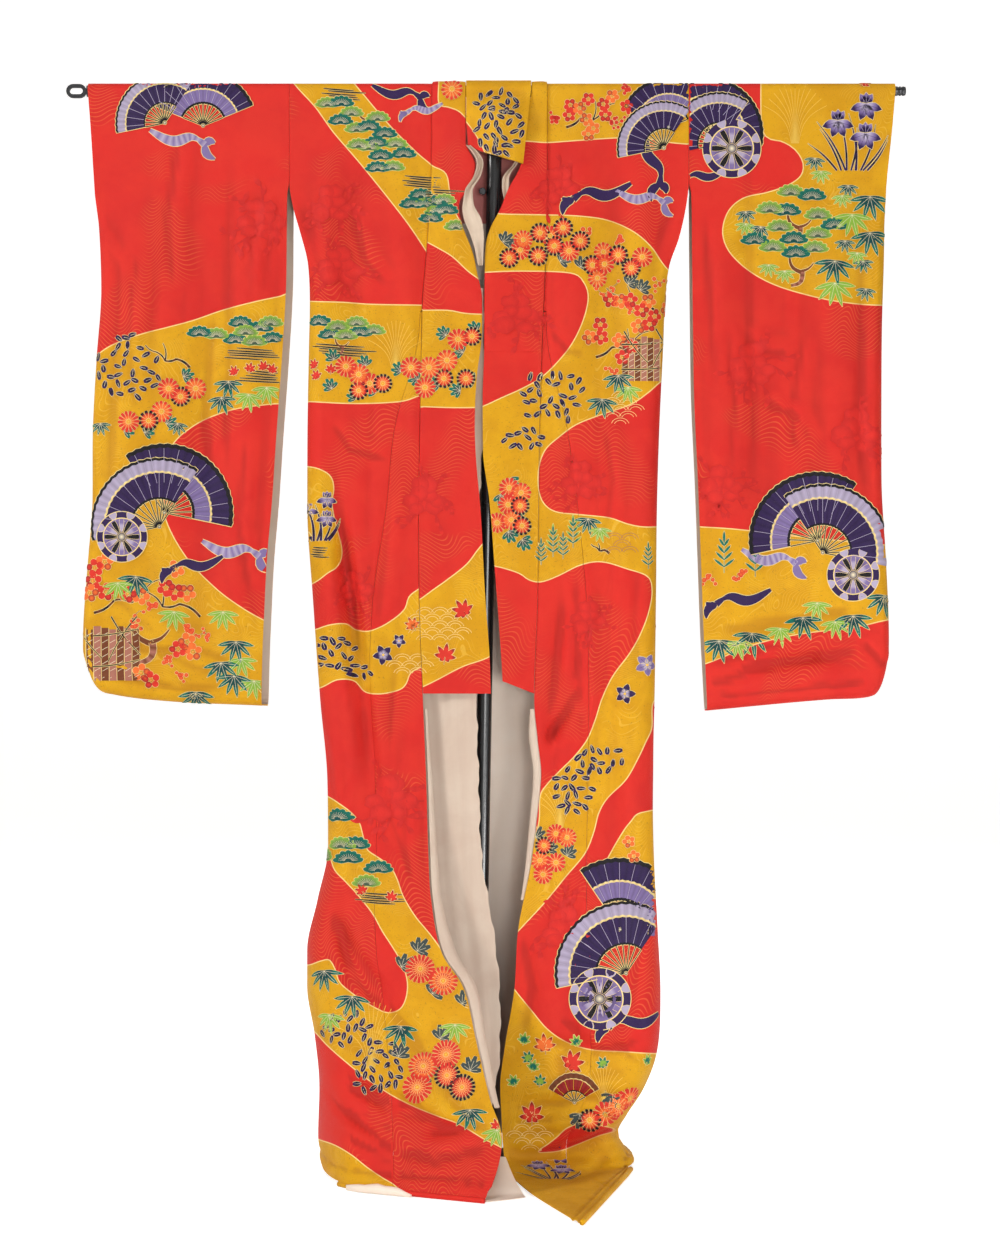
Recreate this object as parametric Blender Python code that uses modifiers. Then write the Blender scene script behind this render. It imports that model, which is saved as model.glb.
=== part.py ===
"""Uchikake wedding kimono hung on a T-shaped kimono stand.

Metres, +Z up. The garment's front faces -Y and +X is on the viewer's right. The floor is Z = 0 and the rod's
axis runs along X at Y = 0. Each cloth piece is a wall whose outer face is a surface of two numbers: s, the
distance from the shoulder line down the cloth, and t, the place across the piece from its outer edge (0) to its
inner edge (1). Neighbouring pieces read the same surface, so that their seams match.
"""

import math
from collections import namedtuple

import bmesh
import bpy
import numpy as np

# ---- driving dimensions -------------------------------------------------------------------------------------

GAP = 0.0004  # daylight between pieces that are sewn together or rest on each other
CLOTH = 0.0020  # silk, padding and lining of the body and the sleeves
COLLAR_CLOTH = 0.0038
COVER_CLOTH = 0.0012  # the strip that covers the upper collar
LINING = 0.0012
LINING_FROM = 0.230  # the back's lining shows between these two distances down the cloth
LINING_BY = 1.800

ROD_Z = 1.740
ROD_RADIUS = 0.0095
ROD_LEFT = -0.6460
ROD_RIGHT = 0.6585
POLE_RADIUS = 0.0120
POLE_TOP_X = 0.0136
POLE_FOOT_X = -0.0175  # the pole leans a little
BASE_RADIUS = 0.120
BASE_THICKNESS = 0.006

DRAPE_RADIUS = 0.0122  # outer face of the cloth where it turns over the rod
COLLAR_RISE = 0.0021  # how far the collar stands in front of the body cloth
ARC = DRAPE_RADIUS * math.pi / 2  # length of cloth on one quarter of the rod
SHOULDER_Z = ROD_Z + DRAPE_RADIUS

CENTRE_X = 0.004  # centre-back seam
CURL_SHARE = 0.14  # share of t that turns back to the sewn side edge
SEWN_FROM = 0.26  # the side seam closes between these two distances down the cloth
SEWN_BY = 0.37
FRONT, BACK = -1, 1
LEFT, RIGHT = "left", "right"

# ---- the body cloth -----------------------------------------------------------------------------------------
# One row for each section across a front, top to hem. The side edge is the side seam, the free edge is the
# collar seam and below the collar the open front edge. side_y is the depth of the cloth beside the side seam.

FrontRow = namedtuple(
    "FrontRow", "s side_x side_z side_y curl okumi_x edge_x edge_y edge_z"
)

FRONT_ROWS = {
    LEFT: [
        FrontRow(ARC, -0.3182, 1.740, -0.0122, 0.006, -0.090, -0.0885, -0.0122, 1.740),
        FrontRow(0.090, -0.3182, 1.669, -0.0124, 0.006, -0.090, -0.0893, -0.0140, 1.669),
        FrontRow(0.168, -0.3182, 1.591, -0.0126, 0.006, -0.092, -0.0905, -0.0160, 1.591),
        FrontRow(0.196, -0.3150, 1.563, -0.0130, 0.006, -0.094, -0.0920, -0.0170, 1.563),
        FrontRow(0.247, -0.3012, 1.512, -0.0140, 0.008, -0.097, -0.0950, -0.0180, 1.512),
        FrontRow(0.300, -0.2885, 1.459, -0.0160, 0.014, -0.101, -0.0990, -0.0190, 1.459),
        FrontRow(0.360, -0.2865, 1.399, -0.0190, 0.020, -0.106, -0.1040, -0.0200, 1.399),
        FrontRow(0.430, -0.2880, 1.329, -0.0210, 0.024, -0.112, -0.1055, -0.0210, 1.329),
        FrontRow(0.560, -0.2905, 1.199, -0.0220, 0.026, -0.148, -0.1080, -0.0220, 1.199),
        FrontRow(0.690, -0.2910, 1.069, -0.0230, 0.026, -0.162, -0.1100, -0.0230, 1.069),
        FrontRow(0.834, -0.2820, 0.919, -0.0240, 0.026, -0.184, -0.1092, -0.0240, 0.919),
        FrontRow(0.996, -0.2705, 0.757, -0.0260, 0.026, -0.189, -0.1030, -0.0260, 0.757),
        FrontRow(1.126, -0.2590, 0.627, -0.0300, 0.026, -0.182, -0.0975, -0.0300, 0.627),
        FrontRow(1.236, -0.2580, 0.518, -0.0370, 0.028, -0.178, -0.0942, -0.0390, 0.520),
        FrontRow(1.320, -0.2750, 0.433, -0.0460, 0.032, -0.180, -0.0892, -0.0560, 0.440),
        FrontRow(1.403, -0.2920, 0.350, -0.0600, 0.036, -0.176, -0.0711, -0.0840, 0.356),
        FrontRow(1.460, -0.2920, 0.293, -0.0740, 0.042, -0.168, -0.0375, -0.1050, 0.306),
        FrontRow(1.537, -0.2800, 0.216, -0.0960, 0.050, -0.158, -0.0166, -0.1400, 0.226),
        FrontRow(1.625, -0.2720, 0.128, -0.1220, 0.056, -0.150, 0.0056, -0.1850, 0.142),
        FrontRow(1.700, -0.2740, 0.053, -0.1450, 0.060, -0.146, 0.0240, -0.2260, 0.086),
        FrontRow(1.738, -0.2700, 0.024, -0.1560, 0.062, -0.145, 0.0150, -0.2600, 0.043),
        FrontRow(1.765, -0.2680, 0.0105, -0.1630, 0.064, -0.145, -0.0005, -0.2800, 0.0105),
    ],
    RIGHT: [
        FrontRow(ARC, 0.3250, 1.740, -0.0122, 0.006, 0.098, 0.0972, -0.0122, 1.740),
        FrontRow(0.090, 0.3250, 1.669, -0.0124, 0.006, 0.098, 0.0972, -0.0140, 1.669),
        FrontRow(0.168, 0.3250, 1.591, -0.0126, 0.006, 0.098, 0.0972, -0.0160, 1.591),
        FrontRow(0.196, 0.3225, 1.563, -0.0130, 0.006, 0.098, 0.0970, -0.0170, 1.563),
        FrontRow(0.257, 0.3095, 1.502, -0.0140, 0.008, 0.097, 0.0962, -0.0180, 1.502),
        FrontRow(0.300, 0.2945, 1.459, -0.0160, 0.014, 0.096, 0.0945, -0.0190, 1.459),
        FrontRow(0.360, 0.2880, 1.399, -0.0190, 0.020, 0.095, 0.0920, -0.0200, 1.399),
        FrontRow(0.430, 0.2850, 1.329, -0.0210, 0.024, 0.098, 0.0890, -0.0210, 1.329),
        FrontRow(0.560, 0.2790, 1.199, -0.0220, 0.026, 0.128, 0.0850, -0.0220, 1.199),
        FrontRow(0.690, 0.2752, 1.069, -0.0230, 0.026, 0.146, 0.0832, -0.0230, 1.069),
        FrontRow(0.834, 0.2738, 0.919, -0.0240, 0.026, 0.160, 0.0815, -0.0240, 0.919),
        FrontRow(0.996, 0.2715, 0.757, -0.0270, 0.026, 0.164, 0.0760, -0.0265, 0.757),
        FrontRow(1.061, 0.2700, 0.692, -0.0285, 0.026, 0.164, 0.0818, -0.0275, 0.692),
        FrontRow(1.115, 0.2695, 0.638, -0.0300, 0.026, 0.163, 0.0872, -0.0290, 0.638),
        FrontRow(1.167, 0.2690, 0.586, -0.0320, 0.027, 0.162, 0.0826, -0.0310, 0.586),
        FrontRow(1.260, 0.2712, 0.493, -0.0370, 0.028, 0.160, 0.0705, -0.0370, 0.493),
        FrontRow(1.370, 0.2770, 0.383, -0.0480, 0.032, 0.161, 0.0499, -0.0450, 0.389),
        FrontRow(1.470, 0.2815, 0.283, -0.0640, 0.038, 0.166, 0.0435, -0.0510, 0.292),
        FrontRow(1.560, 0.2770, 0.193, -0.0880, 0.046, 0.166, 0.0290, -0.0550, 0.205),
        FrontRow(1.630, 0.2560, 0.132, -0.0980, 0.050, 0.160, 0.0212, -0.0580, 0.138),
        FrontRow(1.690, 0.2250, 0.082, -0.0860, 0.048, 0.140, 0.0232, -0.0600, 0.088),
        FrontRow(1.730, 0.2120, 0.052, -0.0560, 0.040, 0.128, 0.0250, -0.0620, 0.052),
        FrontRow(1.765, 0.2240, 0.028, -0.0440, 0.034, 0.128, 0.0285, -0.0700, 0.024),
        FrontRow(1.810, 0.2360, 0.014, -0.0400, 0.028, 0.136, 0.0370, -0.1120, 0.0115),
        FrontRow(1.880, 0.2375, 0.008, -0.0330, 0.022, 0.148, 0.0520, -0.1700, 0.0070),
        FrontRow(1.980, 0.2365, 0.0065, -0.0260, 0.018, 0.166, 0.0770, -0.2570, 0.0062),
        FrontRow(2.130, 0.2345, 0.0062, -0.0200, 0.016, 0.192, 0.1360, -0.4260, 0.0062),
    ],
}

OKUMI_START = 0.452  # the overlap panel's point, on the collar seam
COLLAR_END = 0.985
COVER_END = 0.440  # the cover strip's level seam

# The centre-back seam: depth and height of the back's inner edge, and the depth beside the side seam.

BackRow = namedtuple("BackRow", "s side_y centre_y centre_z")

BACK_ROWS = [
    BackRow(ARC, 0.0122, 0.0122, 1.740),
    BackRow(0.060, 0.0136, 0.0190, 1.699),
    BackRow(0.168, 0.0150, 0.0215, 1.591),
    BackRow(0.300, 0.0180, 0.0225, 1.459),
    BackRow(0.560, 0.0240, 0.0270, 1.199),
    BackRow(0.834, 0.0300, 0.0340, 0.919),
    BackRow(1.126, 0.0400, 0.0460, 0.630),
    BackRow(1.320, 0.0540, 0.0620, 0.440),
    BackRow(1.460, 0.0720, 0.0840, 0.302),
    BackRow(1.560, 0.0880, 0.1080, 0.205),
    BackRow(1.640, 0.1000, 0.1340, 0.128),
    BackRow(1.700, 0.1060, 0.1580, 0.072),
    BackRow(1.745, 0.1080, 0.1840, 0.034),
    BackRow(1.790, 0.1060, 0.2200, 0.0130),
    BackRow(1.860, 0.1000, 0.2860, 0.0062),
]
BACK_CURL = 0.034
NECK_DROP = 0.048  # the neck opening's depth below the shoulder line at the back
NECK_LEFT = -0.0336  # the neck piece lies between these two places on the rod
NECK_RIGHT = 0.0712
NECK_CLEARANCE = 0.0006

# A fold is a soft ridge (height > 0) or trough (height < 0) along a line from its top to its foot.

Fold = namedtuple("Fold", "top_x top_z foot_x foot_z width height")

FRONT_FOLDS = {
    LEFT: [
        Fold(-0.246, 1.150, -0.183, 0.560, 0.014, -0.0090),
        Fold(-0.272, 1.120, -0.205, 0.560, 0.018, 0.0075),
        Fold(-0.225, 0.860, -0.150, 0.480, 0.020, 0.0070),
        Fold(-0.150, 1.700, -0.110, 1.150, 0.022, 0.0040),
        Fold(-0.255, 1.640, -0.262, 1.300, 0.020, 0.0045),
        Fold(-0.205, 1.620, -0.215, 1.180, 0.022, -0.0040),
        Fold(-0.130, 0.690, -0.112, 0.400, 0.018, 0.0060),
        Fold(-0.275, 0.520, -0.060, 0.230, 0.030, 0.0100),
        Fold(-0.268, 0.430, -0.080, 0.160, 0.018, -0.0080),
        Fold(-0.245, 0.170, -0.100, 0.128, 0.012, -0.0060),
        Fold(-0.250, 0.200, -0.085, 0.155, 0.014, 0.0060),
        Fold(-0.215, 0.110, -0.215, 0.020, 0.024, 0.0120),
    ],
    RIGHT: [
        Fold(0.147, 1.010, 0.146, 0.560, 0.014, 0.0065),
        Fold(0.120, 0.960, 0.108, 0.620, 0.013, -0.0050),
        Fold(0.150, 0.770, 0.096, 0.680, 0.012, -0.0050),
        Fold(0.250, 1.620, 0.250, 1.300, 0.020, 0.0045),
        Fold(0.200, 1.640, 0.215, 1.150, 0.022, -0.0040),
        Fold(0.150, 1.700, 0.135, 1.200, 0.022, 0.0040),
        Fold(0.226, 1.050, 0.232, 0.480, 0.018, 0.0060),
        Fold(0.190, 0.900, 0.205, 0.420, 0.016, -0.0055),
        Fold(0.238, 0.470, 0.150, 0.200, 0.026, 0.0110),
        Fold(0.120, 0.400, 0.095, 0.180, 0.026, 0.0090),
        Fold(0.180, 0.330, 0.110, 0.140, 0.016, -0.0070),
    ],
}

BACK_FOLDS = [
    Fold(-0.240, 1.660, -0.225, 0.250, 0.030, 0.0090),
    Fold(-0.160, 1.350, -0.150, 0.080, 0.030, -0.0090),
    Fold(-0.085, 1.640, -0.080, 0.120, 0.030, 0.0085),
    Fold(0.075, 1.580, 0.072, 0.100, 0.030, 0.0090),
    Fold(0.155, 1.250, 0.142, 0.080, 0.030, -0.0080),
    Fold(0.235, 1.620, 0.215, 0.200, 0.030, 0.0085),
]

# ---- collar -------------------------------------------------------------------------------------------------
# The collar's free edge; its other edge is the collar seam of the front.

CollarRow = namedtuple("CollarRow", "s free_x free_y")

COLLAR_ROWS = {
    LEFT: [
        CollarRow(ARC, -0.0342, -0.0143),
        CollarRow(0.080, -0.0342, -0.0180),
        CollarRow(0.105, -0.0342, -0.0205),
        CollarRow(0.116, -0.0300, -0.0220),
        CollarRow(0.141, -0.0185, -0.0240),
        CollarRow(0.173, -0.0262, -0.0255),
        CollarRow(0.207, -0.0452, -0.0265),
        CollarRow(0.235, -0.0405, -0.0265),
        CollarRow(0.282, -0.0228, -0.0260),
        CollarRow(0.319, -0.0146, -0.0260),
        CollarRow(0.357, -0.0076, -0.0265),
        CollarRow(0.410, -0.0080, -0.0270),
        CollarRow(0.485, -0.0165, -0.0280),
        CollarRow(0.560, -0.0196, -0.0280),
        CollarRow(0.610, -0.0178, -0.0280),
        CollarRow(0.700, -0.0100, -0.0285),
        CollarRow(0.820, -0.0034, -0.0290),
        CollarRow(0.930, 0.0045, -0.0300),
        CollarRow(COLLAR_END, 0.0062, -0.0310),
    ],
    RIGHT: [
        CollarRow(ARC, 0.0718, -0.0143),
        CollarRow(0.032, 0.0706, -0.0145),
        CollarRow(0.045, 0.0655, -0.0150),
        CollarRow(0.060, 0.0600, -0.0160),
        CollarRow(0.104, 0.0575, -0.0175),
        CollarRow(0.141, 0.0540, -0.0185),
        CollarRow(0.180, 0.0340, -0.0200),
        CollarRow(0.212, 0.0212, -0.0225),
        CollarRow(0.242, 0.0056, -0.0240),
        CollarRow(0.268, -0.0016, -0.0250),
        CollarRow(0.312, -0.0036, -0.0260),
        CollarRow(0.445, -0.0046, -0.0270),
        CollarRow(0.520, -0.0070, -0.0275),
        CollarRow(0.600, -0.0064, -0.0280),
        CollarRow(0.680, 0.0038, -0.0280),
        CollarRow(0.780, 0.0120, -0.0285),
        CollarRow(0.900, 0.0210, -0.0300),
        CollarRow(COLLAR_END, 0.0250, -0.0310),
    ],
}
COLLAR_WIDTH = 0.100
COLLAR_BOTTOM_SLOPE = {LEFT: 0.0, RIGHT: 0.020}  # the right collar's foot is cut on the slant

NECK_RADIUS = 0.0172  # outer face of the neck piece over the rod
NECK_CLOTH = 0.0034
NECK_BACK = 0.030
NECK_SWING = 0.0140  # how far the flap stands away from the rod
NECK_TAPER = 0.0130  # how far its right edge leans in at the foot

NeckFoot = namedtuple("NeckFoot", "t drop")

NECK_FOOT = [
    NeckFoot(0.00, 0.0880),
    NeckFoot(0.28, 0.1020),
    NeckFoot(0.50, 0.1080),
    NeckFoot(1.00, 0.1210),
]
NECK_FRONT = NECK_FOOT[-1].drop

# ---- sleeves ------------------------------------------------------------------------------------------------

SleeveRow = namedtuple("SleeveRow", "z outer_x inner_x depth")

SLEEVE_ROWS = {
    LEFT: [
        SleeveRow(1.740, -0.6430, -0.3186, 0.0122),
        SleeveRow(1.680, -0.6385, -0.3186, 0.0122),
        SleeveRow(1.591, -0.6330, -0.3186, 0.0126),
        SleeveRow(1.575, -0.6320, -0.3215, 0.0128),
        SleeveRow(1.521, -0.6270, -0.3225, 0.0136),
        SleeveRow(1.421, -0.6235, -0.3238, 0.0150),
        SleeveRow(1.307, -0.6315, -0.3305, 0.0160),
        SleeveRow(1.178, -0.6380, -0.3400, 0.0165),
        SleeveRow(1.081, -0.6385, -0.3465, 0.0170),
        SleeveRow(0.983, -0.6460, -0.3550, 0.0180),
        SleeveRow(0.886, -0.6535, -0.3600, 0.0190),
        SleeveRow(0.840, -0.6545, -0.3620, 0.0190),
        SleeveRow(0.800, -0.6440, -0.3632, 0.0180),
        SleeveRow(0.747, -0.6260, -0.3645, 0.0150),
    ],
    RIGHT: [
        SleeveRow(1.740, 0.6580, 0.3254, 0.0122),
        SleeveRow(1.680, 0.6530, 0.3254, 0.0122),
        SleeveRow(1.591, 0.6440, 0.3254, 0.0126),
        SleeveRow(1.575, 0.6430, 0.3290, 0.0128),
        SleeveRow(1.469, 0.6415, 0.3305, 0.0145),
        SleeveRow(1.356, 0.6385, 0.3320, 0.0155),
        SleeveRow(1.243, 0.6380, 0.3340, 0.0160),
        SleeveRow(1.113, 0.6385, 0.3400, 0.0165),
        SleeveRow(0.983, 0.6460, 0.3450, 0.0180),
        SleeveRow(0.854, 0.6510, 0.3500, 0.0195),
        SleeveRow(0.810, 0.6470, 0.3525, 0.0190),
        SleeveRow(0.740, 0.6270, 0.3560, 0.0150),
    ],
}

SleeveFoot = namedtuple("SleeveFoot", "t z")

SLEEVE_FOOT = {
    LEFT: [
        SleeveFoot(0.00, 0.7980),
        SleeveFoot(0.08, 0.7740),
        SleeveFoot(0.18, 0.7650),
        SleeveFoot(0.42, 0.7555),
        SleeveFoot(1.00, 0.7470),
    ],
    RIGHT: [
        SleeveFoot(0.00, 0.7900),
        SleeveFoot(0.06, 0.7690),
        SleeveFoot(0.14, 0.7610),
        SleeveFoot(0.35, 0.7570),
        SleeveFoot(1.00, 0.7390),
    ],
}
WRIST_FROM = 1.575  # the wrist opening closes between these two heights
WRIST_BY = 1.515
SLEEVE_CURL = 0.016
BACK_LAYER_SHIFT = {LEFT: 0.0090, RIGHT: -0.0030}  # how far the back wall shows past the front wall

SLEEVE_FOLDS = {
    LEFT: [
        Fold(-0.370, 1.560, -0.400, 0.900, 0.026, 0.0060),
        Fold(-0.440, 1.300, -0.470, 0.800, 0.030, -0.0050),
        Fold(-0.560, 1.600, -0.585, 0.900, 0.030, 0.0055),
        Fold(-0.505, 1.700, -0.520, 1.000, 0.028, 0.0040),
        Fold(-0.600, 0.905, -0.430, 0.815, 0.018, 0.0040),
    ],
    RIGHT: [
        Fold(0.375, 1.540, 0.398, 0.900, 0.026, 0.0060),
        Fold(0.450, 1.350, 0.470, 0.880, 0.030, -0.0050),
        Fold(0.560, 1.620, 0.575, 0.950, 0.030, 0.0055),
        Fold(0.380, 0.845, 0.610, 0.870, 0.014, 0.0050),
        Fold(0.390, 0.810, 0.600, 0.835, 0.012, -0.0050),
        Fold(0.400, 0.785, 0.610, 0.800, 0.012, 0.0050),
    ],
}

# ---- linings, ribbons and hem -------------------------------------------------------------------------------

LiningFoldRow = namedtuple("LiningFoldRow", "z rear_x rear_y fold_x fold_y")

LINING_FOLD_ROWS = [
    LiningFoldRow(1.420, -0.0450, -0.0206, -0.0052, -0.0222),
    LiningFoldRow(1.240, -0.0700, -0.0050, -0.0048, -0.0182),
    LiningFoldRow(1.080, -0.0980, -0.0040, -0.0120, -0.0182),
    LiningFoldRow(0.900, -0.1080, -0.0040, -0.0165, -0.0182),
    LiningFoldRow(0.757, -0.1120, -0.0050, -0.0165, -0.0182),
    LiningFoldRow(0.620, -0.1120, -0.0080, -0.0130, -0.0190),
    LiningFoldRow(0.500, -0.1120, -0.0140, -0.0080, -0.0210),
    LiningFoldRow(0.389, -0.1100, -0.0240, 0.0100, -0.0260),
    LiningFoldRow(0.301, -0.0900, -0.0420, 0.0200, -0.0420),
    LiningFoldRow(0.216, -0.0650, -0.0680, 0.0215, -0.0620),
    LiningFoldRow(0.150, -0.0420, -0.0950, 0.0150, -0.0840),
    LiningFoldRow(0.105, -0.0250, -0.1150, 0.0040, -0.1040),
]

LiningHemRow = namedtuple("LiningHemRow", "y left_x right_x z")

LINING_HEM_ROWS = [
    LiningHemRow(-0.1250, 0.0060, 0.0300, 0.0400),
    LiningHemRow(-0.1550, 0.0060, 0.0360, 0.0330),
    LiningHemRow(-0.1900, 0.0020, 0.0440, 0.0240),
    LiningHemRow(-0.2200, -0.0040, 0.0540, 0.0130),
    LiningHemRow(-0.2380, -0.0050, 0.0600, 0.0040),
    LiningHemRow(-0.2600, -0.0090, 0.0300, 0.0030),
    LiningHemRow(-0.2740, -0.0120, -0.0030, 0.0024),
]

RibbonRow = namedtuple("RibbonRow", "x z y half_width twist")

RIBBON_ROWS = {
    LEFT: [
        RibbonRow(-0.0300, 1.6490, -0.0250, 0.0040, 5.0),
        RibbonRow(-0.0185, 1.6370, -0.0270, 0.0055, 10.0),
        RibbonRow(-0.0110, 1.6200, -0.0290, 0.0060, 25.0),
        RibbonRow(-0.0160, 1.5980, -0.0290, 0.0060, 20.0),
        RibbonRow(-0.0290, 1.5760, -0.0285, 0.0065, 10.0),
        RibbonRow(-0.0300, 1.5540, -0.0290, 0.0090, -5.0),
        RibbonRow(-0.0230, 1.5300, -0.0290, 0.0140, -10.0),
        RibbonRow(-0.0160, 1.5060, -0.0290, 0.0110, -8.0),
        RibbonRow(-0.0125, 1.4820, -0.0290, 0.0070, -5.0),
        RibbonRow(-0.0105, 1.4560, -0.0290, 0.0040, 0.0),
    ],
    RIGHT: [
        RibbonRow(0.0508, 1.6320, -0.0165, 0.0040, -20.0),
        RibbonRow(0.0440, 1.6180, -0.0140, 0.0040, -30.0),
        RibbonRow(0.0360, 1.6090, -0.0140, 0.0055, -35.0),
        RibbonRow(0.0300, 1.5960, -0.0140, 0.0060, -20.0),
        RibbonRow(0.0300, 1.5800, -0.0140, 0.0055, 0.0),
        RibbonRow(0.0310, 1.5640, -0.0140, 0.0035, 5.0),
    ],
}
RIBBON_CLOTH = 0.0010

FacingRow = namedtuple("FacingRow", "s width")

FACING_ROWS = {
    LEFT: [
        FacingRow(1.010, 0.0030),
        FacingRow(1.120, 0.0060),
        FacingRow(1.240, 0.0110),
        FacingRow(1.330, 0.0140),
        FacingRow(1.400, 0.0200),
        FacingRow(1.450, 0.0180),
        FacingRow(1.540, 0.0120),
        FacingRow(1.640, 0.0080),
    ],
    RIGHT: [
        FacingRow(1.010, 0.0060),
        FacingRow(1.060, 0.0130),
        FacingRow(1.120, 0.0120),
        FacingRow(1.240, 0.0090),
        FacingRow(1.320, 0.0040),
    ],
}
FACING_CLOTH = 0.0024
FACING_START = {LEFT: 0.0029, RIGHT: 0.0006}  # clear of the front's slanting rim

HEM_ROLL_RADIUS = 0.0045

# ---- materials: colour, roughness, metallic -----------------------------------------------------------------

Finish = namedtuple("Finish", "colour roughness metallic")

FINISHES = {
    "red_silk": Finish((0.72, 0.050, 0.028), 0.45, 0.0),
    "gold_silk": Finish((0.78, 0.42, 0.020), 0.45, 0.0),
    "white_lining": Finish((0.76, 0.66, 0.56), 0.55, 0.0),
    "black_steel": Finish((0.012, 0.012, 0.012), 0.35, 0.6),
    "grey_steel": Finish((0.10, 0.10, 0.11), 0.35, 0.8),
}


# ---- helpers ------------------------------------------------------------------------------------------------


def clear_scene():
    for item in list(bpy.data.objects):
        bpy.data.objects.remove(item, do_unlink=True)


def new_collection(name):
    collection = bpy.data.collections.new(name)
    bpy.context.scene.collection.children.link(collection)
    return collection


def finish_material(node_name, finish_name):
    finish = FINISHES[finish_name]
    material = bpy.data.materials.new(f"{node_name}_{finish_name}")
    material.use_nodes = True
    shader = material.node_tree.nodes["Principled BSDF"]
    shader.inputs["Base Color"].default_value = (*finish.colour, 1.0)
    shader.inputs["Roughness"].default_value = finish.roughness
    shader.inputs["Metallic"].default_value = finish.metallic
    material.diffuse_color = (*finish.colour, 1.0)
    return material


def add_object(name, data, finish_name, collection):
    item = bpy.data.objects.new(name, data)
    data.materials.append(finish_material(name, finish_name))
    collection.objects.link(item)
    return item


def smoothstep(value, low, high):
    share = np.clip((value - low) / (high - low), 0.0, 1.0)
    return share * share * (3.0 - 2.0 * share)


def mix(low, high, share):
    return low + (high - low) * share


def column(rows, name, at):
    """A table column as a smooth curve of the table's first column, with no overshoot between rows."""
    keys = np.array([row[0] for row in rows])
    values = np.array([getattr(row, name) for row in rows])
    if keys[0] > keys[-1]:
        keys, values = keys[::-1], values[::-1]
    steps = np.diff(keys)
    slopes = np.diff(values) / steps
    tangents = np.concatenate(([slopes[0]], (slopes[:-1] + slopes[1:]) / 2, [slopes[-1]]))
    turning = slopes[:-1] * slopes[1:] <= 0
    tangents[1:-1][turning] = 0.0
    limit = 3 * np.minimum(np.abs(slopes[:-1]), np.abs(slopes[1:]))
    tangents[1:-1] = np.clip(tangents[1:-1], -limit, limit)
    at = np.clip(at, keys[0], keys[-1])
    index = np.clip(np.searchsorted(keys, at, side="right") - 1, 0, len(keys) - 2)
    step = steps[index]
    share = (at - keys[index]) / step
    return (
        (2 * share**3 - 3 * share**2 + 1) * values[index]
        + (share**3 - 2 * share**2 + share) * step * tangents[index]
        + (3 * share**2 - 2 * share**3) * values[index + 1]
        + (share**3 - share**2) * step * tangents[index + 1]
    )


def fold_relief(folds, x, z):
    """Height of all the folds at a place on the cloth, seen square on."""
    relief = np.zeros(np.broadcast(x, z).shape)
    for fold in folds:
        run_x = fold.foot_x - fold.top_x
        run_z = fold.foot_z - fold.top_z
        length = math.hypot(run_x, run_z)
        along = ((x - fold.top_x) * run_x + (z - fold.top_z) * run_z) / length**2
        aside = ((x - fold.top_x) * run_z - (z - fold.top_z) * run_x) / length
        ends = smoothstep(along, -0.05, 0.25) * (1.0 - smoothstep(along, 0.75, 1.05))
        relief = relief + fold.height * np.exp(-((aside / fold.width) ** 2)) * ends
    return relief


def hang_over_rod(s, y, z, radius, facing):
    """Cloth points whose first stretch lies on the rod; below it they keep their own depth and height."""
    angle = np.clip(s, 0.0, ARC) / ARC * (math.pi / 2)
    on_rod = s < ARC
    y = np.where(on_rod, facing * radius * np.sin(angle), y)
    z = np.where(on_rod, ROD_Z + radius * np.cos(angle), z)
    return y + facing * GAP / 2, z


# ---- cloth surfaces -----------------------------------------------------------------------------------------


def across(side_x, edge_x, curl, t):
    """Place across a panel: the first share of t turns round the sewn edge, the rest runs straight."""
    turn = np.clip(t / CURL_SHARE, 0.0, 1.0) * (math.pi / 2)
    straight = np.clip((t - CURL_SHARE) / (1.0 - CURL_SHARE), 0.0, None)
    inward = np.sign(edge_x - side_x)
    start = side_x + inward * curl
    x = side_x + inward * curl * (1.0 - np.cos(turn))
    x = x + (edge_x - start) * straight
    return x, np.sin(turn)


def front_surface(side):
    rows = FRONT_ROWS[side]

    def surface(s, t):
        side_x = column(rows, "side_x", s)
        edge_x = column(rows, "edge_x", s)
        x, turned = across(side_x, edge_x, column(rows, "curl", s), t)
        share = (x - side_x) / (edge_x - side_x)
        z = mix(column(rows, "side_z", s), column(rows, "edge_z", s), share)
        y = mix(column(rows, "side_y", s), column(rows, "edge_y", s), share)
        sewn = smoothstep(s, SEWN_FROM, SEWN_BY)
        standing = smoothstep(z, 0.010, 0.060) * smoothstep(s, 0.05, 0.14)
        relief = fold_relief(FRONT_FOLDS[side], x, z) * standing
        y = (y - relief * smoothstep(turned, 0.0, 1.0)) * mix(1.0, turned, sewn)
        y, z = hang_over_rod(s, y, z, DRAPE_RADIUS, FRONT)
        return np.stack(np.broadcast_arrays(x, y, z), axis=-1)

    return surface


def okumi_t(side, s):
    """Where the overlap panel's seam lies across the front, as a t."""
    rows = FRONT_ROWS[side]
    side_x = column(rows, "side_x", s)
    edge_x = column(rows, "edge_x", s)
    start = side_x + np.sign(edge_x - side_x) * column(rows, "curl", s)
    share = (column(rows, "okumi_x", s) - start) / (edge_x - start)
    return CURL_SHARE + (1.0 - CURL_SHARE) * share


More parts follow.
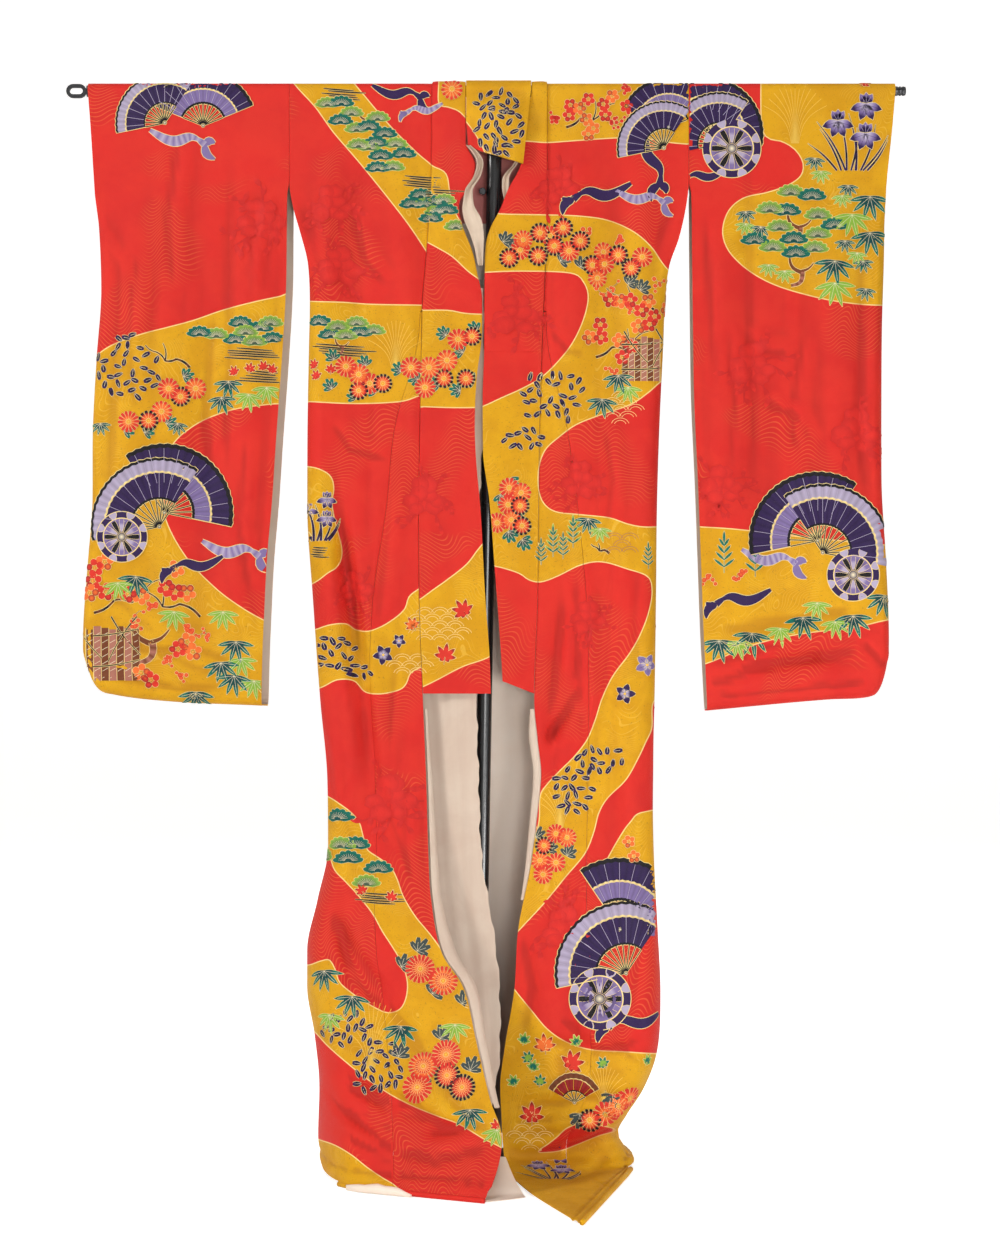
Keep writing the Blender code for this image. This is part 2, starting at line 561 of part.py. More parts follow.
def back_surface(side):
    rows = FRONT_ROWS[side]
    last_s = BACK_ROWS[-1].s
    floor_s = 1.700
    front_last = rows[-1].s

    def surface(s, t):
        seam_s = np.where(
            s < floor_s, s, floor_s + (s - floor_s) * (front_last - floor_s) / (last_s - floor_s)
        )
        side_x = column(rows, "side_x", seam_s)
        side_z = column(rows, "side_z", seam_s)
        sewn = smoothstep(s, SEWN_FROM, SEWN_BY)
        x, turned = across(side_x, CENTRE_X, mix(0.006, BACK_CURL, sewn), t)
        share = (x - side_x) / (CENTRE_X - side_x)
        z = mix(side_z, column(BACK_ROWS, "centre_z", s), smoothstep(share, 0.0, 0.8))
        rounded = 1.0 - (1.0 - share) ** 2  # level at the centre seam, so that both halves meet there
        y = mix(column(BACK_ROWS, "side_y", s), column(BACK_ROWS, "centre_y", s), rounded)
        standing = smoothstep(z, 0.010, 0.060) * smoothstep(s, 0.05, 0.14)
        relief = fold_relief(BACK_FOLDS, x, z) * standing
        y = (y + relief * smoothstep(turned, 0.0, 1.0)) * mix(1.0, turned, sewn)
        y, z = hang_over_rod(s, y, z, DRAPE_RADIUS, BACK)
        return np.stack(np.broadcast_arrays(x, y, z), axis=-1)

    return surface


def collar_surface(side, lift=0.0):
    """From the collar seam (t = 0) to the free edge (t = 1); lift moves the whole face outward."""
    front = front_surface(side)
    rows = COLLAR_ROWS[side]

    def surface(s, t):
        seam = front(s, np.ones_like(s))
        free_x = column(rows, "free_x", s)
        free_y = column(rows, "free_y", s)
        x = mix(seam[..., 0], free_x, t)
        seam_y = seam[..., 1] - COLLAR_RISE
        y = mix(seam_y, free_y, smoothstep(t, 0.0, 1.0)) - lift
        foot = smoothstep(s, COLLAR_END - 0.10, COLLAR_END)
        z = seam[..., 2] + COLLAR_BOTTOM_SLOPE[side] * t * foot
        radius = DRAPE_RADIUS + COLLAR_RISE + lift
        y, z = hang_over_rod(s, y, z, radius, FRONT)
        return np.stack(np.broadcast_arrays(x, y, z), axis=-1)

    return surface


def neck_surface(s, t):
    """Over the rod: s = 0 is the top of the rod, negative at the back and positive down the front flap."""
    arc = NECK_RADIUS * math.pi / 2
    angle = np.clip(s, -arc, arc) / NECK_RADIUS
    below = np.clip(np.abs(s) - arc, 0.0, None)
    flap = np.where(s > 0, below / NECK_FRONT, 0.0)
    x = mix(NECK_LEFT, NECK_RIGHT - NECK_TAPER * flap, t)
    swing = NECK_SWING * smoothstep(flap, 0.0, 0.45) * np.sin(math.pi * (0.08 + 0.55 * t))
    y = -NECK_RADIUS * np.sin(angle) - swing
    drop = np.where(s > 0, flap * column(NECK_FOOT, "drop", t), below)
    z = ROD_Z + NECK_RADIUS * np.cos(angle) - drop
    return np.stack(np.broadcast_arrays(x, y, z), axis=-1)


def sleeve_surface(side, facing):
    rows = SLEEVE_ROWS[side]
    shift = BACK_LAYER_SHIFT[side] if facing == BACK else 0.0

    def surface(s, t):
        """s runs from 0 on the shoulder line to 1 at the sewn foot."""
        arc_share = ARC / (ARC + 1.0)
        foot_z = column(SLEEVE_FOOT[side], "z", t)
        drop = np.clip((s - arc_share) / (1.0 - arc_share), 0.0, 1.0)
        foot_share = 0.020
        turn = np.clip((drop - (1.0 - foot_share)) / foot_share, 0.0, 1.0) * (math.pi / 2)
        z = mix(ROD_Z, foot_z + SLEEVE_CURL, np.clip(drop / (1.0 - foot_share), 0.0, 1.0))
        z = z - SLEEVE_CURL * np.sin(turn)
        outer_x = column(rows, "outer_x", z)
        inner_x = column(rows, "inner_x", z)
        inner_x = inner_x + shift * smoothstep(1.59 - z, 0.0, 0.03)
        x, turned = across(outer_x, inner_x, SLEEVE_CURL, t)
        sewn = 1.0 - smoothstep(z, WRIST_BY, WRIST_FROM)
        depth = column(rows, "depth", z)
        hanging = smoothstep(ROD_Z - z, 0.03, 0.12)
        relief = fold_relief(SLEEVE_FOLDS[side], x, z) * hanging * smoothstep(turned, 0.0, 1.0)
        y = facing * (depth + relief) * mix(1.0, turned, sewn) * np.cos(turn)
        y, z = hang_over_rod(s / arc_share * ARC, y, z, DRAPE_RADIUS, facing)
        return np.stack(np.broadcast_arrays(x, y, z), axis=-1)

    return surface


def lining_fold_surface(s, t):
    """The loose fold of lining in front of the pole: s is the height, t runs from its rear edge to its fold."""
    z = -s
    rear_x = column(LINING_FOLD_ROWS, "rear_x", z)
    fold_x = column(LINING_FOLD_ROWS, "fold_x", z)
    rear_y = column(LINING_FOLD_ROWS, "rear_y", z)
    fold_y = column(LINING_FOLD_ROWS, "fold_y", z)
    x = mix(rear_x, fold_x, t)
    y = mix(rear_y, fold_y, smoothstep(t, 0.0, 0.9))
    return np.stack(np.broadcast_arrays(x, y, z), axis=-1)


def lining_hem_surface(s, t):
    """The tongue of lining that lies on the floor between the two hems."""
    y = -s
    x = mix(column(LINING_HEM_ROWS, "left_x", y), column(LINING_HEM_ROWS, "right_x", y), t)
    z = column(LINING_HEM_ROWS, "z", y) - 0.006 * (2 * t - 1) ** 2 * smoothstep(-y, 0.10, 0.20)
    z = np.maximum(z, LINING + GAP)
    return np.stack(np.broadcast_arrays(x, y, z), axis=-1)


def ribbon_surface(side):
    rows = RIBBON_ROWS[side]

    def surface(s, t):
        z = -s
        twist = np.radians(column_by_z(rows, "twist", z))
        reach = (2 * t - 1) * column_by_z(rows, "half_width", z)
        x = column_by_z(rows, "x", z) + reach * np.cos(twist)
        y = column_by_z(rows, "y", z) + reach * np.sin(twist)
        return np.stack(np.broadcast_arrays(x, y, z), axis=-1)

    return surface


def column_by_z(rows, name, z):
    Keyed = namedtuple("Keyed", "z value")
    return column([Keyed(row.z, getattr(row, name)) for row in rows], "value", z)


def facing_surface(side):
    front = front_surface(side)
    rows = FACING_ROWS[side]
    inward = {LEFT: 1.0, RIGHT: -1.0}[side]

    def surface(s, t):
        edge = front(s, np.ones_like(s))
        width = column(rows, "width", s)
        x = edge[..., 0] + inward * (FACING_START[side] + width * np.sin(t * math.pi / 2))
        y = edge[..., 1] + 0.55 * width * (1 - np.cos(t * math.pi / 2))
        return np.stack(np.broadcast_arrays(x, y, edge[..., 2]), axis=-1)

    return surface


def moved_in(surface, depth, outward):
    """The same surface moved along its normals, away from its outer side."""

    def inner(s, t):
        return surface(s, t) - depth * facing_normals(surface, s, t, outward)

    return inner


# ---- walls --------------------------------------------------------------------------------------------------


def surface_normals(surface, s, t, step=2e-4):
    """Unit normals of a surface, from its own slopes."""
    down = surface(s + step, t) - surface(s - step, t)
    over = surface(s, t + step) - surface(s, t - step)
    normals = np.cross(over, down)
    length = np.linalg.norm(normals, axis=-1, keepdims=True)
    return normals / np.maximum(length, 1e-12)


def facing_normals(surface, s, t, outward):
    """The surface's normals, all on the side that the direction `outward` names."""
    normals = surface_normals(surface, s, t)
    return normals * np.sign(np.sum(normals * np.array(outward)))


def wall(name, surface, s, t, thickness, outward, finish_name, collection, level_rims=""):
    """A cloth wall: a grid on the surface, extruded to its inner face.

    s and t are grids of places. outward is a direction that the outer face looks to. On the rims named in
    level_rims (top, side, foot) the inner edge keeps the outer edge's Y, so that it meets its neighbour
    squarely.
    """
    outer = surface(s, t)
    inner = outer - thickness * facing_normals(surface, s, t, outward)
    if "top" in level_rims:
        inner[0, :, 1] = outer[0, :, 1]
    if "side" in level_rims:
        inner[:, 0, 1] = outer[:, 0, 1]
    if "foot" in level_rims:
        inner[-1, :, 1] = outer[-1, :, 1]
    rows, columns = s.shape
    mesh = bmesh.new()
    bmesh.ops.create_grid(mesh, x_segments=columns - 1, y_segments=rows - 1, size=0.5)
    region = bmesh.ops.extrude_face_region(mesh, geom=mesh.faces[:])
    inside = {item for item in region["geom"] if isinstance(item, bmesh.types.BMVert)}
    for vertex in mesh.verts:
        j = round((vertex.co.x + 0.5) * (columns - 1))
        i = round((vertex.co.y + 0.5) * (rows - 1))
        vertex.co = inner[i, j] if vertex in inside else outer[i, j]
    bmesh.ops.recalc_face_normals(mesh, faces=mesh.faces[:])
    if mesh.calc_volume(signed=True) < 0.0:
        bmesh.ops.reverse_faces(mesh, faces=mesh.faces[:])
    data = bpy.data.meshes.new(name)
    mesh.to_mesh(data)
    mesh.free()
    data.shade_smooth()
    data.set_sharp_from_angle(angle=math.radians(60))
    return add_object(name, data, finish_name, collection)


def grid(s_values, t_values):
    return np.meshgrid(np.array(s_values), np.array(t_values), indexing="ij")


def row_places(rows, first, last, between=1):
    """Places down a panel: one on each table row and `between` more in each gap."""
    keys = [row[0] for row in rows if first < row[0] < last]
    keys = [first, *keys, last]
    places = []
    for start, end in zip(keys, keys[1:]):
        places.extend(np.linspace(start, end, between + 2)[:-1])
    return [*places, last]


def over_rod_places(count=4):
    return list(np.linspace(0.0, ARC, count + 1)[:-1])


def curl_places(count=3):
    return list(np.linspace(0.0, CURL_SHARE, count + 1)[:-1])


# ---- garment pieces -----------------------------------------------------------------------------------------


def build_front(side, collection):
    surface = front_surface(side)
    rows = FRONT_ROWS[side]
    places = over_rod_places() + row_places(rows, ARC, rows[-1].s, between=0)
    places = sorted(places + [OKUMI_START - 0.0005, OKUMI_START + 0.0005])
    columns = np.array(curl_places() + list(np.linspace(CURL_SHARE, 1.0, 9)))
    s, t = grid(places, columns)
    joined = s > OKUMI_START
    inner_t = np.where(joined, okumi_t(side, s) - half_gap_t(side, s), 1.0 - half_gap_t(side, s))
    t = np.where(t > CURL_SHARE, mix(CURL_SHARE, inner_t, (t - CURL_SHARE) / (1.0 - CURL_SHARE)), t)
    rims = "top side"
    wall(f"front_{side}", surface, s, t, CLOTH, (0, -1, 0.2), "red_silk", collection, rims)


def half_gap_t(side, s):
    """Half a seam's daylight, as a t."""
    rows = FRONT_ROWS[side]
    width = np.hypot(
        column(rows, "edge_x", s) - column(rows, "side_x", s),
        column(rows, "edge_y", s) - column(rows, "side_y", s),
    )
    return 0.75 * GAP / width * (1.0 - CURL_SHARE)


def build_okumi(side, collection):
    surface = front_surface(side)
    rows = FRONT_ROWS[side]
    places = [OKUMI_START + 0.0015] + row_places(rows, OKUMI_START + 0.01, rows[-1].s, between=0)[1:]
    s, share = grid(places, np.linspace(0.0, 1.0, 5))
    t = mix(okumi_t(side, s) + half_gap_t(side, s), 1.0 - half_gap_t(side, s), share)
    wall(f"okumi_{side}", surface, s, t, CLOTH, (0, -1, 0.2), "red_silk", collection)


def back_columns(side):
    """Places across a back half, up to half a seam short of the centre seam."""
    side_x = FRONT_ROWS[side][0].side_x
    columns = np.array(curl_places() + list(np.linspace(CURL_SHARE, 1.0, 11)))
    return np.minimum(columns, 1.0 - 0.75 * GAP / abs(CENTRE_X - side_x))


def back_places():
    places = row_places(BACK_ROWS, ARC, BACK_ROWS[-1].s, between=0)
    return sorted(set(places) | {0.230, 0.430, 0.690, 0.980, 1.225, 1.395, 1.510, 1.600, 1.825})


def build_back(side, neck_cutter, collection):
    surface = back_surface(side)
    s, t = grid(over_rod_places() + back_places(), back_columns(side))
    rims = "top side"
    back = wall(f"back_{side}", surface, s, t, CLOTH, (0, 1, 0.2), "red_silk", collection, rims)
    opening = back.modifiers.new("neck", "BOOLEAN")
    opening.object = neck_cutter


def build_neck_cutter(collection):
    """The box that opens the backs round the neck piece."""
    bpy.ops.mesh.primitive_cube_add(size=1.0)
    cutter = bpy.context.object
    cutter.name = "neck_cutter"
    height = 0.100
    cutter.scale = (NECK_RIGHT - NECK_LEFT + 2 * NECK_CLEARANCE, 0.080, height)
    cutter.location = (
        (NECK_LEFT + NECK_RIGHT) / 2,
        0.020,
        SHOULDER_Z - NECK_DROP + height / 2,
    )
    for owner in list(cutter.users_collection):
        owner.objects.unlink(cutter)
    collection.objects.link(cutter)
    cutter.hide_render = True
    cutter.display_type = "WIRE"
    return cutter


def build_collar(side, collection):
    rows = COLLAR_ROWS[side]
    places = over_rod_places() + row_places(rows, ARC, COLLAR_END, between=0)
    places = sorted(set(places) | {0.355, 0.752})
    s, t = grid(places, [0.0, 0.25, 0.5, 0.75, 1.0])
    seam = GAP / COLLAR_WIDTH
    t = seam + t * (1.0 - seam)
    surface = collar_surface(side)
    wall(f"collar_{side}", surface, s, t, COLLAR_CLOTH, (0, -1, 0), "red_silk", collection, "top")
    cover = collar_surface(side, lift=GAP + COVER_CLOTH)
    places = over_rod_places() + row_places(rows, ARC, COVER_END, between=0)
    s, t = grid(places, [0.02, 0.25, 0.5, 0.75, 0.985])
    wall(f"over_collar_{side}", cover, s, t, COVER_CLOTH, (0, -1, 0), "gold_silk", collection, "top")


def build_neck(collection):
    arc = NECK_RADIUS * math.pi / 2
    places = [-arc - NECK_BACK, -arc - NECK_BACK / 2]
    places += list(np.linspace(-arc, arc, 9))
    places += list(np.linspace(arc, arc + NECK_FRONT, 6))[1:]
    s, t = grid(places, np.linspace(0.0, 1.0, 7))
    wall("collar_neck", neck_surface, s, t, NECK_CLOTH, (0, -1, 0.5), "gold_silk", collection)


def build_sleeve(side, collection):
    arc_share = ARC / (ARC + 1.0)
    heights = [row.z for row in SLEEVE_ROWS[side][1:-2]]
    foot = column(SLEEVE_FOOT[side], "z", np.array(0.5)) + SLEEVE_CURL
    drops = [(ROD_Z - z) / (ROD_Z - foot) * 0.98 for z in heights]
    places = list(np.linspace(0.0, arc_share, 5)) + [mix(arc_share, 1.0, drop) for drop in drops]
    places += [mix(arc_share, 1.0, drop) for drop in (0.95, 0.98, 0.987, 0.994, 1.0)]
    columns = curl_places() + list(np.linspace(CURL_SHARE, 1.0, 8))
    s, t = grid(sorted(places), columns)
    for facing, word in ((FRONT, "front"), (BACK, "back")):
        wall(
            f"sleeve_{side}_{word}",
            sleeve_surface(side, facing),
            s,
            t,
            CLOTH,
            (0, facing, 0.1),
            "red_silk",
            collection,
            "top side foot",
        )


def build_linings(collection):
    for side in (LEFT, RIGHT):
        behind = moved_in(back_surface(side), CLOTH + GAP, (0, 1, 0.2))
        places = [place for place in back_places() if LINING_FROM <= place < LINING_BY]
        columns = [place for place in back_columns(side) if place > 0.50]
        s, t = grid(places, columns)
        name = f"lining_back_{side}"
        wall(name, behind, s, t, LINING, (0, 1, 0.2), "white_lining", collection)
    places = [-row.z for row in LINING_FOLD_ROWS]
    s, t = grid(places, np.linspace(0.0, 1.0, 6))
    wall("lining_fold", lining_fold_surface, s, t, LINING, (0, -1, 0), "white_lining", collection)
    places = [-row.y for row in LINING_HEM_ROWS]
    s, t = grid(places, np.linspace(0.0, 1.0, 6))
    wall("lining_hem", lining_hem_surface, s, t, LINING, (0, 0, 1), "white_lining", collection)


def build_trim(side, collection):
    places = [-row.z for row in RIBBON_ROWS[side]]
    s, t = grid(places, [0.0, 0.5, 1.0])
    ribbon = ribbon_surface(side)
    wall(f"neck_ribbon_{side}", ribbon, s, t, RIBBON_CLOTH, (0, -1, 0), "white_lining", collection)
    rows = FACING_ROWS[side]
    s, t = grid(row_places(rows, rows[0].s, rows[-1].s, between=0), [0.0, 0.5, 1.0])
    facing = facing_surface(side)
    wall(f"facing_{side}", facing, s, t, FACING_CLOTH, (0, -1, 0), "white_lining", collection)


def hem_path(surface, last, places, outward):
    """Centre points of a hem roll: just past the panel's foot, square to it and in line with its cloth."""
    s = np.full(len(places), last)
    t = np.array(places)
    foot = surface(s, t)
    normals = facing_normals(surface, s, t, outward)
    along = surface(s, t + 0.001) - surface(s, t - 0.001)
    away = np.cross(along, normals)
    away = away / np.linalg.norm(away, axis=-1, keepdims=True)
    away = away * np.sign(np.sum(away * (foot - surface(s - 0.004, t)), axis=-1, keepdims=True))
    path = foot - CLOTH / 2 * normals + away * (HEM_ROLL_RADIUS + 2.5 * GAP)
    path[:, 2] = HEM_ROLL_RADIUS + 0.0001
    return path


def build_hem_roll(name, path, finish_name, collection):
    curve = bpy.data.curves.new(name, "CURVE")
    curve.dimensions = "3D"
    curve.bevel_depth = HEM_ROLL_RADIUS
    curve.bevel_resolution = 2
    curve.use_fill_caps = True
    spline = curve.splines.new("POLY")
    spline.points.add(len(path) - 1)
    for point, place in zip(spline.points, path):
        point.co = (*place, 1.0)
    add_object(name, curve, finish_name, collection)


def build_hem_rolls(collection):
    places = np.linspace(0.10, 0.995, 16)
    for side, finish_name in ((LEFT, "red_silk"), (RIGHT, "gold_silk")):
        last = FRONT_ROWS[side][-1].s
        path = hem_path(front_surface(side), last, places, (0, -1, 0.2))
        build_hem_roll(f"hem_roll_{side}", path, finish_name, collection)
    last = BACK_ROWS[-1].s
    left = hem_path(back_surface(LEFT), last, np.linspace(0.18, 0.98, 12), (0, 1, 0.2))
    right = hem_path(back_surface(RIGHT), last, np.linspace(0.98, 0.18, 12), (0, 1, 0.2))
    build_hem_roll("hem_roll_back", np.concatenate((left, right)), "red_silk", collection)


# ---- stand --------------------------------------------------------------------------------------------------


def turned(name, profile, finish_name, collection, steps=32):
    """A turned piece: a profile of (radius, height), top to bottom on its outer side, screwed round Z."""
    data = bpy.data.meshes.new(name)
    data.from_pydata([(r, 0.0, z) for r, z in profile], [(i, i + 1) for i in range(len(profile) - 1)], [])
    item = add_object(name, data, finish_name, collection)
    screw = item.modifiers.new("turn", "SCREW")
    screw.steps = screw.render_steps = steps
    screw.use_merge_vertices = True
    screw.merge_threshold = 0.00001
    screw.use_smooth_shade = True
    return item


def pole_x(z):
    return mix(POLE_FOOT_X, POLE_TOP_X, z / ROD_Z)


def build_stand(collection):
    hub_top = 0.150
    base = turned(
        "stand_base",
        [
            (0.0, hub_top),
            (0.0135, hub_top),
            (0.0190, 0.060),
            (0.0380, BASE_THICKNESS + 0.006),
            (0.0420, BASE_THICKNESS),
            (BASE_RADIUS - 0.002, BASE_THICKNESS),
            (BASE_RADIUS, BASE_THICKNESS - 0.002),
            (BASE_RADIUS, 0.0),
            (0.0, 0.0),
        ],
        "black_steel",
        collection,
        36,
    )
    base.location = (POLE_FOOT_X, 0.0, 0.0)
    saddle_bottom = ROD_Z - 0.0125
    lean = math.atan2(POLE_TOP_X - POLE_FOOT_X, ROD_Z)
    pole_foot = hub_top + 0.0006
    pole_length = (saddle_bottom - 0.0012 - pole_foot) / math.cos(lean)
    pole = turned(
        "stand_pole",
        [(0.0, pole_length), (POLE_RADIUS, pole_length), (POLE_RADIUS, 0.0), (0.0, 0.0)],
        "black_steel",
        collection,
        28,
    )
    pole.location = (pole_x(pole_foot), 0.0, pole_foot)
    pole.rotation_euler = (0.0, lean, 0.0)
    build_saddle(collection)
    build_rod(collection)
    build_clamp_screw(collection)


def build_saddle(collection):
    """A short pipe round the rod at the top of the pole."""
    half = 0.022
    bore = ROD_RADIUS + 0.0003
    wall_radius = 0.0125
    saddle = turned(
        "stand_saddle",
        [(wall_radius, half), (wall_radius, -half), (bore, -half), (bore, half), (wall_radius, half)],
        "black_steel",
        collection,
        28,
    )
    saddle.location = (POLE_TOP_X, 0.0, ROD_Z)
    saddle.rotation_euler = (0.0, math.pi / 2, 0.0)


def build_rod(collection):
    length = ROD_RIGHT - ROD_LEFT
    rod = turned(
        "stand_rod",
        [(0.0, length / 2), (ROD_RADIUS, length / 2), (ROD_RADIUS, -length / 2), (0.0, -length / 2)],
        "black_steel",
        collection,
        28,
    )
    rod.location = ((ROD_LEFT + ROD_RIGHT) / 2, 0.0, ROD_Z)
    rod.rotation_euler = (0.0, math.pi / 2, 0.0)
    build_rod_loop(collection)
    knob = turned(
        "rod_knob",
        [
            (0.0, 0.0170),
            (0.0060, 0.0170),
            (0.0075, 0.0150),
            (0.0078, 0.0118),
            (0.0066, 0.0108),
            (0.0066, 0.0098),
            (0.0078, 0.0088),
            (0.0078, 0.0066),
            (0.0066, 0.0056),
            (0.0066, 0.0046),
            (0.0078, 0.0036),
            (0.0078, 0.0),
            (0.0, 0.0),
        ],
        "grey_steel",
        collection,
        24,
    )
    knob.modifiers["turn"].steps = knob.modifiers["turn"].render_steps = 16
    knob.location = (ROD_RIGHT + 0.0003, 0.0, ROD_Z)
    knob.rotation_euler = (0.0, math.pi / 2, 0.0)


def build_rod_loop(collection):
    """A flat eye at the rod's left end: a rounded plate with an oblong hole."""
    curve = bpy.data.curves.new("rod_loop", "CURVE")
    curve.dimensions = "2D"
    curve.fill_mode = "BOTH"
    curve.extrude = 0.0030
    for half_length, half_height in ((0.0165, 0.0112), (0.0105, 0.0052)):
        outline = rounded_outline(half_length, half_height)
        spline = curve.splines.new("POLY")
        spline.points.add(len(outline) - 1)
        for point, (x, y) in zip(spline.points, outline):
            point.co = (x, y, 0.0, 1.0)
        spline.use_cyclic_u = True
    loop = add_object("rod_loop", curve, "grey_steel", collection)
    loop.location = (ROD_LEFT - 0.0003 - 0.0165, 0.0, ROD_Z)
    loop.rotation_euler = (math.pi / 2, 0.0, 0.0)


def rounded_outline(half_length, half_height, steps=8):
    """A slot shape: two straight sides and two round ends."""
    points = []
    for centre, first in ((half_length - half_height, -90), (half_height - half_length, 90)):
        for i in range(steps + 1):
            angle = math.radians(first + 180 * i / steps)
            points.append((centre + half_height * math.cos(angle), half_height * math.sin(angle)))
    return points


def build_clamp_screw(collection):
    """The clamp screw beside the pole, just below the neck flap."""
    height = 1.578
    radius = 0.0056
    screw = turned(
        "stand_clamp_screw",
        [(0.0, 0.006), (radius - 0.001, 0.006), (radius, 0.005), (radius, -0.006), (0.0, -0.006)],
        "grey_steel",
        collection,
        20,
    )
    screw.location = (pole_x(height) - POLE_RADIUS - 0.0004 - radius, -0.004, height)
    screw.rotation_euler = (math.pi / 2, 0.0, 0.0)


def main():
    clear_scene()
    collection = new_collection("uchikake_on_stand")
    neck_cutter = build_neck_cutter(new_collection("cutters"))
    for side in (LEFT, RIGHT):
        build_front(side, collection)
        build_okumi(side, collection)
        build_back(side, neck_cutter, collection)
        build_collar(side, collection)
        build_sleeve(side, collection)
        build_trim(side, collection)
    build_neck(collection)
    build_linings(collection)
    build_hem_rolls(collection)
    build_stand(collection)


main()
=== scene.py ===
"""Looks of the uchikake wedding kimono on its T-shaped stand.

Metres, +Z up, the garment's front faces -Y. Each cloth piece is laid out on the same surfaces
as its solid: s runs down the cloth from the shoulder line, t runs across the piece. The dyed
pattern is drawn on one pattern sheet, in steps of 1.62 mm: across from the left and down from
the top, as the hung garment is seen from in front.
"""

import math
from collections import namedtuple

import bpy
import numpy as np
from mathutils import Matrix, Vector
from mathutils.bvhtree import BVHTree


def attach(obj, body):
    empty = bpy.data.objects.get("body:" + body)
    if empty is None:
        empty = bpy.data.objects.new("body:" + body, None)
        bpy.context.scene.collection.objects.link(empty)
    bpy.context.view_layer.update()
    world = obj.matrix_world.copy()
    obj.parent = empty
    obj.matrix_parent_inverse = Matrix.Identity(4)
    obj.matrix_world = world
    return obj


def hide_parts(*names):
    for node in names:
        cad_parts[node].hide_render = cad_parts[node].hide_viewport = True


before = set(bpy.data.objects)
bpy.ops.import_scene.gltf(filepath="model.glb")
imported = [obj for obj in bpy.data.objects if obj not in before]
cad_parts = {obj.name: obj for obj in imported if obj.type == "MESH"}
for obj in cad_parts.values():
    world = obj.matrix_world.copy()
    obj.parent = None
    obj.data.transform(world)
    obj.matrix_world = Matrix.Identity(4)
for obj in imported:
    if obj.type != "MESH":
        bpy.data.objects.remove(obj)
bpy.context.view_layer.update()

# ---- driving dimensions -----------------------------------------------------

GAP = 0.0004  # daylight between pieces that are sewn together or rest on each other
CLOTH = 0.0020  # silk, padding and lining of the body and the sleeves
COLLAR_CLOTH = 0.0038
COVER_CLOTH = 0.0012  # the strip that covers the upper collar
LINING = 0.0012
LINING_FROM = 0.230  # the back's lining shows between these two distances down the cloth
LINING_BY = 1.800

ROD_Z = 1.740
DRAPE_RADIUS = 0.0122  # outer face of the cloth where it turns over the rod
COLLAR_RISE = 0.0021  # how far the collar stands in front of the body cloth
ARC = DRAPE_RADIUS * math.pi / 2  # length of cloth on one quarter of the rod
SHOULDER_Z = ROD_Z + DRAPE_RADIUS

CENTRE_X = 0.004  # centre-back seam
CURL_SHARE = 0.14  # share of t that turns back to the sewn side edge
SEWN_FROM = 0.26  # the side seam closes between these two distances down the cloth
SEWN_BY = 0.37
FRONT, BACK = -1, 1
LEFT, RIGHT = "left", "right"
OUTWARD = {FRONT: (0, -1, 0.2), BACK: (0, 1, 0.2)}  # the outer sides of fronts and backs
STRAIGHT_OUT = (0, -1, 0)

# ---- the body cloth ---------------------------------------------------------
# One row for each section across a front, top to hem. The side edge is the side seam, the free
# edge is the collar seam and below the collar the open front edge. side_y is the depth of the
# cloth beside the side seam.

FrontRow = namedtuple(
    "FrontRow", "s side_x side_z side_y curl okumi_x edge_x edge_y edge_z"
)

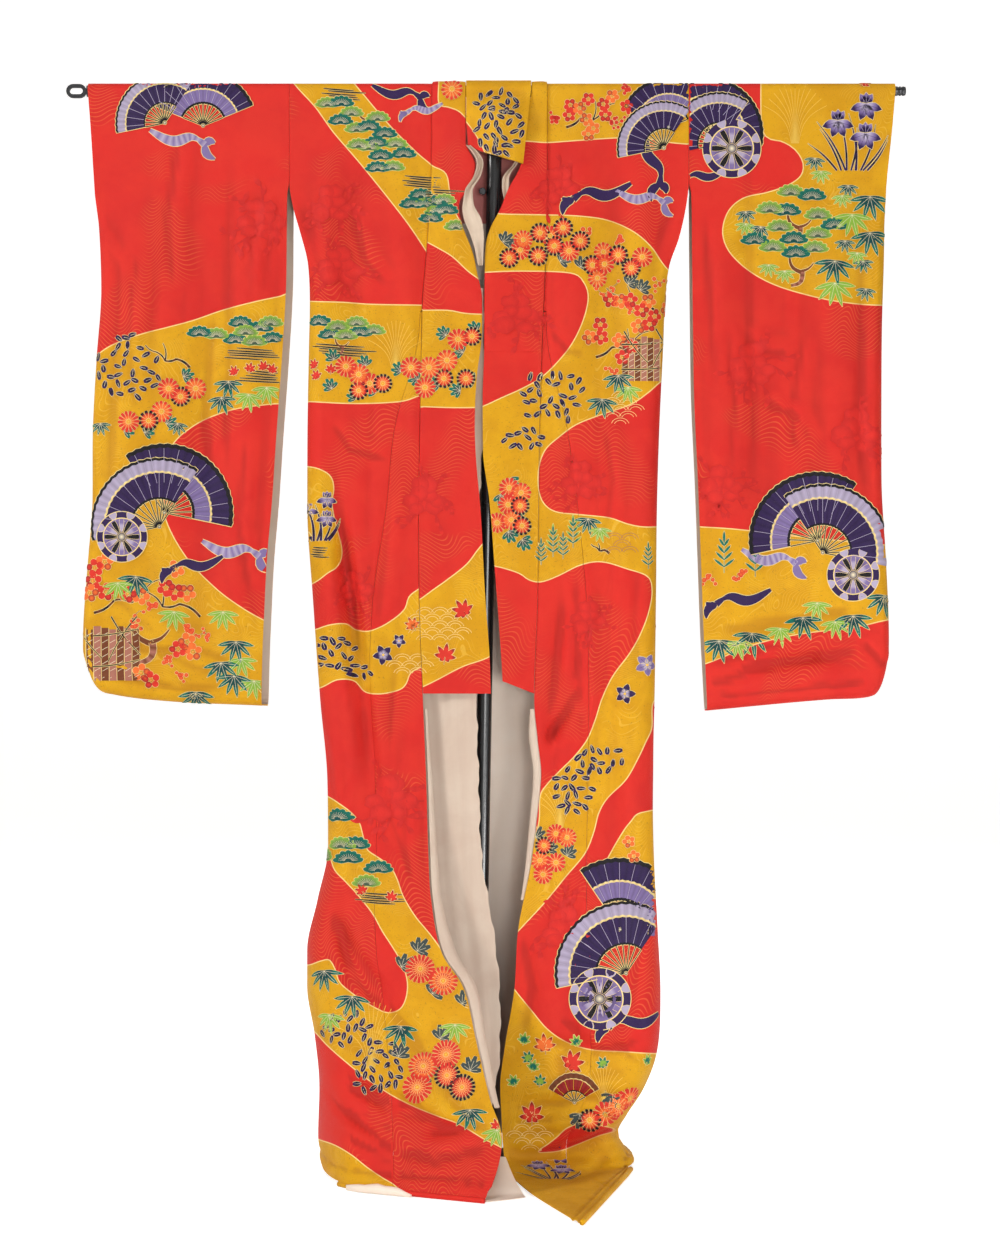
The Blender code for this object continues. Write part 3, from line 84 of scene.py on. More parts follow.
FRONT_ROWS = {
    LEFT: [
        FrontRow(ARC, -0.3182, 1.740, -0.0122, 0.006, -0.090, -0.0885, -0.0122, 1.740),
        FrontRow(0.090, -0.3182, 1.669, -0.0124, 0.006, -0.090, -0.0893, -0.0140, 1.669),
        FrontRow(0.168, -0.3182, 1.591, -0.0126, 0.006, -0.092, -0.0905, -0.0160, 1.591),
        FrontRow(0.196, -0.3150, 1.563, -0.0130, 0.006, -0.094, -0.0920, -0.0170, 1.563),
        FrontRow(0.247, -0.3012, 1.512, -0.0140, 0.008, -0.097, -0.0950, -0.0180, 1.512),
        FrontRow(0.300, -0.2885, 1.459, -0.0160, 0.014, -0.101, -0.0990, -0.0190, 1.459),
        FrontRow(0.360, -0.2865, 1.399, -0.0190, 0.020, -0.106, -0.1040, -0.0200, 1.399),
        FrontRow(0.430, -0.2880, 1.329, -0.0210, 0.024, -0.112, -0.1055, -0.0210, 1.329),
        FrontRow(0.560, -0.2905, 1.199, -0.0220, 0.026, -0.148, -0.1080, -0.0220, 1.199),
        FrontRow(0.690, -0.2910, 1.069, -0.0230, 0.026, -0.162, -0.1100, -0.0230, 1.069),
        FrontRow(0.834, -0.2820, 0.919, -0.0240, 0.026, -0.184, -0.1092, -0.0240, 0.919),
        FrontRow(0.996, -0.2705, 0.757, -0.0260, 0.026, -0.189, -0.1030, -0.0260, 0.757),
        FrontRow(1.126, -0.2590, 0.627, -0.0300, 0.026, -0.182, -0.0975, -0.0300, 0.627),
        FrontRow(1.236, -0.2580, 0.518, -0.0370, 0.028, -0.178, -0.0942, -0.0390, 0.520),
        FrontRow(1.320, -0.2750, 0.433, -0.0460, 0.032, -0.180, -0.0892, -0.0560, 0.440),
        FrontRow(1.403, -0.2920, 0.350, -0.0600, 0.036, -0.176, -0.0711, -0.0840, 0.356),
        FrontRow(1.460, -0.2920, 0.293, -0.0740, 0.042, -0.168, -0.0375, -0.1050, 0.306),
        FrontRow(1.537, -0.2800, 0.216, -0.0960, 0.050, -0.158, -0.0166, -0.1400, 0.226),
        FrontRow(1.625, -0.2720, 0.128, -0.1220, 0.056, -0.150, 0.0056, -0.1850, 0.142),
        FrontRow(1.700, -0.2740, 0.053, -0.1450, 0.060, -0.146, 0.0240, -0.2260, 0.086),
        FrontRow(1.738, -0.2700, 0.024, -0.1560, 0.062, -0.145, 0.0150, -0.2600, 0.043),
        FrontRow(1.765, -0.2680, 0.0105, -0.1630, 0.064, -0.145, -0.0005, -0.2800, 0.0105),
    ],
    RIGHT: [
        FrontRow(ARC, 0.3250, 1.740, -0.0122, 0.006, 0.098, 0.0972, -0.0122, 1.740),
        FrontRow(0.090, 0.3250, 1.669, -0.0124, 0.006, 0.098, 0.0972, -0.0140, 1.669),
        FrontRow(0.168, 0.3250, 1.591, -0.0126, 0.006, 0.098, 0.0972, -0.0160, 1.591),
        FrontRow(0.196, 0.3225, 1.563, -0.0130, 0.006, 0.098, 0.0970, -0.0170, 1.563),
        FrontRow(0.257, 0.3095, 1.502, -0.0140, 0.008, 0.097, 0.0962, -0.0180, 1.502),
        FrontRow(0.300, 0.2945, 1.459, -0.0160, 0.014, 0.096, 0.0945, -0.0190, 1.459),
        FrontRow(0.360, 0.2880, 1.399, -0.0190, 0.020, 0.095, 0.0920, -0.0200, 1.399),
        FrontRow(0.430, 0.2850, 1.329, -0.0210, 0.024, 0.098, 0.0890, -0.0210, 1.329),
        FrontRow(0.560, 0.2790, 1.199, -0.0220, 0.026, 0.128, 0.0850, -0.0220, 1.199),
        FrontRow(0.690, 0.2752, 1.069, -0.0230, 0.026, 0.146, 0.0832, -0.0230, 1.069),
        FrontRow(0.834, 0.2738, 0.919, -0.0240, 0.026, 0.160, 0.0815, -0.0240, 0.919),
        FrontRow(0.996, 0.2715, 0.757, -0.0270, 0.026, 0.164, 0.0760, -0.0265, 0.757),
        FrontRow(1.061, 0.2700, 0.692, -0.0285, 0.026, 0.164, 0.0818, -0.0275, 0.692),
        FrontRow(1.115, 0.2695, 0.638, -0.0300, 0.026, 0.163, 0.0872, -0.0290, 0.638),
        FrontRow(1.167, 0.2690, 0.586, -0.0320, 0.027, 0.162, 0.0826, -0.0310, 0.586),
        FrontRow(1.260, 0.2712, 0.493, -0.0370, 0.028, 0.160, 0.0705, -0.0370, 0.493),
        FrontRow(1.370, 0.2770, 0.383, -0.0480, 0.032, 0.161, 0.0499, -0.0450, 0.389),
        FrontRow(1.470, 0.2815, 0.283, -0.0640, 0.038, 0.166, 0.0435, -0.0510, 0.292),
        FrontRow(1.560, 0.2770, 0.193, -0.0880, 0.046, 0.166, 0.0290, -0.0550, 0.205),
        FrontRow(1.630, 0.2560, 0.132, -0.0980, 0.050, 0.160, 0.0212, -0.0580, 0.138),
        FrontRow(1.690, 0.2250, 0.082, -0.0860, 0.048, 0.140, 0.0232, -0.0600, 0.088),
        FrontRow(1.730, 0.2120, 0.052, -0.0560, 0.040, 0.128, 0.0250, -0.0620, 0.052),
        FrontRow(1.765, 0.2240, 0.028, -0.0440, 0.034, 0.128, 0.0285, -0.0700, 0.024),
        FrontRow(1.810, 0.2360, 0.014, -0.0400, 0.028, 0.136, 0.0370, -0.1120, 0.0115),
        FrontRow(1.880, 0.2375, 0.008, -0.0330, 0.022, 0.148, 0.0520, -0.1700, 0.0070),
        FrontRow(1.980, 0.2365, 0.0065, -0.0260, 0.018, 0.166, 0.0770, -0.2570, 0.0062),
        FrontRow(2.130, 0.2345, 0.0062, -0.0200, 0.016, 0.192, 0.1360, -0.4260, 0.0062),
    ],
}

OKUMI_START = 0.375  # the overlap panel's point, on the collar seam
COLLAR_END = 0.985
COVER_END = 0.440  # the cover strip's level seam

# The centre-back seam: depth and height of the back's inner edge, and the depth beside the side
# seam.

BackRow = namedtuple("BackRow", "s side_y centre_y centre_z")

BACK_ROWS = [
    BackRow(ARC, 0.0122, 0.0122, 1.740),
    BackRow(0.060, 0.0136, 0.0190, 1.699),
    BackRow(0.168, 0.0150, 0.0215, 1.591),
    BackRow(0.300, 0.0180, 0.0225, 1.459),
    BackRow(0.560, 0.0240, 0.0270, 1.199),
    BackRow(0.834, 0.0300, 0.0340, 0.919),
    BackRow(1.126, 0.0400, 0.0460, 0.630),
    BackRow(1.320, 0.0540, 0.0620, 0.440),
    BackRow(1.460, 0.0720, 0.0840, 0.302),
    BackRow(1.560, 0.0880, 0.1080, 0.205),
    BackRow(1.640, 0.1000, 0.1340, 0.128),
    BackRow(1.700, 0.1060, 0.1580, 0.072),
    BackRow(1.745, 0.1080, 0.1840, 0.034),
    BackRow(1.790, 0.1060, 0.2200, 0.0130),
    BackRow(1.860, 0.1000, 0.2860, 0.0062),
]
BACK_CURL = 0.034
NECK_DROP = 0.048  # the neck opening's depth below the shoulder line at the back
NECK_LEFT = -0.0336  # the neck piece lies between these two places on the rod
NECK_RIGHT = 0.0712
NECK_CLEARANCE = 0.0006

# A fold is a soft ridge (height > 0) or trough (height < 0) along a line from its top to its foot.

Fold = namedtuple("Fold", "top_x top_z foot_x foot_z width height")

FRONT_FOLDS = {
    LEFT: [
        Fold(-0.246, 1.150, -0.183, 0.560, 0.014, -0.0090),
        Fold(-0.272, 1.120, -0.205, 0.560, 0.018, 0.0075),
        Fold(-0.225, 0.860, -0.150, 0.480, 0.020, 0.0070),
        Fold(-0.150, 1.700, -0.110, 1.150, 0.022, 0.0040),
        Fold(-0.255, 1.640, -0.262, 1.300, 0.020, 0.0045),
        Fold(-0.205, 1.620, -0.215, 1.180, 0.022, -0.0040),
        Fold(-0.130, 0.690, -0.112, 0.400, 0.018, 0.0060),
        Fold(-0.275, 0.520, -0.060, 0.230, 0.030, 0.0100),
        Fold(-0.268, 0.430, -0.080, 0.160, 0.018, -0.0080),
        Fold(-0.245, 0.170, -0.100, 0.128, 0.012, -0.0060),
        Fold(-0.250, 0.200, -0.085, 0.155, 0.014, 0.0060),
        Fold(-0.215, 0.110, -0.215, 0.020, 0.024, 0.0120),
    ],
    RIGHT: [
        Fold(0.147, 1.010, 0.146, 0.560, 0.014, 0.0065),
        Fold(0.120, 0.960, 0.108, 0.620, 0.013, -0.0050),
        Fold(0.150, 0.770, 0.096, 0.680, 0.012, -0.0050),
        Fold(0.250, 1.620, 0.250, 1.300, 0.020, 0.0045),
        Fold(0.200, 1.640, 0.215, 1.150, 0.022, -0.0040),
        Fold(0.150, 1.700, 0.135, 1.200, 0.022, 0.0040),
        Fold(0.226, 1.050, 0.232, 0.480, 0.018, 0.0060),
        Fold(0.190, 0.900, 0.205, 0.420, 0.016, -0.0055),
        Fold(0.238, 0.470, 0.150, 0.200, 0.026, 0.0110),
        Fold(0.120, 0.400, 0.095, 0.180, 0.026, 0.0090),
        Fold(0.180, 0.330, 0.110, 0.140, 0.016, -0.0070),
    ],
}

BACK_FOLDS = [
    Fold(-0.240, 1.660, -0.225, 0.250, 0.030, 0.0090),
    Fold(-0.160, 1.350, -0.150, 0.080, 0.030, -0.0090),
    Fold(-0.085, 1.640, -0.080, 0.120, 0.030, 0.0085),
    Fold(0.075, 1.580, 0.072, 0.100, 0.030, 0.0090),
    Fold(0.155, 1.250, 0.142, 0.080, 0.030, -0.0080),
    Fold(0.235, 1.620, 0.215, 0.200, 0.030, 0.0085),
]

# ---- collar -----------------------------------------------------------------
# The collar's free edge; its other edge is the collar seam of the front.

CollarRow = namedtuple("CollarRow", "s free_x free_y")

COLLAR_ROWS = {
    LEFT: [
        CollarRow(ARC, -0.0342, -0.0143),
        CollarRow(0.080, -0.0342, -0.0180),
        CollarRow(0.105, -0.0342, -0.0205),
        CollarRow(0.116, -0.0300, -0.0220),
        CollarRow(0.141, -0.0185, -0.0240),
        CollarRow(0.173, -0.0262, -0.0255),
        CollarRow(0.207, -0.0452, -0.0265),
        CollarRow(0.235, -0.0405, -0.0265),
        CollarRow(0.282, -0.0228, -0.0260),
        CollarRow(0.319, -0.0146, -0.0260),
        CollarRow(0.357, -0.0076, -0.0265),
        CollarRow(0.410, -0.0080, -0.0270),
        CollarRow(0.485, -0.0165, -0.0280),
        CollarRow(0.560, -0.0196, -0.0280),
        CollarRow(0.610, -0.0178, -0.0280),
        CollarRow(0.700, -0.0100, -0.0285),
        CollarRow(0.820, -0.0034, -0.0290),
        CollarRow(0.930, 0.0045, -0.0300),
        CollarRow(COLLAR_END, 0.0062, -0.0310),
    ],
    RIGHT: [
        CollarRow(ARC, 0.0718, -0.0143),
        CollarRow(0.032, 0.0706, -0.0145),
        CollarRow(0.045, 0.0655, -0.0150),
        CollarRow(0.060, 0.0600, -0.0160),
        CollarRow(0.104, 0.0575, -0.0175),
        CollarRow(0.141, 0.0540, -0.0185),
        CollarRow(0.180, 0.0340, -0.0200),
        CollarRow(0.212, 0.0212, -0.0225),
        CollarRow(0.242, 0.0056, -0.0240),
        CollarRow(0.268, -0.0016, -0.0250),
        CollarRow(0.312, -0.0036, -0.0260),
        CollarRow(0.445, -0.0046, -0.0270),
        CollarRow(0.520, -0.0070, -0.0275),
        CollarRow(0.600, -0.0064, -0.0280),
        CollarRow(0.680, 0.0038, -0.0280),
        CollarRow(0.780, 0.0120, -0.0285),
        CollarRow(0.900, 0.0210, -0.0300),
        CollarRow(COLLAR_END, 0.0250, -0.0310),
    ],
}
COLLAR_WIDTH = 0.100
COLLAR_BOTTOM_SLOPE = {LEFT: 0.0, RIGHT: 0.020}  # the right collar's foot is cut on the slant

NECK_RADIUS = 0.0172  # outer face of the neck piece over the rod
NECK_CLOTH = 0.0034
NECK_BACK = 0.030
NECK_SWING = 0.0140  # how far the flap stands away from the rod
NECK_TAPER = 0.0130  # how far its right edge leans in at the foot

NeckFoot = namedtuple("NeckFoot", "t drop")

NECK_FOOT = [
    NeckFoot(0.00, 0.0880),
    NeckFoot(0.28, 0.1020),
    NeckFoot(0.50, 0.1080),
    NeckFoot(1.00, 0.1210),
]
NECK_FRONT = NECK_FOOT[-1].drop

# ---- sleeves ----------------------------------------------------------------

SleeveRow = namedtuple("SleeveRow", "z outer_x inner_x depth")

SLEEVE_ROWS = {
    LEFT: [
        SleeveRow(1.740, -0.6430, -0.3186, 0.0122),
        SleeveRow(1.680, -0.6385, -0.3186, 0.0122),
        SleeveRow(1.591, -0.6330, -0.3186, 0.0126),
        SleeveRow(1.575, -0.6320, -0.3215, 0.0128),
        SleeveRow(1.521, -0.6270, -0.3225, 0.0136),
        SleeveRow(1.421, -0.6235, -0.3238, 0.0150),
        SleeveRow(1.307, -0.6315, -0.3305, 0.0160),
        SleeveRow(1.178, -0.6380, -0.3400, 0.0165),
        SleeveRow(1.081, -0.6385, -0.3465, 0.0170),
        SleeveRow(0.983, -0.6460, -0.3550, 0.0180),
        SleeveRow(0.886, -0.6535, -0.3600, 0.0190),
        SleeveRow(0.840, -0.6545, -0.3620, 0.0190),
        SleeveRow(0.800, -0.6440, -0.3632, 0.0180),
        SleeveRow(0.747, -0.6260, -0.3645, 0.0150),
    ],
    RIGHT: [
        SleeveRow(1.740, 0.6580, 0.3254, 0.0122),
        SleeveRow(1.680, 0.6530, 0.3254, 0.0122),
        SleeveRow(1.591, 0.6440, 0.3254, 0.0126),
        SleeveRow(1.575, 0.6430, 0.3290, 0.0128),
        SleeveRow(1.469, 0.6415, 0.3305, 0.0145),
        SleeveRow(1.356, 0.6385, 0.3320, 0.0155),
        SleeveRow(1.243, 0.6380, 0.3340, 0.0160),
        SleeveRow(1.113, 0.6385, 0.3400, 0.0165),
        SleeveRow(0.983, 0.6460, 0.3450, 0.0180),
        SleeveRow(0.854, 0.6510, 0.3500, 0.0195),
        SleeveRow(0.810, 0.6470, 0.3525, 0.0190),
        SleeveRow(0.740, 0.6270, 0.3560, 0.0150),
    ],
}

SleeveFoot = namedtuple("SleeveFoot", "t z")

SLEEVE_FOOT = {
    LEFT: [
        SleeveFoot(0.00, 0.7980),
        SleeveFoot(0.08, 0.7740),
        SleeveFoot(0.18, 0.7650),
        SleeveFoot(0.42, 0.7555),
        SleeveFoot(1.00, 0.7470),
    ],
    RIGHT: [
        SleeveFoot(0.00, 0.7900),
        SleeveFoot(0.06, 0.7690),
        SleeveFoot(0.14, 0.7610),
        SleeveFoot(0.35, 0.7570),
        SleeveFoot(1.00, 0.7390),
    ],
}
WRIST_FROM = 1.575  # the wrist opening closes between these two heights
WRIST_BY = 1.515
SLEEVE_CURL = 0.016
FOOT_SHARE = 0.020  # share of the drop that turns round the sewn foot
ROD_SHARE = ARC / (ARC + 1.0)  # share of a sleeve's length that lies on the rod
BACK_LAYER_SHIFT = {LEFT: 0.0090, RIGHT: -0.0030}  # how far the back wall shows past the front wall

SLEEVE_FOLDS = {
    LEFT: [
        Fold(-0.370, 1.560, -0.400, 0.900, 0.026, 0.0060),
        Fold(-0.440, 1.300, -0.470, 0.800, 0.030, -0.0050),
        Fold(-0.560, 1.600, -0.585, 0.900, 0.030, 0.0055),
        Fold(-0.505, 1.700, -0.520, 1.000, 0.028, 0.0040),
        Fold(-0.600, 0.905, -0.430, 0.815, 0.018, 0.0040),
    ],
    RIGHT: [
        Fold(0.375, 1.540, 0.398, 0.900, 0.026, 0.0060),
        Fold(0.450, 1.350, 0.470, 0.880, 0.030, -0.0050),
        Fold(0.560, 1.620, 0.575, 0.950, 0.030, 0.0055),
        Fold(0.380, 0.845, 0.610, 0.870, 0.014, 0.0050),
        Fold(0.390, 0.810, 0.600, 0.835, 0.012, -0.0050),
        Fold(0.400, 0.785, 0.610, 0.800, 0.012, 0.0050),
    ],
}

# ---- linings, ribbons and hem -----------------------------------------------

LiningFoldRow = namedtuple("LiningFoldRow", "z rear_x rear_y fold_x fold_y")

LINING_FOLD_ROWS = [
    LiningFoldRow(1.420, -0.0450, -0.0206, -0.0052, -0.0222),
    LiningFoldRow(1.240, -0.0700, -0.0050, -0.0048, -0.0182),
    LiningFoldRow(1.080, -0.0980, -0.0040, -0.0120, -0.0182),
    LiningFoldRow(0.900, -0.1080, -0.0040, -0.0165, -0.0182),
    LiningFoldRow(0.757, -0.1120, -0.0050, -0.0165, -0.0182),
    LiningFoldRow(0.620, -0.1120, -0.0080, -0.0130, -0.0190),
    LiningFoldRow(0.500, -0.1120, -0.0140, -0.0080, -0.0210),
    LiningFoldRow(0.389, -0.1100, -0.0240, 0.0100, -0.0260),
    LiningFoldRow(0.301, -0.0900, -0.0420, 0.0200, -0.0420),
    LiningFoldRow(0.216, -0.0650, -0.0680, 0.0215, -0.0620),
    LiningFoldRow(0.150, -0.0420, -0.0950, 0.0150, -0.0840),
    LiningFoldRow(0.105, -0.0250, -0.1150, 0.0040, -0.1040),
]

LiningHemRow = namedtuple("LiningHemRow", "y left_x right_x z")

LINING_HEM_ROWS = [
    LiningHemRow(-0.1250, 0.0060, 0.0300, 0.0400),
    LiningHemRow(-0.1550, 0.0060, 0.0360, 0.0330),
    LiningHemRow(-0.1900, 0.0020, 0.0440, 0.0240),
    LiningHemRow(-0.2200, -0.0040, 0.0540, 0.0130),
    LiningHemRow(-0.2380, -0.0050, 0.0600, 0.0040),
    LiningHemRow(-0.2600, -0.0090, 0.0300, 0.0030),
    LiningHemRow(-0.2740, -0.0120, -0.0030, 0.0024),
]

RibbonRow = namedtuple("RibbonRow", "x z y half_width twist")

RIBBON_ROWS = {
    LEFT: [
        RibbonRow(-0.0300, 1.6490, -0.0250, 0.0040, 5.0),
        RibbonRow(-0.0185, 1.6370, -0.0270, 0.0055, 10.0),
        RibbonRow(-0.0110, 1.6200, -0.0290, 0.0060, 25.0),
        RibbonRow(-0.0160, 1.5980, -0.0290, 0.0060, 20.0),
        RibbonRow(-0.0290, 1.5760, -0.0285, 0.0065, 10.0),
        RibbonRow(-0.0300, 1.5540, -0.0290, 0.0090, -5.0),
        RibbonRow(-0.0230, 1.5300, -0.0290, 0.0140, -10.0),
        RibbonRow(-0.0160, 1.5060, -0.0290, 0.0110, -8.0),
        RibbonRow(-0.0125, 1.4820, -0.0290, 0.0070, -5.0),
        RibbonRow(-0.0105, 1.4560, -0.0290, 0.0040, 0.0),
    ],
    RIGHT: [
        RibbonRow(0.0508, 1.6320, -0.0165, 0.0040, -20.0),
        RibbonRow(0.0440, 1.6180, -0.0140, 0.0040, -30.0),
        RibbonRow(0.0360, 1.6090, -0.0140, 0.0055, -35.0),
        RibbonRow(0.0300, 1.5960, -0.0140, 0.0060, -20.0),
        RibbonRow(0.0300, 1.5800, -0.0140, 0.0055, 0.0),
        RibbonRow(0.0310, 1.5640, -0.0140, 0.0035, 5.0),
    ],
}
RIBBON_CLOTH = 0.0010

FacingRow = namedtuple("FacingRow", "s width")

FACING_ROWS = {
    LEFT: [
        FacingRow(1.010, 0.0030),
        FacingRow(1.120, 0.0060),
        FacingRow(1.240, 0.0110),
        FacingRow(1.330, 0.0140),
        FacingRow(1.400, 0.0200),
        FacingRow(1.450, 0.0180),
        FacingRow(1.540, 0.0120),
        FacingRow(1.640, 0.0080),
    ],
    RIGHT: [
        FacingRow(1.010, 0.0060),
        FacingRow(1.060, 0.0130),
        FacingRow(1.120, 0.0120),
        FacingRow(1.240, 0.0090),
        FacingRow(1.320, 0.0040),
    ],
}
FACING_CLOTH = 0.0024
FACING_START = {LEFT: 0.0029, RIGHT: 0.0006}  # clear of the front's slanting rim

HEM_ROLL_RADIUS = 0.0045

# ---- shapes of the cloth ----------------------------------------------------


def smoothstep(value, low, high):
    share = np.clip((value - low) / (high - low), 0.0, 1.0)
    return share * share * (3.0 - 2.0 * share)


def mix(low, high, share):
    return low + (high - low) * share


def column(rows, name, at):
    """A column as a smooth curve of the table's first column, with no overshoot between rows."""
    keys = np.array([row[0] for row in rows])
    values = np.array([getattr(row, name) for row in rows])
    if keys[0] > keys[-1]:
        keys, values = keys[::-1], values[::-1]
    steps = np.diff(keys)
    slopes = np.diff(values) / steps
    tangents = np.concatenate(([slopes[0]], (slopes[:-1] + slopes[1:]) / 2, [slopes[-1]]))
    turning = slopes[:-1] * slopes[1:] <= 0
    tangents[1:-1][turning] = 0.0
    limit = 3 * np.minimum(np.abs(slopes[:-1]), np.abs(slopes[1:]))
    tangents[1:-1] = np.clip(tangents[1:-1], -limit, limit)
    at = np.clip(at, keys[0], keys[-1])
    index = np.clip(np.searchsorted(keys, at, side="right") - 1, 0, len(keys) - 2)
    step = steps[index]
    share = (at - keys[index]) / step
    return (
        (2 * share**3 - 3 * share**2 + 1) * values[index]
        + (share**3 - 2 * share**2 + share) * step * tangents[index]
        + (3 * share**2 - 2 * share**3) * values[index + 1]
        + (share**3 - share**2) * step * tangents[index + 1]
    )


def column_by_z(rows, name, z):
    Keyed = namedtuple("Keyed", "z value")
    return column([Keyed(row.z, getattr(row, name)) for row in rows], "value", z)


def fold_relief(folds, x, z):
    """Height of all the folds at a place on the cloth, seen square on."""
    relief = np.zeros(np.broadcast(x, z).shape)
    for fold in folds:
        run_x = fold.foot_x - fold.top_x
        run_z = fold.foot_z - fold.top_z
        length = math.hypot(run_x, run_z)
        along = ((x - fold.top_x) * run_x + (z - fold.top_z) * run_z) / length**2
        aside = ((x - fold.top_x) * run_z - (z - fold.top_z) * run_x) / length
        ends = smoothstep(along, -0.05, 0.25) * (1.0 - smoothstep(along, 0.75, 1.05))
        relief = relief + fold.height * np.exp(-((aside / fold.width) ** 2)) * ends
    return relief


FLOOR_FADE = (0.010, 0.060)  # the folds grow between these two heights above the floor
ROD_FADE = (0.05, 0.14)  # and between these two distances down the cloth


def fold_strength(s, z):
    return smoothstep(z, *FLOOR_FADE) * smoothstep(s, *ROD_FADE)


def hang_over_rod(s, y, z, radius, facing):
    """Cloth points whose first stretch lies on the rod; below it they keep their own places."""
    angle = np.clip(s, 0.0, ARC) / ARC * (math.pi / 2)
    on_rod = s < ARC
    y = np.where(on_rod, facing * radius * np.sin(angle), y)
    z = np.where(on_rod, ROD_Z + radius * np.cos(angle), z)
    return y + facing * GAP / 2, z


def across(side_x, edge_x, curl, t):
    """Place across a panel: the first share of t turns round the sewn edge, the rest is even."""
    turn = np.clip(t / CURL_SHARE, 0.0, 1.0) * (math.pi / 2)
    straight = np.clip((t - CURL_SHARE) / (1.0 - CURL_SHARE), 0.0, None)
    inward = np.sign(edge_x - side_x)
    start = side_x + inward * curl
    x = side_x + inward * curl * (1.0 - np.cos(turn))
    x = x + (edge_x - start) * straight
    return x, np.sin(turn)


def front_surface(side):
    rows = FRONT_ROWS[side]

    def surface(s, t):
        side_x = column(rows, "side_x", s)
        edge_x = column(rows, "edge_x", s)
        x, turned = across(side_x, edge_x, column(rows, "curl", s), t)
        share = (x - side_x) / (edge_x - side_x)
        z = mix(column(rows, "side_z", s), column(rows, "edge_z", s), share)
        y = mix(column(rows, "side_y", s), column(rows, "edge_y", s), share)
        sewn = smoothstep(s, SEWN_FROM, SEWN_BY)
        relief = fold_relief(FRONT_FOLDS[side], x, z) * fold_strength(s, z)
        y = (y - relief * smoothstep(turned, 0.0, 1.0)) * mix(1.0, turned, sewn)
        y, z = hang_over_rod(s, y, z, DRAPE_RADIUS, FRONT)
        return np.stack(np.broadcast_arrays(x, y, z), axis=-1)

    return surface


def okumi_t(side, s):
    """Where the overlap panel's seam lies across the front, as a t."""
    rows = FRONT_ROWS[side]
    side_x = column(rows, "side_x", s)
    edge_x = column(rows, "edge_x", s)
    start = side_x + np.sign(edge_x - side_x) * column(rows, "curl", s)
    share = (column(rows, "okumi_x", s) - start) / (edge_x - start)
    return CURL_SHARE + (1.0 - CURL_SHARE) * share


def half_gap_t(side, s):
    """Half a seam's daylight, as a t."""
    rows = FRONT_ROWS[side]
    width = np.hypot(
        column(rows, "edge_x", s) - column(rows, "side_x", s),
        column(rows, "edge_y", s) - column(rows, "side_y", s),
    )
    return 0.75 * GAP / width * (1.0 - CURL_SHARE)


BACK_FLOOR_FROM = 1.700  # the back begins to lie out on the floor this far down the cloth
TOP_CURL = 0.006  # the back's turn round its side edge, above the sewn part of the seam


def back_surface(side):
    rows = FRONT_ROWS[side]
    last_s = BACK_ROWS[-1].s
    front_last = rows[-1].s

    def surface(s, t):
        past = (s - BACK_FLOOR_FROM) * (front_last - BACK_FLOOR_FROM) / (last_s - BACK_FLOOR_FROM)
        seam_s = np.where(s < BACK_FLOOR_FROM, s, BACK_FLOOR_FROM + past)
        side_x = column(rows, "side_x", seam_s)
        side_z = column(rows, "side_z", seam_s)
        sewn = smoothstep(s, SEWN_FROM, SEWN_BY)
        x, turned = across(side_x, CENTRE_X, mix(TOP_CURL, BACK_CURL, sewn), t)
        share = (x - side_x) / (CENTRE_X - side_x)
        z = mix(side_z, column(BACK_ROWS, "centre_z", s), smoothstep(share, 0.0, 0.8))
        # level at the centre seam, so that both halves meet there
        rounded = 1.0 - (1.0 - share) ** 2
        y = mix(column(BACK_ROWS, "side_y", s), column(BACK_ROWS, "centre_y", s), rounded)
        relief = fold_relief(BACK_FOLDS, x, z) * fold_strength(s, z)
        y = (y + relief * smoothstep(turned, 0.0, 1.0)) * mix(1.0, turned, sewn)
        y, z = hang_over_rod(s, y, z, DRAPE_RADIUS, BACK)
        return np.stack(np.broadcast_arrays(x, y, z), axis=-1)

    return surface


def collar_surface(side, lift=0.0):
    """From the collar seam (t = 0) to the free edge (t = 1); lift moves the whole face outward."""
    front = front_surface(side)
    rows = COLLAR_ROWS[side]

    def surface(s, t):
        seam = front(s, np.ones_like(s))
        free_x = column(rows, "free_x", s)
        free_y = column(rows, "free_y", s)
        x = mix(seam[..., 0], free_x, t)
        seam_y = seam[..., 1] - COLLAR_RISE
        y = mix(seam_y, free_y, smoothstep(t, 0.0, 1.0)) - lift
        foot = smoothstep(s, COLLAR_END - 0.10, COLLAR_END)
        z = seam[..., 2] + COLLAR_BOTTOM_SLOPE[side] * t * foot
        radius = DRAPE_RADIUS + COLLAR_RISE + lift
        y, z = hang_over_rod(s, y, z, radius, FRONT)
        return np.stack(np.broadcast_arrays(x, y, z), axis=-1)

    return surface


def neck_surface(s, t):
    """Over the rod: s is 0 on top of it, negative at the back, positive down the front flap."""
    arc = NECK_RADIUS * math.pi / 2
    angle = np.clip(s, -arc, arc) / NECK_RADIUS
    below = np.clip(np.abs(s) - arc, 0.0, None)
    flap = np.where(s > 0, below / NECK_FRONT, 0.0)
    x = mix(NECK_LEFT, NECK_RIGHT - NECK_TAPER * flap, t)
    swing = NECK_SWING * smoothstep(flap, 0.0, 0.45) * np.sin(math.pi * (0.08 + 0.55 * t))
    y = -NECK_RADIUS * np.sin(angle) - swing
    drop = np.where(s > 0, flap * column(NECK_FOOT, "drop", t), below)
    z = ROD_Z + NECK_RADIUS * np.cos(angle) - drop
    return np.stack(np.broadcast_arrays(x, y, z), axis=-1)


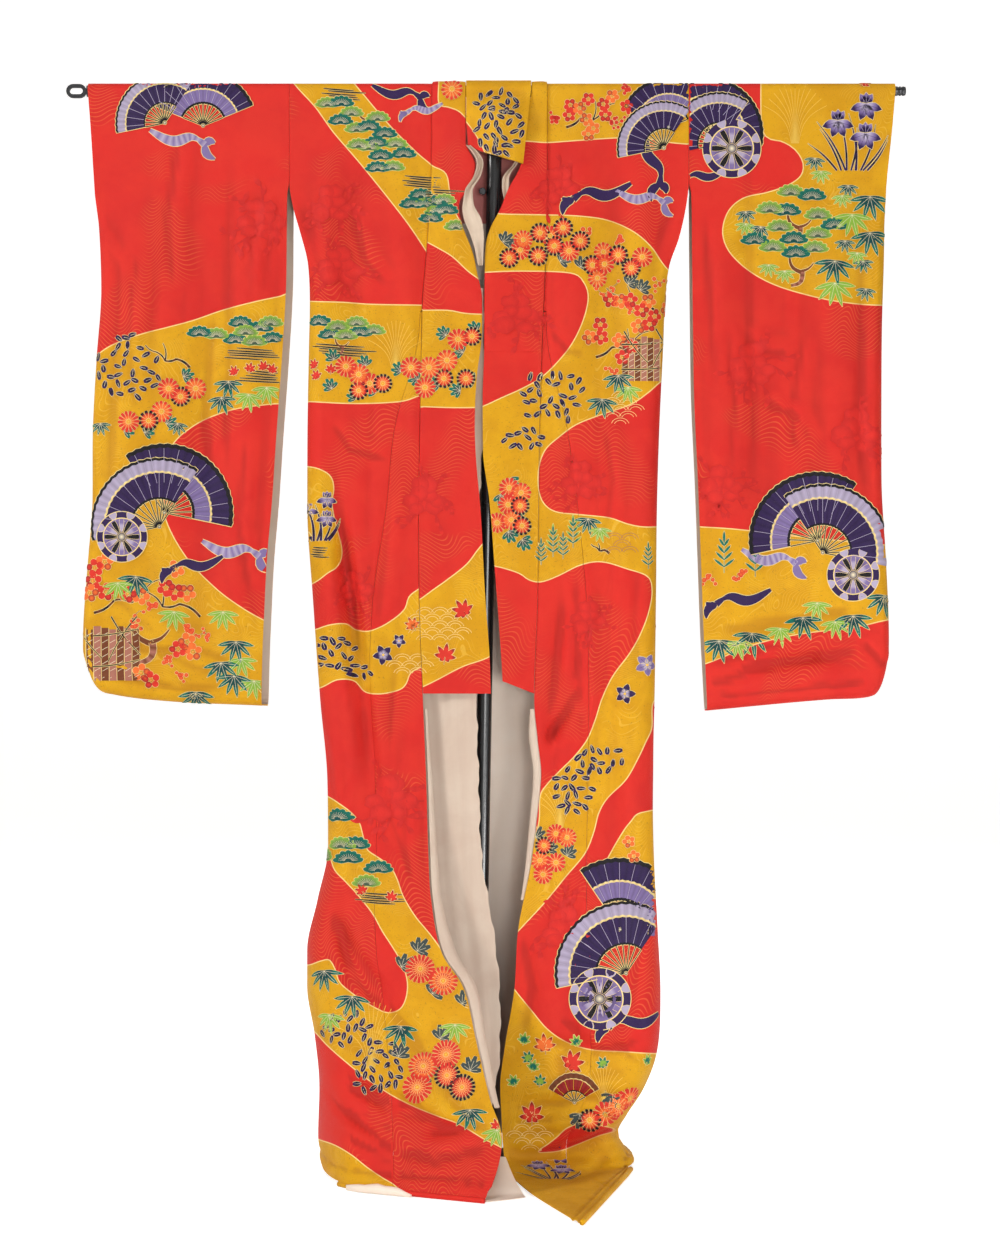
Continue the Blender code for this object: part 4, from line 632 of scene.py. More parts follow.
def sleeve_surface(side, facing):
    rows = SLEEVE_ROWS[side]
    shift = BACK_LAYER_SHIFT[side] if facing == BACK else 0.0

    def surface(s, t):
        """s runs from 0 on the shoulder line to 1 at the sewn foot."""
        foot_z = column(SLEEVE_FOOT[side], "z", t)
        drop = np.clip((s - ROD_SHARE) / (1.0 - ROD_SHARE), 0.0, 1.0)
        turn = np.clip((drop - (1.0 - FOOT_SHARE)) / FOOT_SHARE, 0.0, 1.0) * (math.pi / 2)
        z = mix(ROD_Z, foot_z + SLEEVE_CURL, np.clip(drop / (1.0 - FOOT_SHARE), 0.0, 1.0))
        z = z - SLEEVE_CURL * np.sin(turn)
        outer_x = column(rows, "outer_x", z)
        inner_x = column(rows, "inner_x", z)
        inner_x = inner_x + shift * smoothstep(1.59 - z, 0.0, 0.03)
        x, turned = across(outer_x, inner_x, SLEEVE_CURL, t)
        sewn = 1.0 - smoothstep(z, WRIST_BY, WRIST_FROM)
        depth = column(rows, "depth", z)
        hanging = smoothstep(ROD_Z - z, 0.03, 0.12)
        relief = fold_relief(SLEEVE_FOLDS[side], x, z) * hanging * smoothstep(turned, 0.0, 1.0)
        y = facing * (depth + relief) * mix(1.0, turned, sewn) * np.cos(turn)
        y, z = hang_over_rod(s / ROD_SHARE * ARC, y, z, DRAPE_RADIUS, facing)
        return np.stack(np.broadcast_arrays(x, y, z), axis=-1)

    return surface


def lining_fold_surface(s, t):
    """The loose fold of lining before the pole: -s is the height, t runs from its rear edge."""
    z = -s
    rear_x = column(LINING_FOLD_ROWS, "rear_x", z)
    fold_x = column(LINING_FOLD_ROWS, "fold_x", z)
    rear_y = column(LINING_FOLD_ROWS, "rear_y", z)
    fold_y = column(LINING_FOLD_ROWS, "fold_y", z)
    x = mix(rear_x, fold_x, t)
    y = mix(rear_y, fold_y, smoothstep(t, 0.0, 0.9))
    return np.stack(np.broadcast_arrays(x, y, z), axis=-1)


def lining_hem_surface(s, t):
    """The tongue of lining that lies on the floor between the two hems."""
    y = -s
    x = mix(column(LINING_HEM_ROWS, "left_x", y), column(LINING_HEM_ROWS, "right_x", y), t)
    z = column(LINING_HEM_ROWS, "z", y) - 0.006 * (2 * t - 1) ** 2 * smoothstep(-y, 0.10, 0.20)
    z = np.maximum(z, LINING + GAP)
    return np.stack(np.broadcast_arrays(x, y, z), axis=-1)


def ribbon_surface(side):
    rows = RIBBON_ROWS[side]

    def surface(s, t):
        z = -s
        twist = np.radians(column_by_z(rows, "twist", z))
        reach = (2 * t - 1) * column_by_z(rows, "half_width", z)
        x = column_by_z(rows, "x", z) + reach * np.cos(twist)
        y = column_by_z(rows, "y", z) + reach * np.sin(twist)
        return np.stack(np.broadcast_arrays(x, y, z), axis=-1)

    return surface


def facing_surface(side):
    front = front_surface(side)
    rows = FACING_ROWS[side]
    inward = {LEFT: 1.0, RIGHT: -1.0}[side]

    def surface(s, t):
        edge = front(s, np.ones_like(s))
        width = column(rows, "width", s)
        x = edge[..., 0] + inward * (FACING_START[side] + width * np.sin(t * math.pi / 2))
        y = edge[..., 1] + 0.55 * width * (1 - np.cos(t * math.pi / 2))
        return np.stack(np.broadcast_arrays(x, y, edge[..., 2]), axis=-1)

    return surface


def moved_in(surface, depth, outward):
    """The same surface moved along its normals, away from its outer side."""

    def inner(s, t):
        return surface(s, t) - depth * facing_normals(surface, s, t, outward)

    return inner


def surface_normals(surface, s, t, step=2e-4):
    """Unit normals of a surface, from its own slopes."""
    down = surface(s + step, t) - surface(s - step, t)
    over = surface(s, t + step) - surface(s, t - step)
    normals = np.cross(over, down)
    length = np.linalg.norm(normals, axis=-1, keepdims=True)
    return normals / np.maximum(length, 1e-12)


def facing_normals(surface, s, t, outward):
    """The surface's normals, all on the side that the direction `outward` names."""
    normals = surface_normals(surface, s, t)
    return normals * np.sign(np.sum(normals * np.array(outward)))


FLOOR_CLEARANCE = 0.0001
HEM_GAP = 2.5 * GAP  # between a panel's foot and its hem roll


def hem_path(surface, last, places, outward):
    """Centre points of a hem roll: just past the panel's foot, in line with its cloth."""
    s = np.full(len(places), last)
    t = np.array(places)
    foot = surface(s, t)
    normals = facing_normals(surface, s, t, outward)
    along = surface(s, t + 0.001) - surface(s, t - 0.001)
    away = np.cross(along, normals)
    away = away / np.linalg.norm(away, axis=-1, keepdims=True)
    away = away * np.sign(np.sum(away * (foot - surface(s - 0.004, t)), axis=-1, keepdims=True))
    path = foot - CLOTH / 2 * normals + away * (HEM_ROLL_RADIUS + HEM_GAP)
    path[:, 2] = HEM_ROLL_RADIUS + FLOOR_CLEARANCE
    return path


# ---- small creases ----------------------------------------------------------
# Rows as in the fold tables above: creases too fine for the solids.

FRONT_FOLDS[LEFT] += [
    Fold(-0.300, 1.560, -0.255, 1.430, 0.010, -0.0022),
    Fold(-0.286, 1.520, -0.225, 1.380, 0.012, 0.0020),
    Fold(-0.060, 1.640, -0.100, 1.560, 0.007, -0.0018),
    Fold(-0.178, 1.420, -0.196, 0.930, 0.011, -0.0016),
    Fold(-0.122, 1.500, -0.118, 1.080, 0.009, 0.0013),
    Fold(-0.236, 1.120, -0.262, 0.820, 0.008, 0.0016),
    Fold(-0.140, 0.900, -0.165, 0.610, 0.007, -0.0016),
    Fold(-0.216, 0.700, -0.228, 0.420, 0.008, 0.0020),
    Fold(-0.180, 0.640, -0.120, 0.470, 0.007, -0.0022),
    Fold(-0.262, 0.640, -0.200, 0.500, 0.006, -0.0018),
    Fold(-0.238, 0.330, -0.090, 0.215, 0.007, -0.0024),
    Fold(-0.220, 0.140, -0.060, 0.060, 0.009, 0.0030),
    Fold(-0.130, 0.250, -0.020, 0.090, 0.010, -0.0028),
    Fold(-0.251, 1.130, -0.181, 0.590, 0.012, -0.0042),
    Fold(-0.226, 1.060, -0.158, 0.620, 0.012, 0.0030),
    Fold(-0.276, 0.150, -0.150, 0.062, 0.008, -0.0060),
    Fold(-0.262, 0.116, -0.120, 0.040, 0.006, 0.0034),
    Fold(-0.180, 0.120, -0.020, 0.098, 0.008, -0.0036),
    Fold(-0.110, 0.086, -0.010, 0.060, 0.006, 0.0024),
    Fold(-0.236, 0.420, -0.150, 0.300, 0.010, 0.0036),
    Fold(-0.244, 0.380, -0.170, 0.250, 0.007, -0.0034),
]
FRONT_FOLDS[RIGHT] += [
    Fold(0.300, 1.560, 0.250, 1.420, 0.010, -0.0022),
    Fold(0.285, 1.510, 0.215, 1.370, 0.012, 0.0020),
    Fold(0.176, 1.430, 0.182, 0.980, 0.011, -0.0016),
    Fold(0.118, 1.520, 0.112, 1.100, 0.009, 0.0013),
    Fold(0.212, 1.000, 0.196, 0.700, 0.007, 0.0018),
    Fold(0.174, 0.880, 0.128, 0.770, 0.006, -0.0020),
    Fold(0.160, 0.700, 0.130, 0.590, 0.008, 0.0020),
    Fold(0.256, 0.640, 0.214, 0.430, 0.007, -0.0020),
    Fold(0.110, 0.520, 0.132, 0.300, 0.008, 0.0022),
    Fold(0.214, 0.300, 0.150, 0.180, 0.007, -0.0026),
    Fold(0.090, 0.260, 0.140, 0.120, 0.008, -0.0022),
    Fold(0.147, 0.983, 0.147, 0.670, 0.010, -0.0036),
    Fold(0.168, 0.960, 0.170, 0.640, 0.010, 0.0028),
    Fold(0.144, 0.752, 0.091, 0.682, 0.007, -0.0044),
    Fold(0.270, 0.520, 0.230, 0.250, 0.010, -0.0036),
    Fold(0.040, 0.104, 0.246, 0.132, 0.009, -0.0060),
    Fold(0.050, 0.128, 0.240, 0.158, 0.009, 0.0038),
    Fold(0.030, 0.074, 0.180, 0.084, 0.006, 0.0030),
    Fold(0.200, 0.210, 0.262, 0.170, 0.008, -0.0036),
]
BACK_FOLDS += [
    Fold(-0.200, 1.620, -0.190, 0.900, 0.014, -0.0030),
    Fold(-0.120, 1.500, -0.110, 0.700, 0.012, 0.0026),
    Fold(-0.040, 1.580, -0.046, 0.800, 0.013, -0.0026),
    Fold(0.040, 1.600, 0.036, 0.700, 0.012, 0.0024),
    Fold(0.115, 1.540, 0.108, 0.800, 0.013, -0.0028),
    Fold(0.196, 1.560, 0.186, 0.760, 0.012, 0.0030),
    Fold(-0.255, 1.280, -0.190, 1.120, 0.010, -0.0024),
    Fold(0.250, 1.320, 0.180, 1.180, 0.010, -0.0024),
    Fold(-0.190, 0.560, -0.110, 0.180, 0.014, 0.0040),
    Fold(0.185, 0.620, 0.120, 0.160, 0.014, 0.0040),
    Fold(0.020, 0.640, -0.030, 0.110, 0.014, -0.0030),
]
SLEEVE_FOLDS[LEFT] += [
    Fold(-0.348, 1.560, -0.376, 1.260, 0.008, -0.0020),
    Fold(-0.412, 1.640, -0.425, 1.100, 0.012, -0.0016),
    Fold(-0.470, 1.480, -0.500, 1.000, 0.010, 0.0014),
    Fold(-0.588, 1.500, -0.610, 1.060, 0.009, -0.0018),
    Fold(-0.640, 1.560, -0.560, 1.420, 0.008, 0.0016),
    Fold(-0.640, 0.960, -0.520, 0.850, 0.009, -0.0022),
    Fold(-0.590, 0.860, -0.420, 0.790, 0.007, -0.0018),
    Fold(-0.420, 1.020, -0.372, 0.820, 0.009, 0.0018),
]
SLEEVE_FOLDS[RIGHT] += [
    Fold(0.350, 1.540, 0.372, 1.240, 0.008, -0.0020),
    Fold(0.420, 1.640, 0.430, 1.080, 0.012, -0.0016),
    Fold(0.490, 1.480, 0.512, 1.000, 0.010, 0.0014),
    Fold(0.600, 1.520, 0.606, 1.080, 0.009, -0.0018),
    Fold(0.636, 1.200, 0.545, 1.110, 0.008, 0.0014),
    Fold(0.372, 0.870, 0.600, 0.905, 0.009, -0.0042),
    Fold(0.372, 0.842, 0.610, 0.868, 0.007, 0.0034),
    Fold(0.372, 0.818, 0.600, 0.836, 0.006, -0.0036),
    Fold(0.380, 0.798, 0.560, 0.812, 0.005, 0.0030),
    Fold(0.420, 0.772, 0.600, 0.786, 0.005, -0.0030),
    Fold(0.610, 0.930, 0.560, 0.860, 0.008, 0.0018),
]

# Sharper creases on the pattern sheet: depth, width in pattern steps and the line. The depth is
# a valley on the line; to the left of its run the cloth swells beside it.

CREASES = {
    "body_left": [
        (0.0052, 8.0, "338,500 346,540 356,615 366,700 381,815 392,880"),
        (0.0034, 7.0, "333,905 341,930 349,985 352,1010"),
        (0.0026, 6.0, "392,470 384,560 374,640"),
        (0.0062, 7.0, "332,1086 352,1091 377,1101 410,1106 444,1128 470,1140"),
        (0.0038, 6.0, "392,1160 414,1156 434,1163 468,1153 490,1150"),
        (0.0034, 5.0, "424,1136 446,1131 470,1126 492,1129"),
        (0.0022, 5.0, "336,1128 352,1142 372,1150 398,1146"),
        (0.0020, 5.0, "358,1078 384,1112 392,1138"),
        (0.0024, 5.0, "340,640 352,676 349,720"),
        (0.0026, 6.0, "318,720 328,770 330,840"),
        (0.0020, 5.0, "352,212 366,262 388,290"),
        (0.0020, 5.0, "330,420 350,450 392,462"),
        (0.0026, 6.0, "318,930 326,960 322,1010"),
        (0.0020, 5.0, "412,760 404,830 412,900"),
    ],
    "body_right": [
        (0.0046, 6.5, "576,560 575,600 577,655 581,700 580,740"),
        (0.0044, 6.0, "581,684 566,708 546,744"),
        (0.0030, 5.5, "566,590 556,660 546,742"),
        (0.0026, 6.0, "593,620 591,680 596,745 592,800"),
        (0.0072, 6.5, "500,1149 520,1157 540,1157 584,1147 612,1134 634,1122"),
        (0.0036, 6.0, "530,1041 562,1045 594,1053 620,1049 655,1038"),
        (0.0030, 5.0, "560,1018 576,1034 594,1050"),
        (0.0030, 5.0, "572,1112 600,1117 622,1127"),
        (0.0026, 5.0, "512,1130 530,1124 556,1122"),
        (0.0024, 5.0, "560,1186 590,1174 612,1158"),
        (0.0022, 5.0, "548,330 566,350 588,358"),
        (0.0022, 5.0, "604,420 612,480 606,540"),
        (0.0022, 6.0, "640,560 634,620 640,690"),
        (0.0024, 6.0, "520,930 532,990 522,1040"),
        (0.0020, 5.0, "650,780 640,850 646,930"),
    ],
    "sleeve_left": [
        (0.0030, 6.0, "110,636 150,652 196,650 240,664"),
        (0.0034, 5.0, "96,668 130,680 176,690 226,688"),
        (0.0024, 6.0, "216,300 206,420 214,520"),
        (0.0022, 6.0, "140,240 128,330 136,430"),
        (0.0020, 6.0, "262,180 250,270 256,360"),
        (0.0020, 6.0, "180,130 168,220 174,300"),
        (0.0022, 5.0, "248,420 238,520 250,600"),
    ],
    "sleeve_right": [
        (0.0040, 5.0, "700,684 724,682 746,671 770,667 798,661 818,658 850,662"),
        (0.0056, 5.5, "712,691 740,701 766,700 794,696 820,694"),
        (0.0030, 5.0, "862,642 874,654 886,670"),
        (0.0030, 5.0, "826,690 846,687 866,680"),
        (0.0022, 4.5, "716,664 752,652 790,640"),
        (0.0022, 5.0, "740,330 756,350 792,356"),
        (0.0022, 6.0, "722,300 734,400 728,500"),
        (0.0024, 6.0, "800,330 792,430 806,470"),
        (0.0020, 6.0, "862,320 858,410 868,500"),
        (0.0020, 5.0, "760,400 800,420 812,450"),
    ],
    "back": [
        (0.0036, 8.0, "360,300 352,480 366,640"),
        (0.0036, 8.0, "600,320 612,500 598,660"),
        (0.0044, 8.0, "420,700 440,860 424,1010"),
        (0.0040, 8.0, "560,680 540,840 556,980"),
        (0.0050, 7.0, "330,1060 420,1100 500,1092"),
        (0.0044, 7.0, "520,1110 600,1090 660,1104"),
        (0.0030, 6.0, "440,1130 500,1122 560,1136"),
        (0.0030, 6.0, "340,820 372,900 360,980"),
        (0.0030, 6.0, "640,800 622,880 634,960"),
    ],
}


SWELL_AT = 1.9  # the swell beside a crease: its place, width and height against the valley's
SWELL_WIDTH = 1.2
SWELL_SHARE = 0.75
CREASE_END = 0.22  # share of a crease's length over which each end fades


def sheet_run(line):
    """Pattern places from a line of text."""
    return np.array([[float(part) for part in place.split(",")] for place in line.split()])


def crease_relief(places, rows):
    """Height of the sharper creases at pattern places."""
    relief = np.zeros(places.shape[:-1])
    for depth, width, line in rows:
        knots = sheet_run(line)
        runs = np.diff(knots, axis=0)
        lengths = np.linalg.norm(runs, axis=1)
        nearest = np.full(relief.shape, 1e9)
        aside, along = np.zeros(relief.shape), np.zeros(relief.shape)
        done = 0.0
        for knot, run, length in zip(knots, runs, lengths):
            way = places - knot
            share = np.clip((way @ run) / length**2, 0.0, 1.0)
            distance = np.linalg.norm(way - share[..., None] * run, axis=-1)
            left = np.sign(run[1] * way[..., 0] - run[0] * way[..., 1])
            closer = distance < nearest
            nearest = np.where(closer, distance, nearest)
            aside = np.where(closer, left, aside)
            along = np.where(closer, done + share * length, along)
            done += length
        share = along / done
        ends = smoothstep(share, 0.0, CREASE_END) * (1.0 - smoothstep(share, 1.0 - CREASE_END, 1.0))
        valley = np.exp(-((nearest / width) ** 2))
        swell = np.exp(-(((aside * nearest - SWELL_AT * width) / (SWELL_WIDTH * width)) ** 2))
        relief += depth * (SWELL_SHARE * swell - valley) * ends
    return relief


STEP = 0.0062  # side of a cloth cell
COLLAR_STEP = 0.0055
SLEEVE_STEP = 0.0075
BACK_STEP = 0.008
TURN_CELLS = 14  # across the part that turns round the sewn edge
SEAM_PINCH = 0.0007  # how far the cloth dips into a sewn seam
SEAM_REACH = 0.0045

# ---- cloth meshes -----------------------------------------------------------


def in_scene(name, data):
    made = bpy.data.objects.new(name, data)
    bpy.context.scene.collection.objects.link(made)
    return made


def new_piece(name, data):
    piece = in_scene(name, data)
    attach(piece, "root")
    return piece


def places_between(first, last, step=STEP):
    return np.linspace(first, last, max(2, round((last - first) / step) + 1))


def rod_and_below(last, step=STEP):
    """Places down a panel that starts on the shoulder line."""
    return np.concatenate((np.linspace(0.0, ARC, 6)[:-1], places_between(ARC, last, step)))


def curl_and_across(width, step=STEP):
    """Places across a panel whose first share of t turns round the sewn edge."""
    turn = np.linspace(0.0, CURL_SHARE, TURN_CELLS + 1)[:-1]
    return np.concatenate((turn, np.linspace(CURL_SHARE, 1.0, max(2, round(width / step)))))


def pinched(points, normals, sides):
    """The cloth dips a little into the seams on its sides: first or last column, or the foot."""
    for side in sides.split():
        edge = {"first": points[:, :1], "last": points[:, -1:], "foot": points[-1:, :]}[side]
        away = np.linalg.norm(points - edge, axis=-1, keepdims=True)
        points = points - SEAM_PINCH * np.exp(-((away / SEAM_REACH) ** 2)) * normals
    return points


def distance_across(points):
    """Distance of each point of a cloth grid from the grid's first column, along the cloth."""
    steps = np.linalg.norm(np.diff(points, axis=1), axis=-1)
    return np.concatenate((np.zeros((len(points), 1)), np.cumsum(steps, axis=1)), axis=1)


def distance_to_foot(points):
    """Distance of each point of a cloth grid from the grid's last row, along the cloth."""
    steps = np.linalg.norm(np.diff(points, axis=0), axis=-1)
    steps = np.concatenate((steps, np.zeros((1, points.shape[1]))))
    return np.cumsum(steps[::-1], axis=0)[::-1]


def cloth_places(points):
    """Distances along and across a grid of cloth points, as pattern places for its finish."""
    u = distance_across(points)
    down_cloth = np.linalg.norm(np.diff(points, axis=0), axis=-1)
    v = np.concatenate((np.zeros((1, points.shape[1])), np.cumsum(down_cloth, axis=0)), axis=0)
    middle = points.shape[1] // 2
    return u - u[:, middle : middle + 1], v


SHARP_FROM = 62  # degrees between two faces of the cloth


def grid_cells(rows, columns, first=0, kept=None):
    """Corner numbers of a grid's cells; cells outside `kept` are left out."""
    number = first + np.arange(rows * columns).reshape(rows, columns)
    cells = np.stack((number[:-1, :-1], number[:-1, 1:], number[1:, 1:], number[1:, :-1]), axis=-1)
    return cells[np.ones((rows - 1, columns - 1), bool) if kept is None else kept]


def cloth_mesh(name, outer, inner, finishes, kept=None):
    """A thin closed wall between two grids of points; cells outside `kept` are left out."""
    rows, columns = outer.shape[:2]
    cells = grid_cells(rows, columns, kept=kept)
    across_axis, down_axis = outer[0, -1] - outer[0, 0], outer[1, 0] - outer[0, 0]
    looks_out = np.dot(np.cross(down_axis, across_axis), outer[0, 0] - inner[0, 0]) < 0
    cells = cells[:, ::-1] if looks_out else cells
    edges = np.concatenate([cells[:, [i, (i + 1) % 4]] for i in range(4)])
    key = edges[:, 0] * rows * columns + edges[:, 1]
    opposite = edges[:, 1] * rows * columns + edges[:, 0]
    rim = edges[~np.isin(key, opposite)]
    offset = rows * columns
    rim_faces = np.stack((rim[:, 1], rim[:, 0], rim[:, 0] + offset, rim[:, 1] + offset), axis=-1)
    faces = np.concatenate((cells, cells[:, ::-1] + offset, rim_faces))
    points = np.concatenate((outer.reshape(-1, 3), inner.reshape(-1, 3)))
    used, faces = np.unique(faces, return_inverse=True)
    faces = faces.reshape(-1, 4)
    data = bpy.data.meshes.new(name)
    data.from_pydata(points[used].tolist(), [], faces.tolist())
    for finish in finishes:
        data.materials.append(finish)
    slots = np.zeros(len(faces), np.int32)
    slots[len(cells) : 2 * len(cells)] = min(1, len(finishes) - 1)
    data.polygons.foreach_set("material_index", slots)
    data.shade_smooth()
    u, v = cloth_places(outer)
    places = np.stack((u, v), axis=-1).reshape(-1, 2)
    places = np.concatenate((places, places))[used]
    layer = data.uv_layers.new(name="cloth")
    layer.data.foreach_set("uv", places[faces.reshape(-1)].astype(np.float32).ravel())
    data.set_sharp_from_angle(angle=math.radians(SHARP_FROM))
    data.validate()
    return data, used


def numbers_on(data, name, values):
    layer = data.attributes.new(name, "FLOAT", "POINT")
    layer.data.foreach_set("value", np.asarray(values, np.float32))


def numbers_on_walls(data, name, values, used):
    """The same numbers on a cloth's outer and inner wall."""
    numbers_on(data, name, np.concatenate([values.ravel()] * 2)[used])


# ---- pattern sheet ----------------------------------------------------------
# Places on the pattern sheet are (across, down) in steps; the rod's middle line is at DOWN_AT_ROD.

SHEET_STEP = 0.00162
ACROSS_AT_ZERO = 487.0
DOWN_AT_ROD = 93.0
EYE = Vector((0.021, -4.5, 0.95))  # the place that the front's pattern is laid out from


def sheet_places(points, facing=FRONT):
    """Pattern places of cloth points: the front is laid out from the eye, the back square on."""
    points = np.asarray(points)
    x, y, z = points[..., 0], points[..., 1], points[..., 2]
    near = (y - EYE.y) / -EYE.y if facing == FRONT else np.ones_like(y)
    x, z = EYE.x + (x - EYE.x) / near, EYE.z + (z - EYE.z) / near
    return np.stack(
        (ACROSS_AT_ZERO + x / SHEET_STEP, DOWN_AT_ROD + (ROD_Z - z) / SHEET_STEP), axis=-1
    )


def sheet_point(place):
    """A pattern place as a point in the rod's upright plane."""
    across_sheet, down_sheet = place
    x = (across_sheet - ACROSS_AT_ZERO) * SHEET_STEP
    return Vector((x, 0.0, ROD_Z - (down_sheet - DOWN_AT_ROD) * SHEET_STEP))


# Outlines of the golden grounds on the red, each a closed run of pattern places.

GOLD_GROUNDS = {
    "body_left": [
        ("283,66 296,87 316,109 334,134 359,163 385,195 409,226 427,253 446,282 466,240 "
         "450,190 433,168 418,155 389,126 356,87 338,66"),
        ("292,300 310,302 343,303 372,305 424,306 446,307 446,394 421,396 400,402 356,404 "
         "310,402 292,401"),
        ("288,468 308,467 321,470 331,477 334,489 332,503 335,521 339,536 342,549 341,560 "
         "336,568 328,573 312,584 288,590"),
        ("296,633 314,630 330,625 346,624 356,630 370,631 388,623 404,610 409,597 419,589 "
         "438,577 456,562 458,650 438,660 417,669 410,674 406,684 399,690 381,694 365,692 "
         "354,681 337,680 320,688 296,694"),
        ("292,780 312,789 328,797 339,804 351,813 359,823 363,837 367,850 378,858 390,867 "
         "397,880 403,897 415,917 429,934 441,950 448,961 463,972 490,990 530,1040 530,1170 "
         "502,1150 484,1141 459,1126 435,1117 411,1107 390,1096 366,1080 345,1063 327,1047 "
         "313,1032 292,1014 292,966 308,966 320,962 329,961 335,971 339,983 350,993 363,1002 "
         "377,1010 388,1014 400,1010 406,998 407,982 402,965 393,949 382,932 372,914 357,895 "
         "345,882 334,870 328,853 316,840 292,834"),
        "296,1132 317,1141 334,1147 351,1157 366,1169 382,1180 397,1190 412,1212 360,1230 296,1216",
    ],
    "collar_left": [
        "439,56 439,82 439,105 449,109 459,113 468,122 475,131 483,146 512,158 512,56",
        ("418,158 432,167 446,175 450,194 455,212 462,224 486,244 500,296 479,280 468,272 "
         "453,258 440,250 427,243 414,236"),
        "408,311 423,311 448,311 465,314 484,315 506,315 506,408 479,408 450,408 422,407 408,407",
        ("402,609 419,600 433,590 447,580 467,564 482,545 512,516 512,636 491,656 462,667 "
         "437,680 420,688 402,694"),
    ],
    "body_right": [
        "476,50 476,138 500,141 531,143 548,144 577,142 606,140 636,139 706,139 706,50",
        ("462,212 500,215 545,216 576,217 606,221 632,232 651,248 668,271 704,300 704,352 "
         "684,367 662,381 648,393 630,405 601,415 576,425 558,438 546,449 540,462 538,477 "
         "539,492 544,504 556,512 582,515 609,518 627,524 642,527 660,527 704,526 704,700 "
         "657,698 652,728 646,742 638,759 626,780 608,798 599,813 594,832 585,854 566,877 "
         "544,904 519,931 506,946 512,928 521,904 526,873 533,845 539,822 540,797 546,786 "
         "559,772 575,756 587,740 595,721 602,699 613,676 630,653 641,633 649,611 652,592 "
         "648,577 627,569 602,562 581,565 558,576 541,582 529,580 518,573 494,566 462,561 "
         "462,412 482,407 502,398 522,389 541,378 557,363 572,344 583,321 588,299 584,284 "
         "571,274 524,272 486,273 462,274"),
        "630,823 616,844 604,866 597,878 596,889 612,895 640,897 704,897 704,812 646,812",
        ("492,960 514,990 531,1011 547,1030 566,1043 591,1051 623,1053 656,1055 714,1056 "
         "714,1300 440,1300 470,1150 484,1040"),
    ],
    "neck": [
        "430,30 570,30 570,200 496,200 489,168 484,152 478,140 470,128 461,118 450,110 430,104",
    ],
    "sleeve_left": [
        ("50,382 82,365 97,356 112,346 141,335 168,328 194,321 223,311 253,303 281,297 "
         "316,290 316,401 277,404 243,408 223,413 203,421 187,431 176,441 168,454 162,475 "
         "162,502 170,530 189,561 214,587 236,604 263,620 316,645 316,760 50,760"),
    ],
    "sleeve_right": [
        ("762,44 760,84 761,128 768,140 781,143 794,151 802,164 800,177 786,187 765,194 "
         "746,198 733,206 725,218 722,234 727,250 739,264 755,276 775,286 800,294 830,301 "
         "860,305 886,306 940,306 940,44"),
        ("670,525 699,527 731,529 768,533 801,537 841,541 881,545 940,550 940,612 888,620 "
         "866,625 840,629 801,634 771,640 745,648 721,658 702,665 670,674"),
    ],
    "back": [
        "283,66 300,96 330,140 372,178 430,196 492,190 552,162 606,142 706,139 706,50",
        ("292,300 340,306 396,330 440,368 490,392 548,380 600,330 640,282 706,262 706,372 "
         "650,400 600,448 548,492 486,506 424,486 372,440 330,410 292,401"),
        "288,468 322,470 344,500 352,548 334,580 288,590",
        ("292,633 340,640 392,668 430,712 470,742 528,738 586,700 622,640 650,560 706,527 "
         "706,698 660,752 610,812 548,850 470,852 404,820 356,760 320,704 292,694"),
        "292,780 330,800 372,862 420,912 480,930 540,912 596,900 706,897 706,1300 292,1300",
    ],
}

RED_ON_GOLD = {
    "body_right": [
        "538,1154 548,1146 557,1139 567,1130 582,1125 600,1127 616,1132 598,1138 576,1147 559,1153",
    ],
    "back": [
        "420,1010 470,990 530,1000 566,1036 548,1080 490,1098 436,1084 408,1048",
    ],
}


def rounded(outline, steps=6):
    """A closed smooth curve through the outline's places."""
    points = sheet_run(outline)
    before, after = np.roll(points, 1, axis=0), np.roll(points, -1, axis=0)
    beyond = np.roll(points, -2, axis=0)
    run = []
    for share in np.linspace(0.0, 1.0, steps, endpoint=False):
        run.append(
            0.5 * (2 * points + (after - before) * share
                   + (2 * before - 5 * points + 4 * after - beyond) * share**2
                   + (3 * points - before - 3 * after + beyond) * share**3)
        )
    return np.stack(run, axis=1).reshape(-1, 2)


def distance_inside(outline, places):
    """Distance of each pattern place to a closed outline, below zero inside it."""
    ends = np.roll(outline, -1, axis=0)
    nearest = np.full(len(places), 1e9)
    crossings = np.zeros(len(places), int)
    for (ax, ay), (bx, by) in zip(outline, ends):
        run = np.array([bx - ax, by - ay])
        length = max(float(run @ run), 1e-9)
        share = np.clip(
            ((places[:, 0] - ax) * run[0] + (places[:, 1] - ay) * run[1]) / length, 0.0, 1.0
        )
        away = np.hypot(places[:, 0] - ax - share * run[0], places[:, 1] - ay - share * run[1])
        nearest = np.minimum(nearest, away)
        if ay != by:
            level = (ay > places[:, 1]) != (by > places[:, 1])
            at = ax + (places[:, 1] - ay) / (by - ay) * (bx - ax)
            crossings += level & (places[:, 0] < at)
    return np.where(crossings % 2 == 1, -nearest, nearest)


FAR_FROM_EDGE = 60.0  # pattern steps; distances are cut off here


def gold_distance(ground, places):
    """Metres to the nearest edge of the golden ground, below zero on gold."""
    flat = places.reshape(-1, 2)
    distance = np.full(len(flat), 1e9)
    for outline in GOLD_GROUNDS[ground]:
        distance = np.minimum(distance, distance_inside(rounded(outline), flat))
    for outline in RED_ON_GOLD.get(ground, []):
        distance = np.maximum(distance, -distance_inside(rounded(outline), flat))
    return np.clip(distance, -FAR_FROM_EDGE, FAR_FROM_EDGE) * SHEET_STEP


# ---- finishes ---------------------------------------------------------------

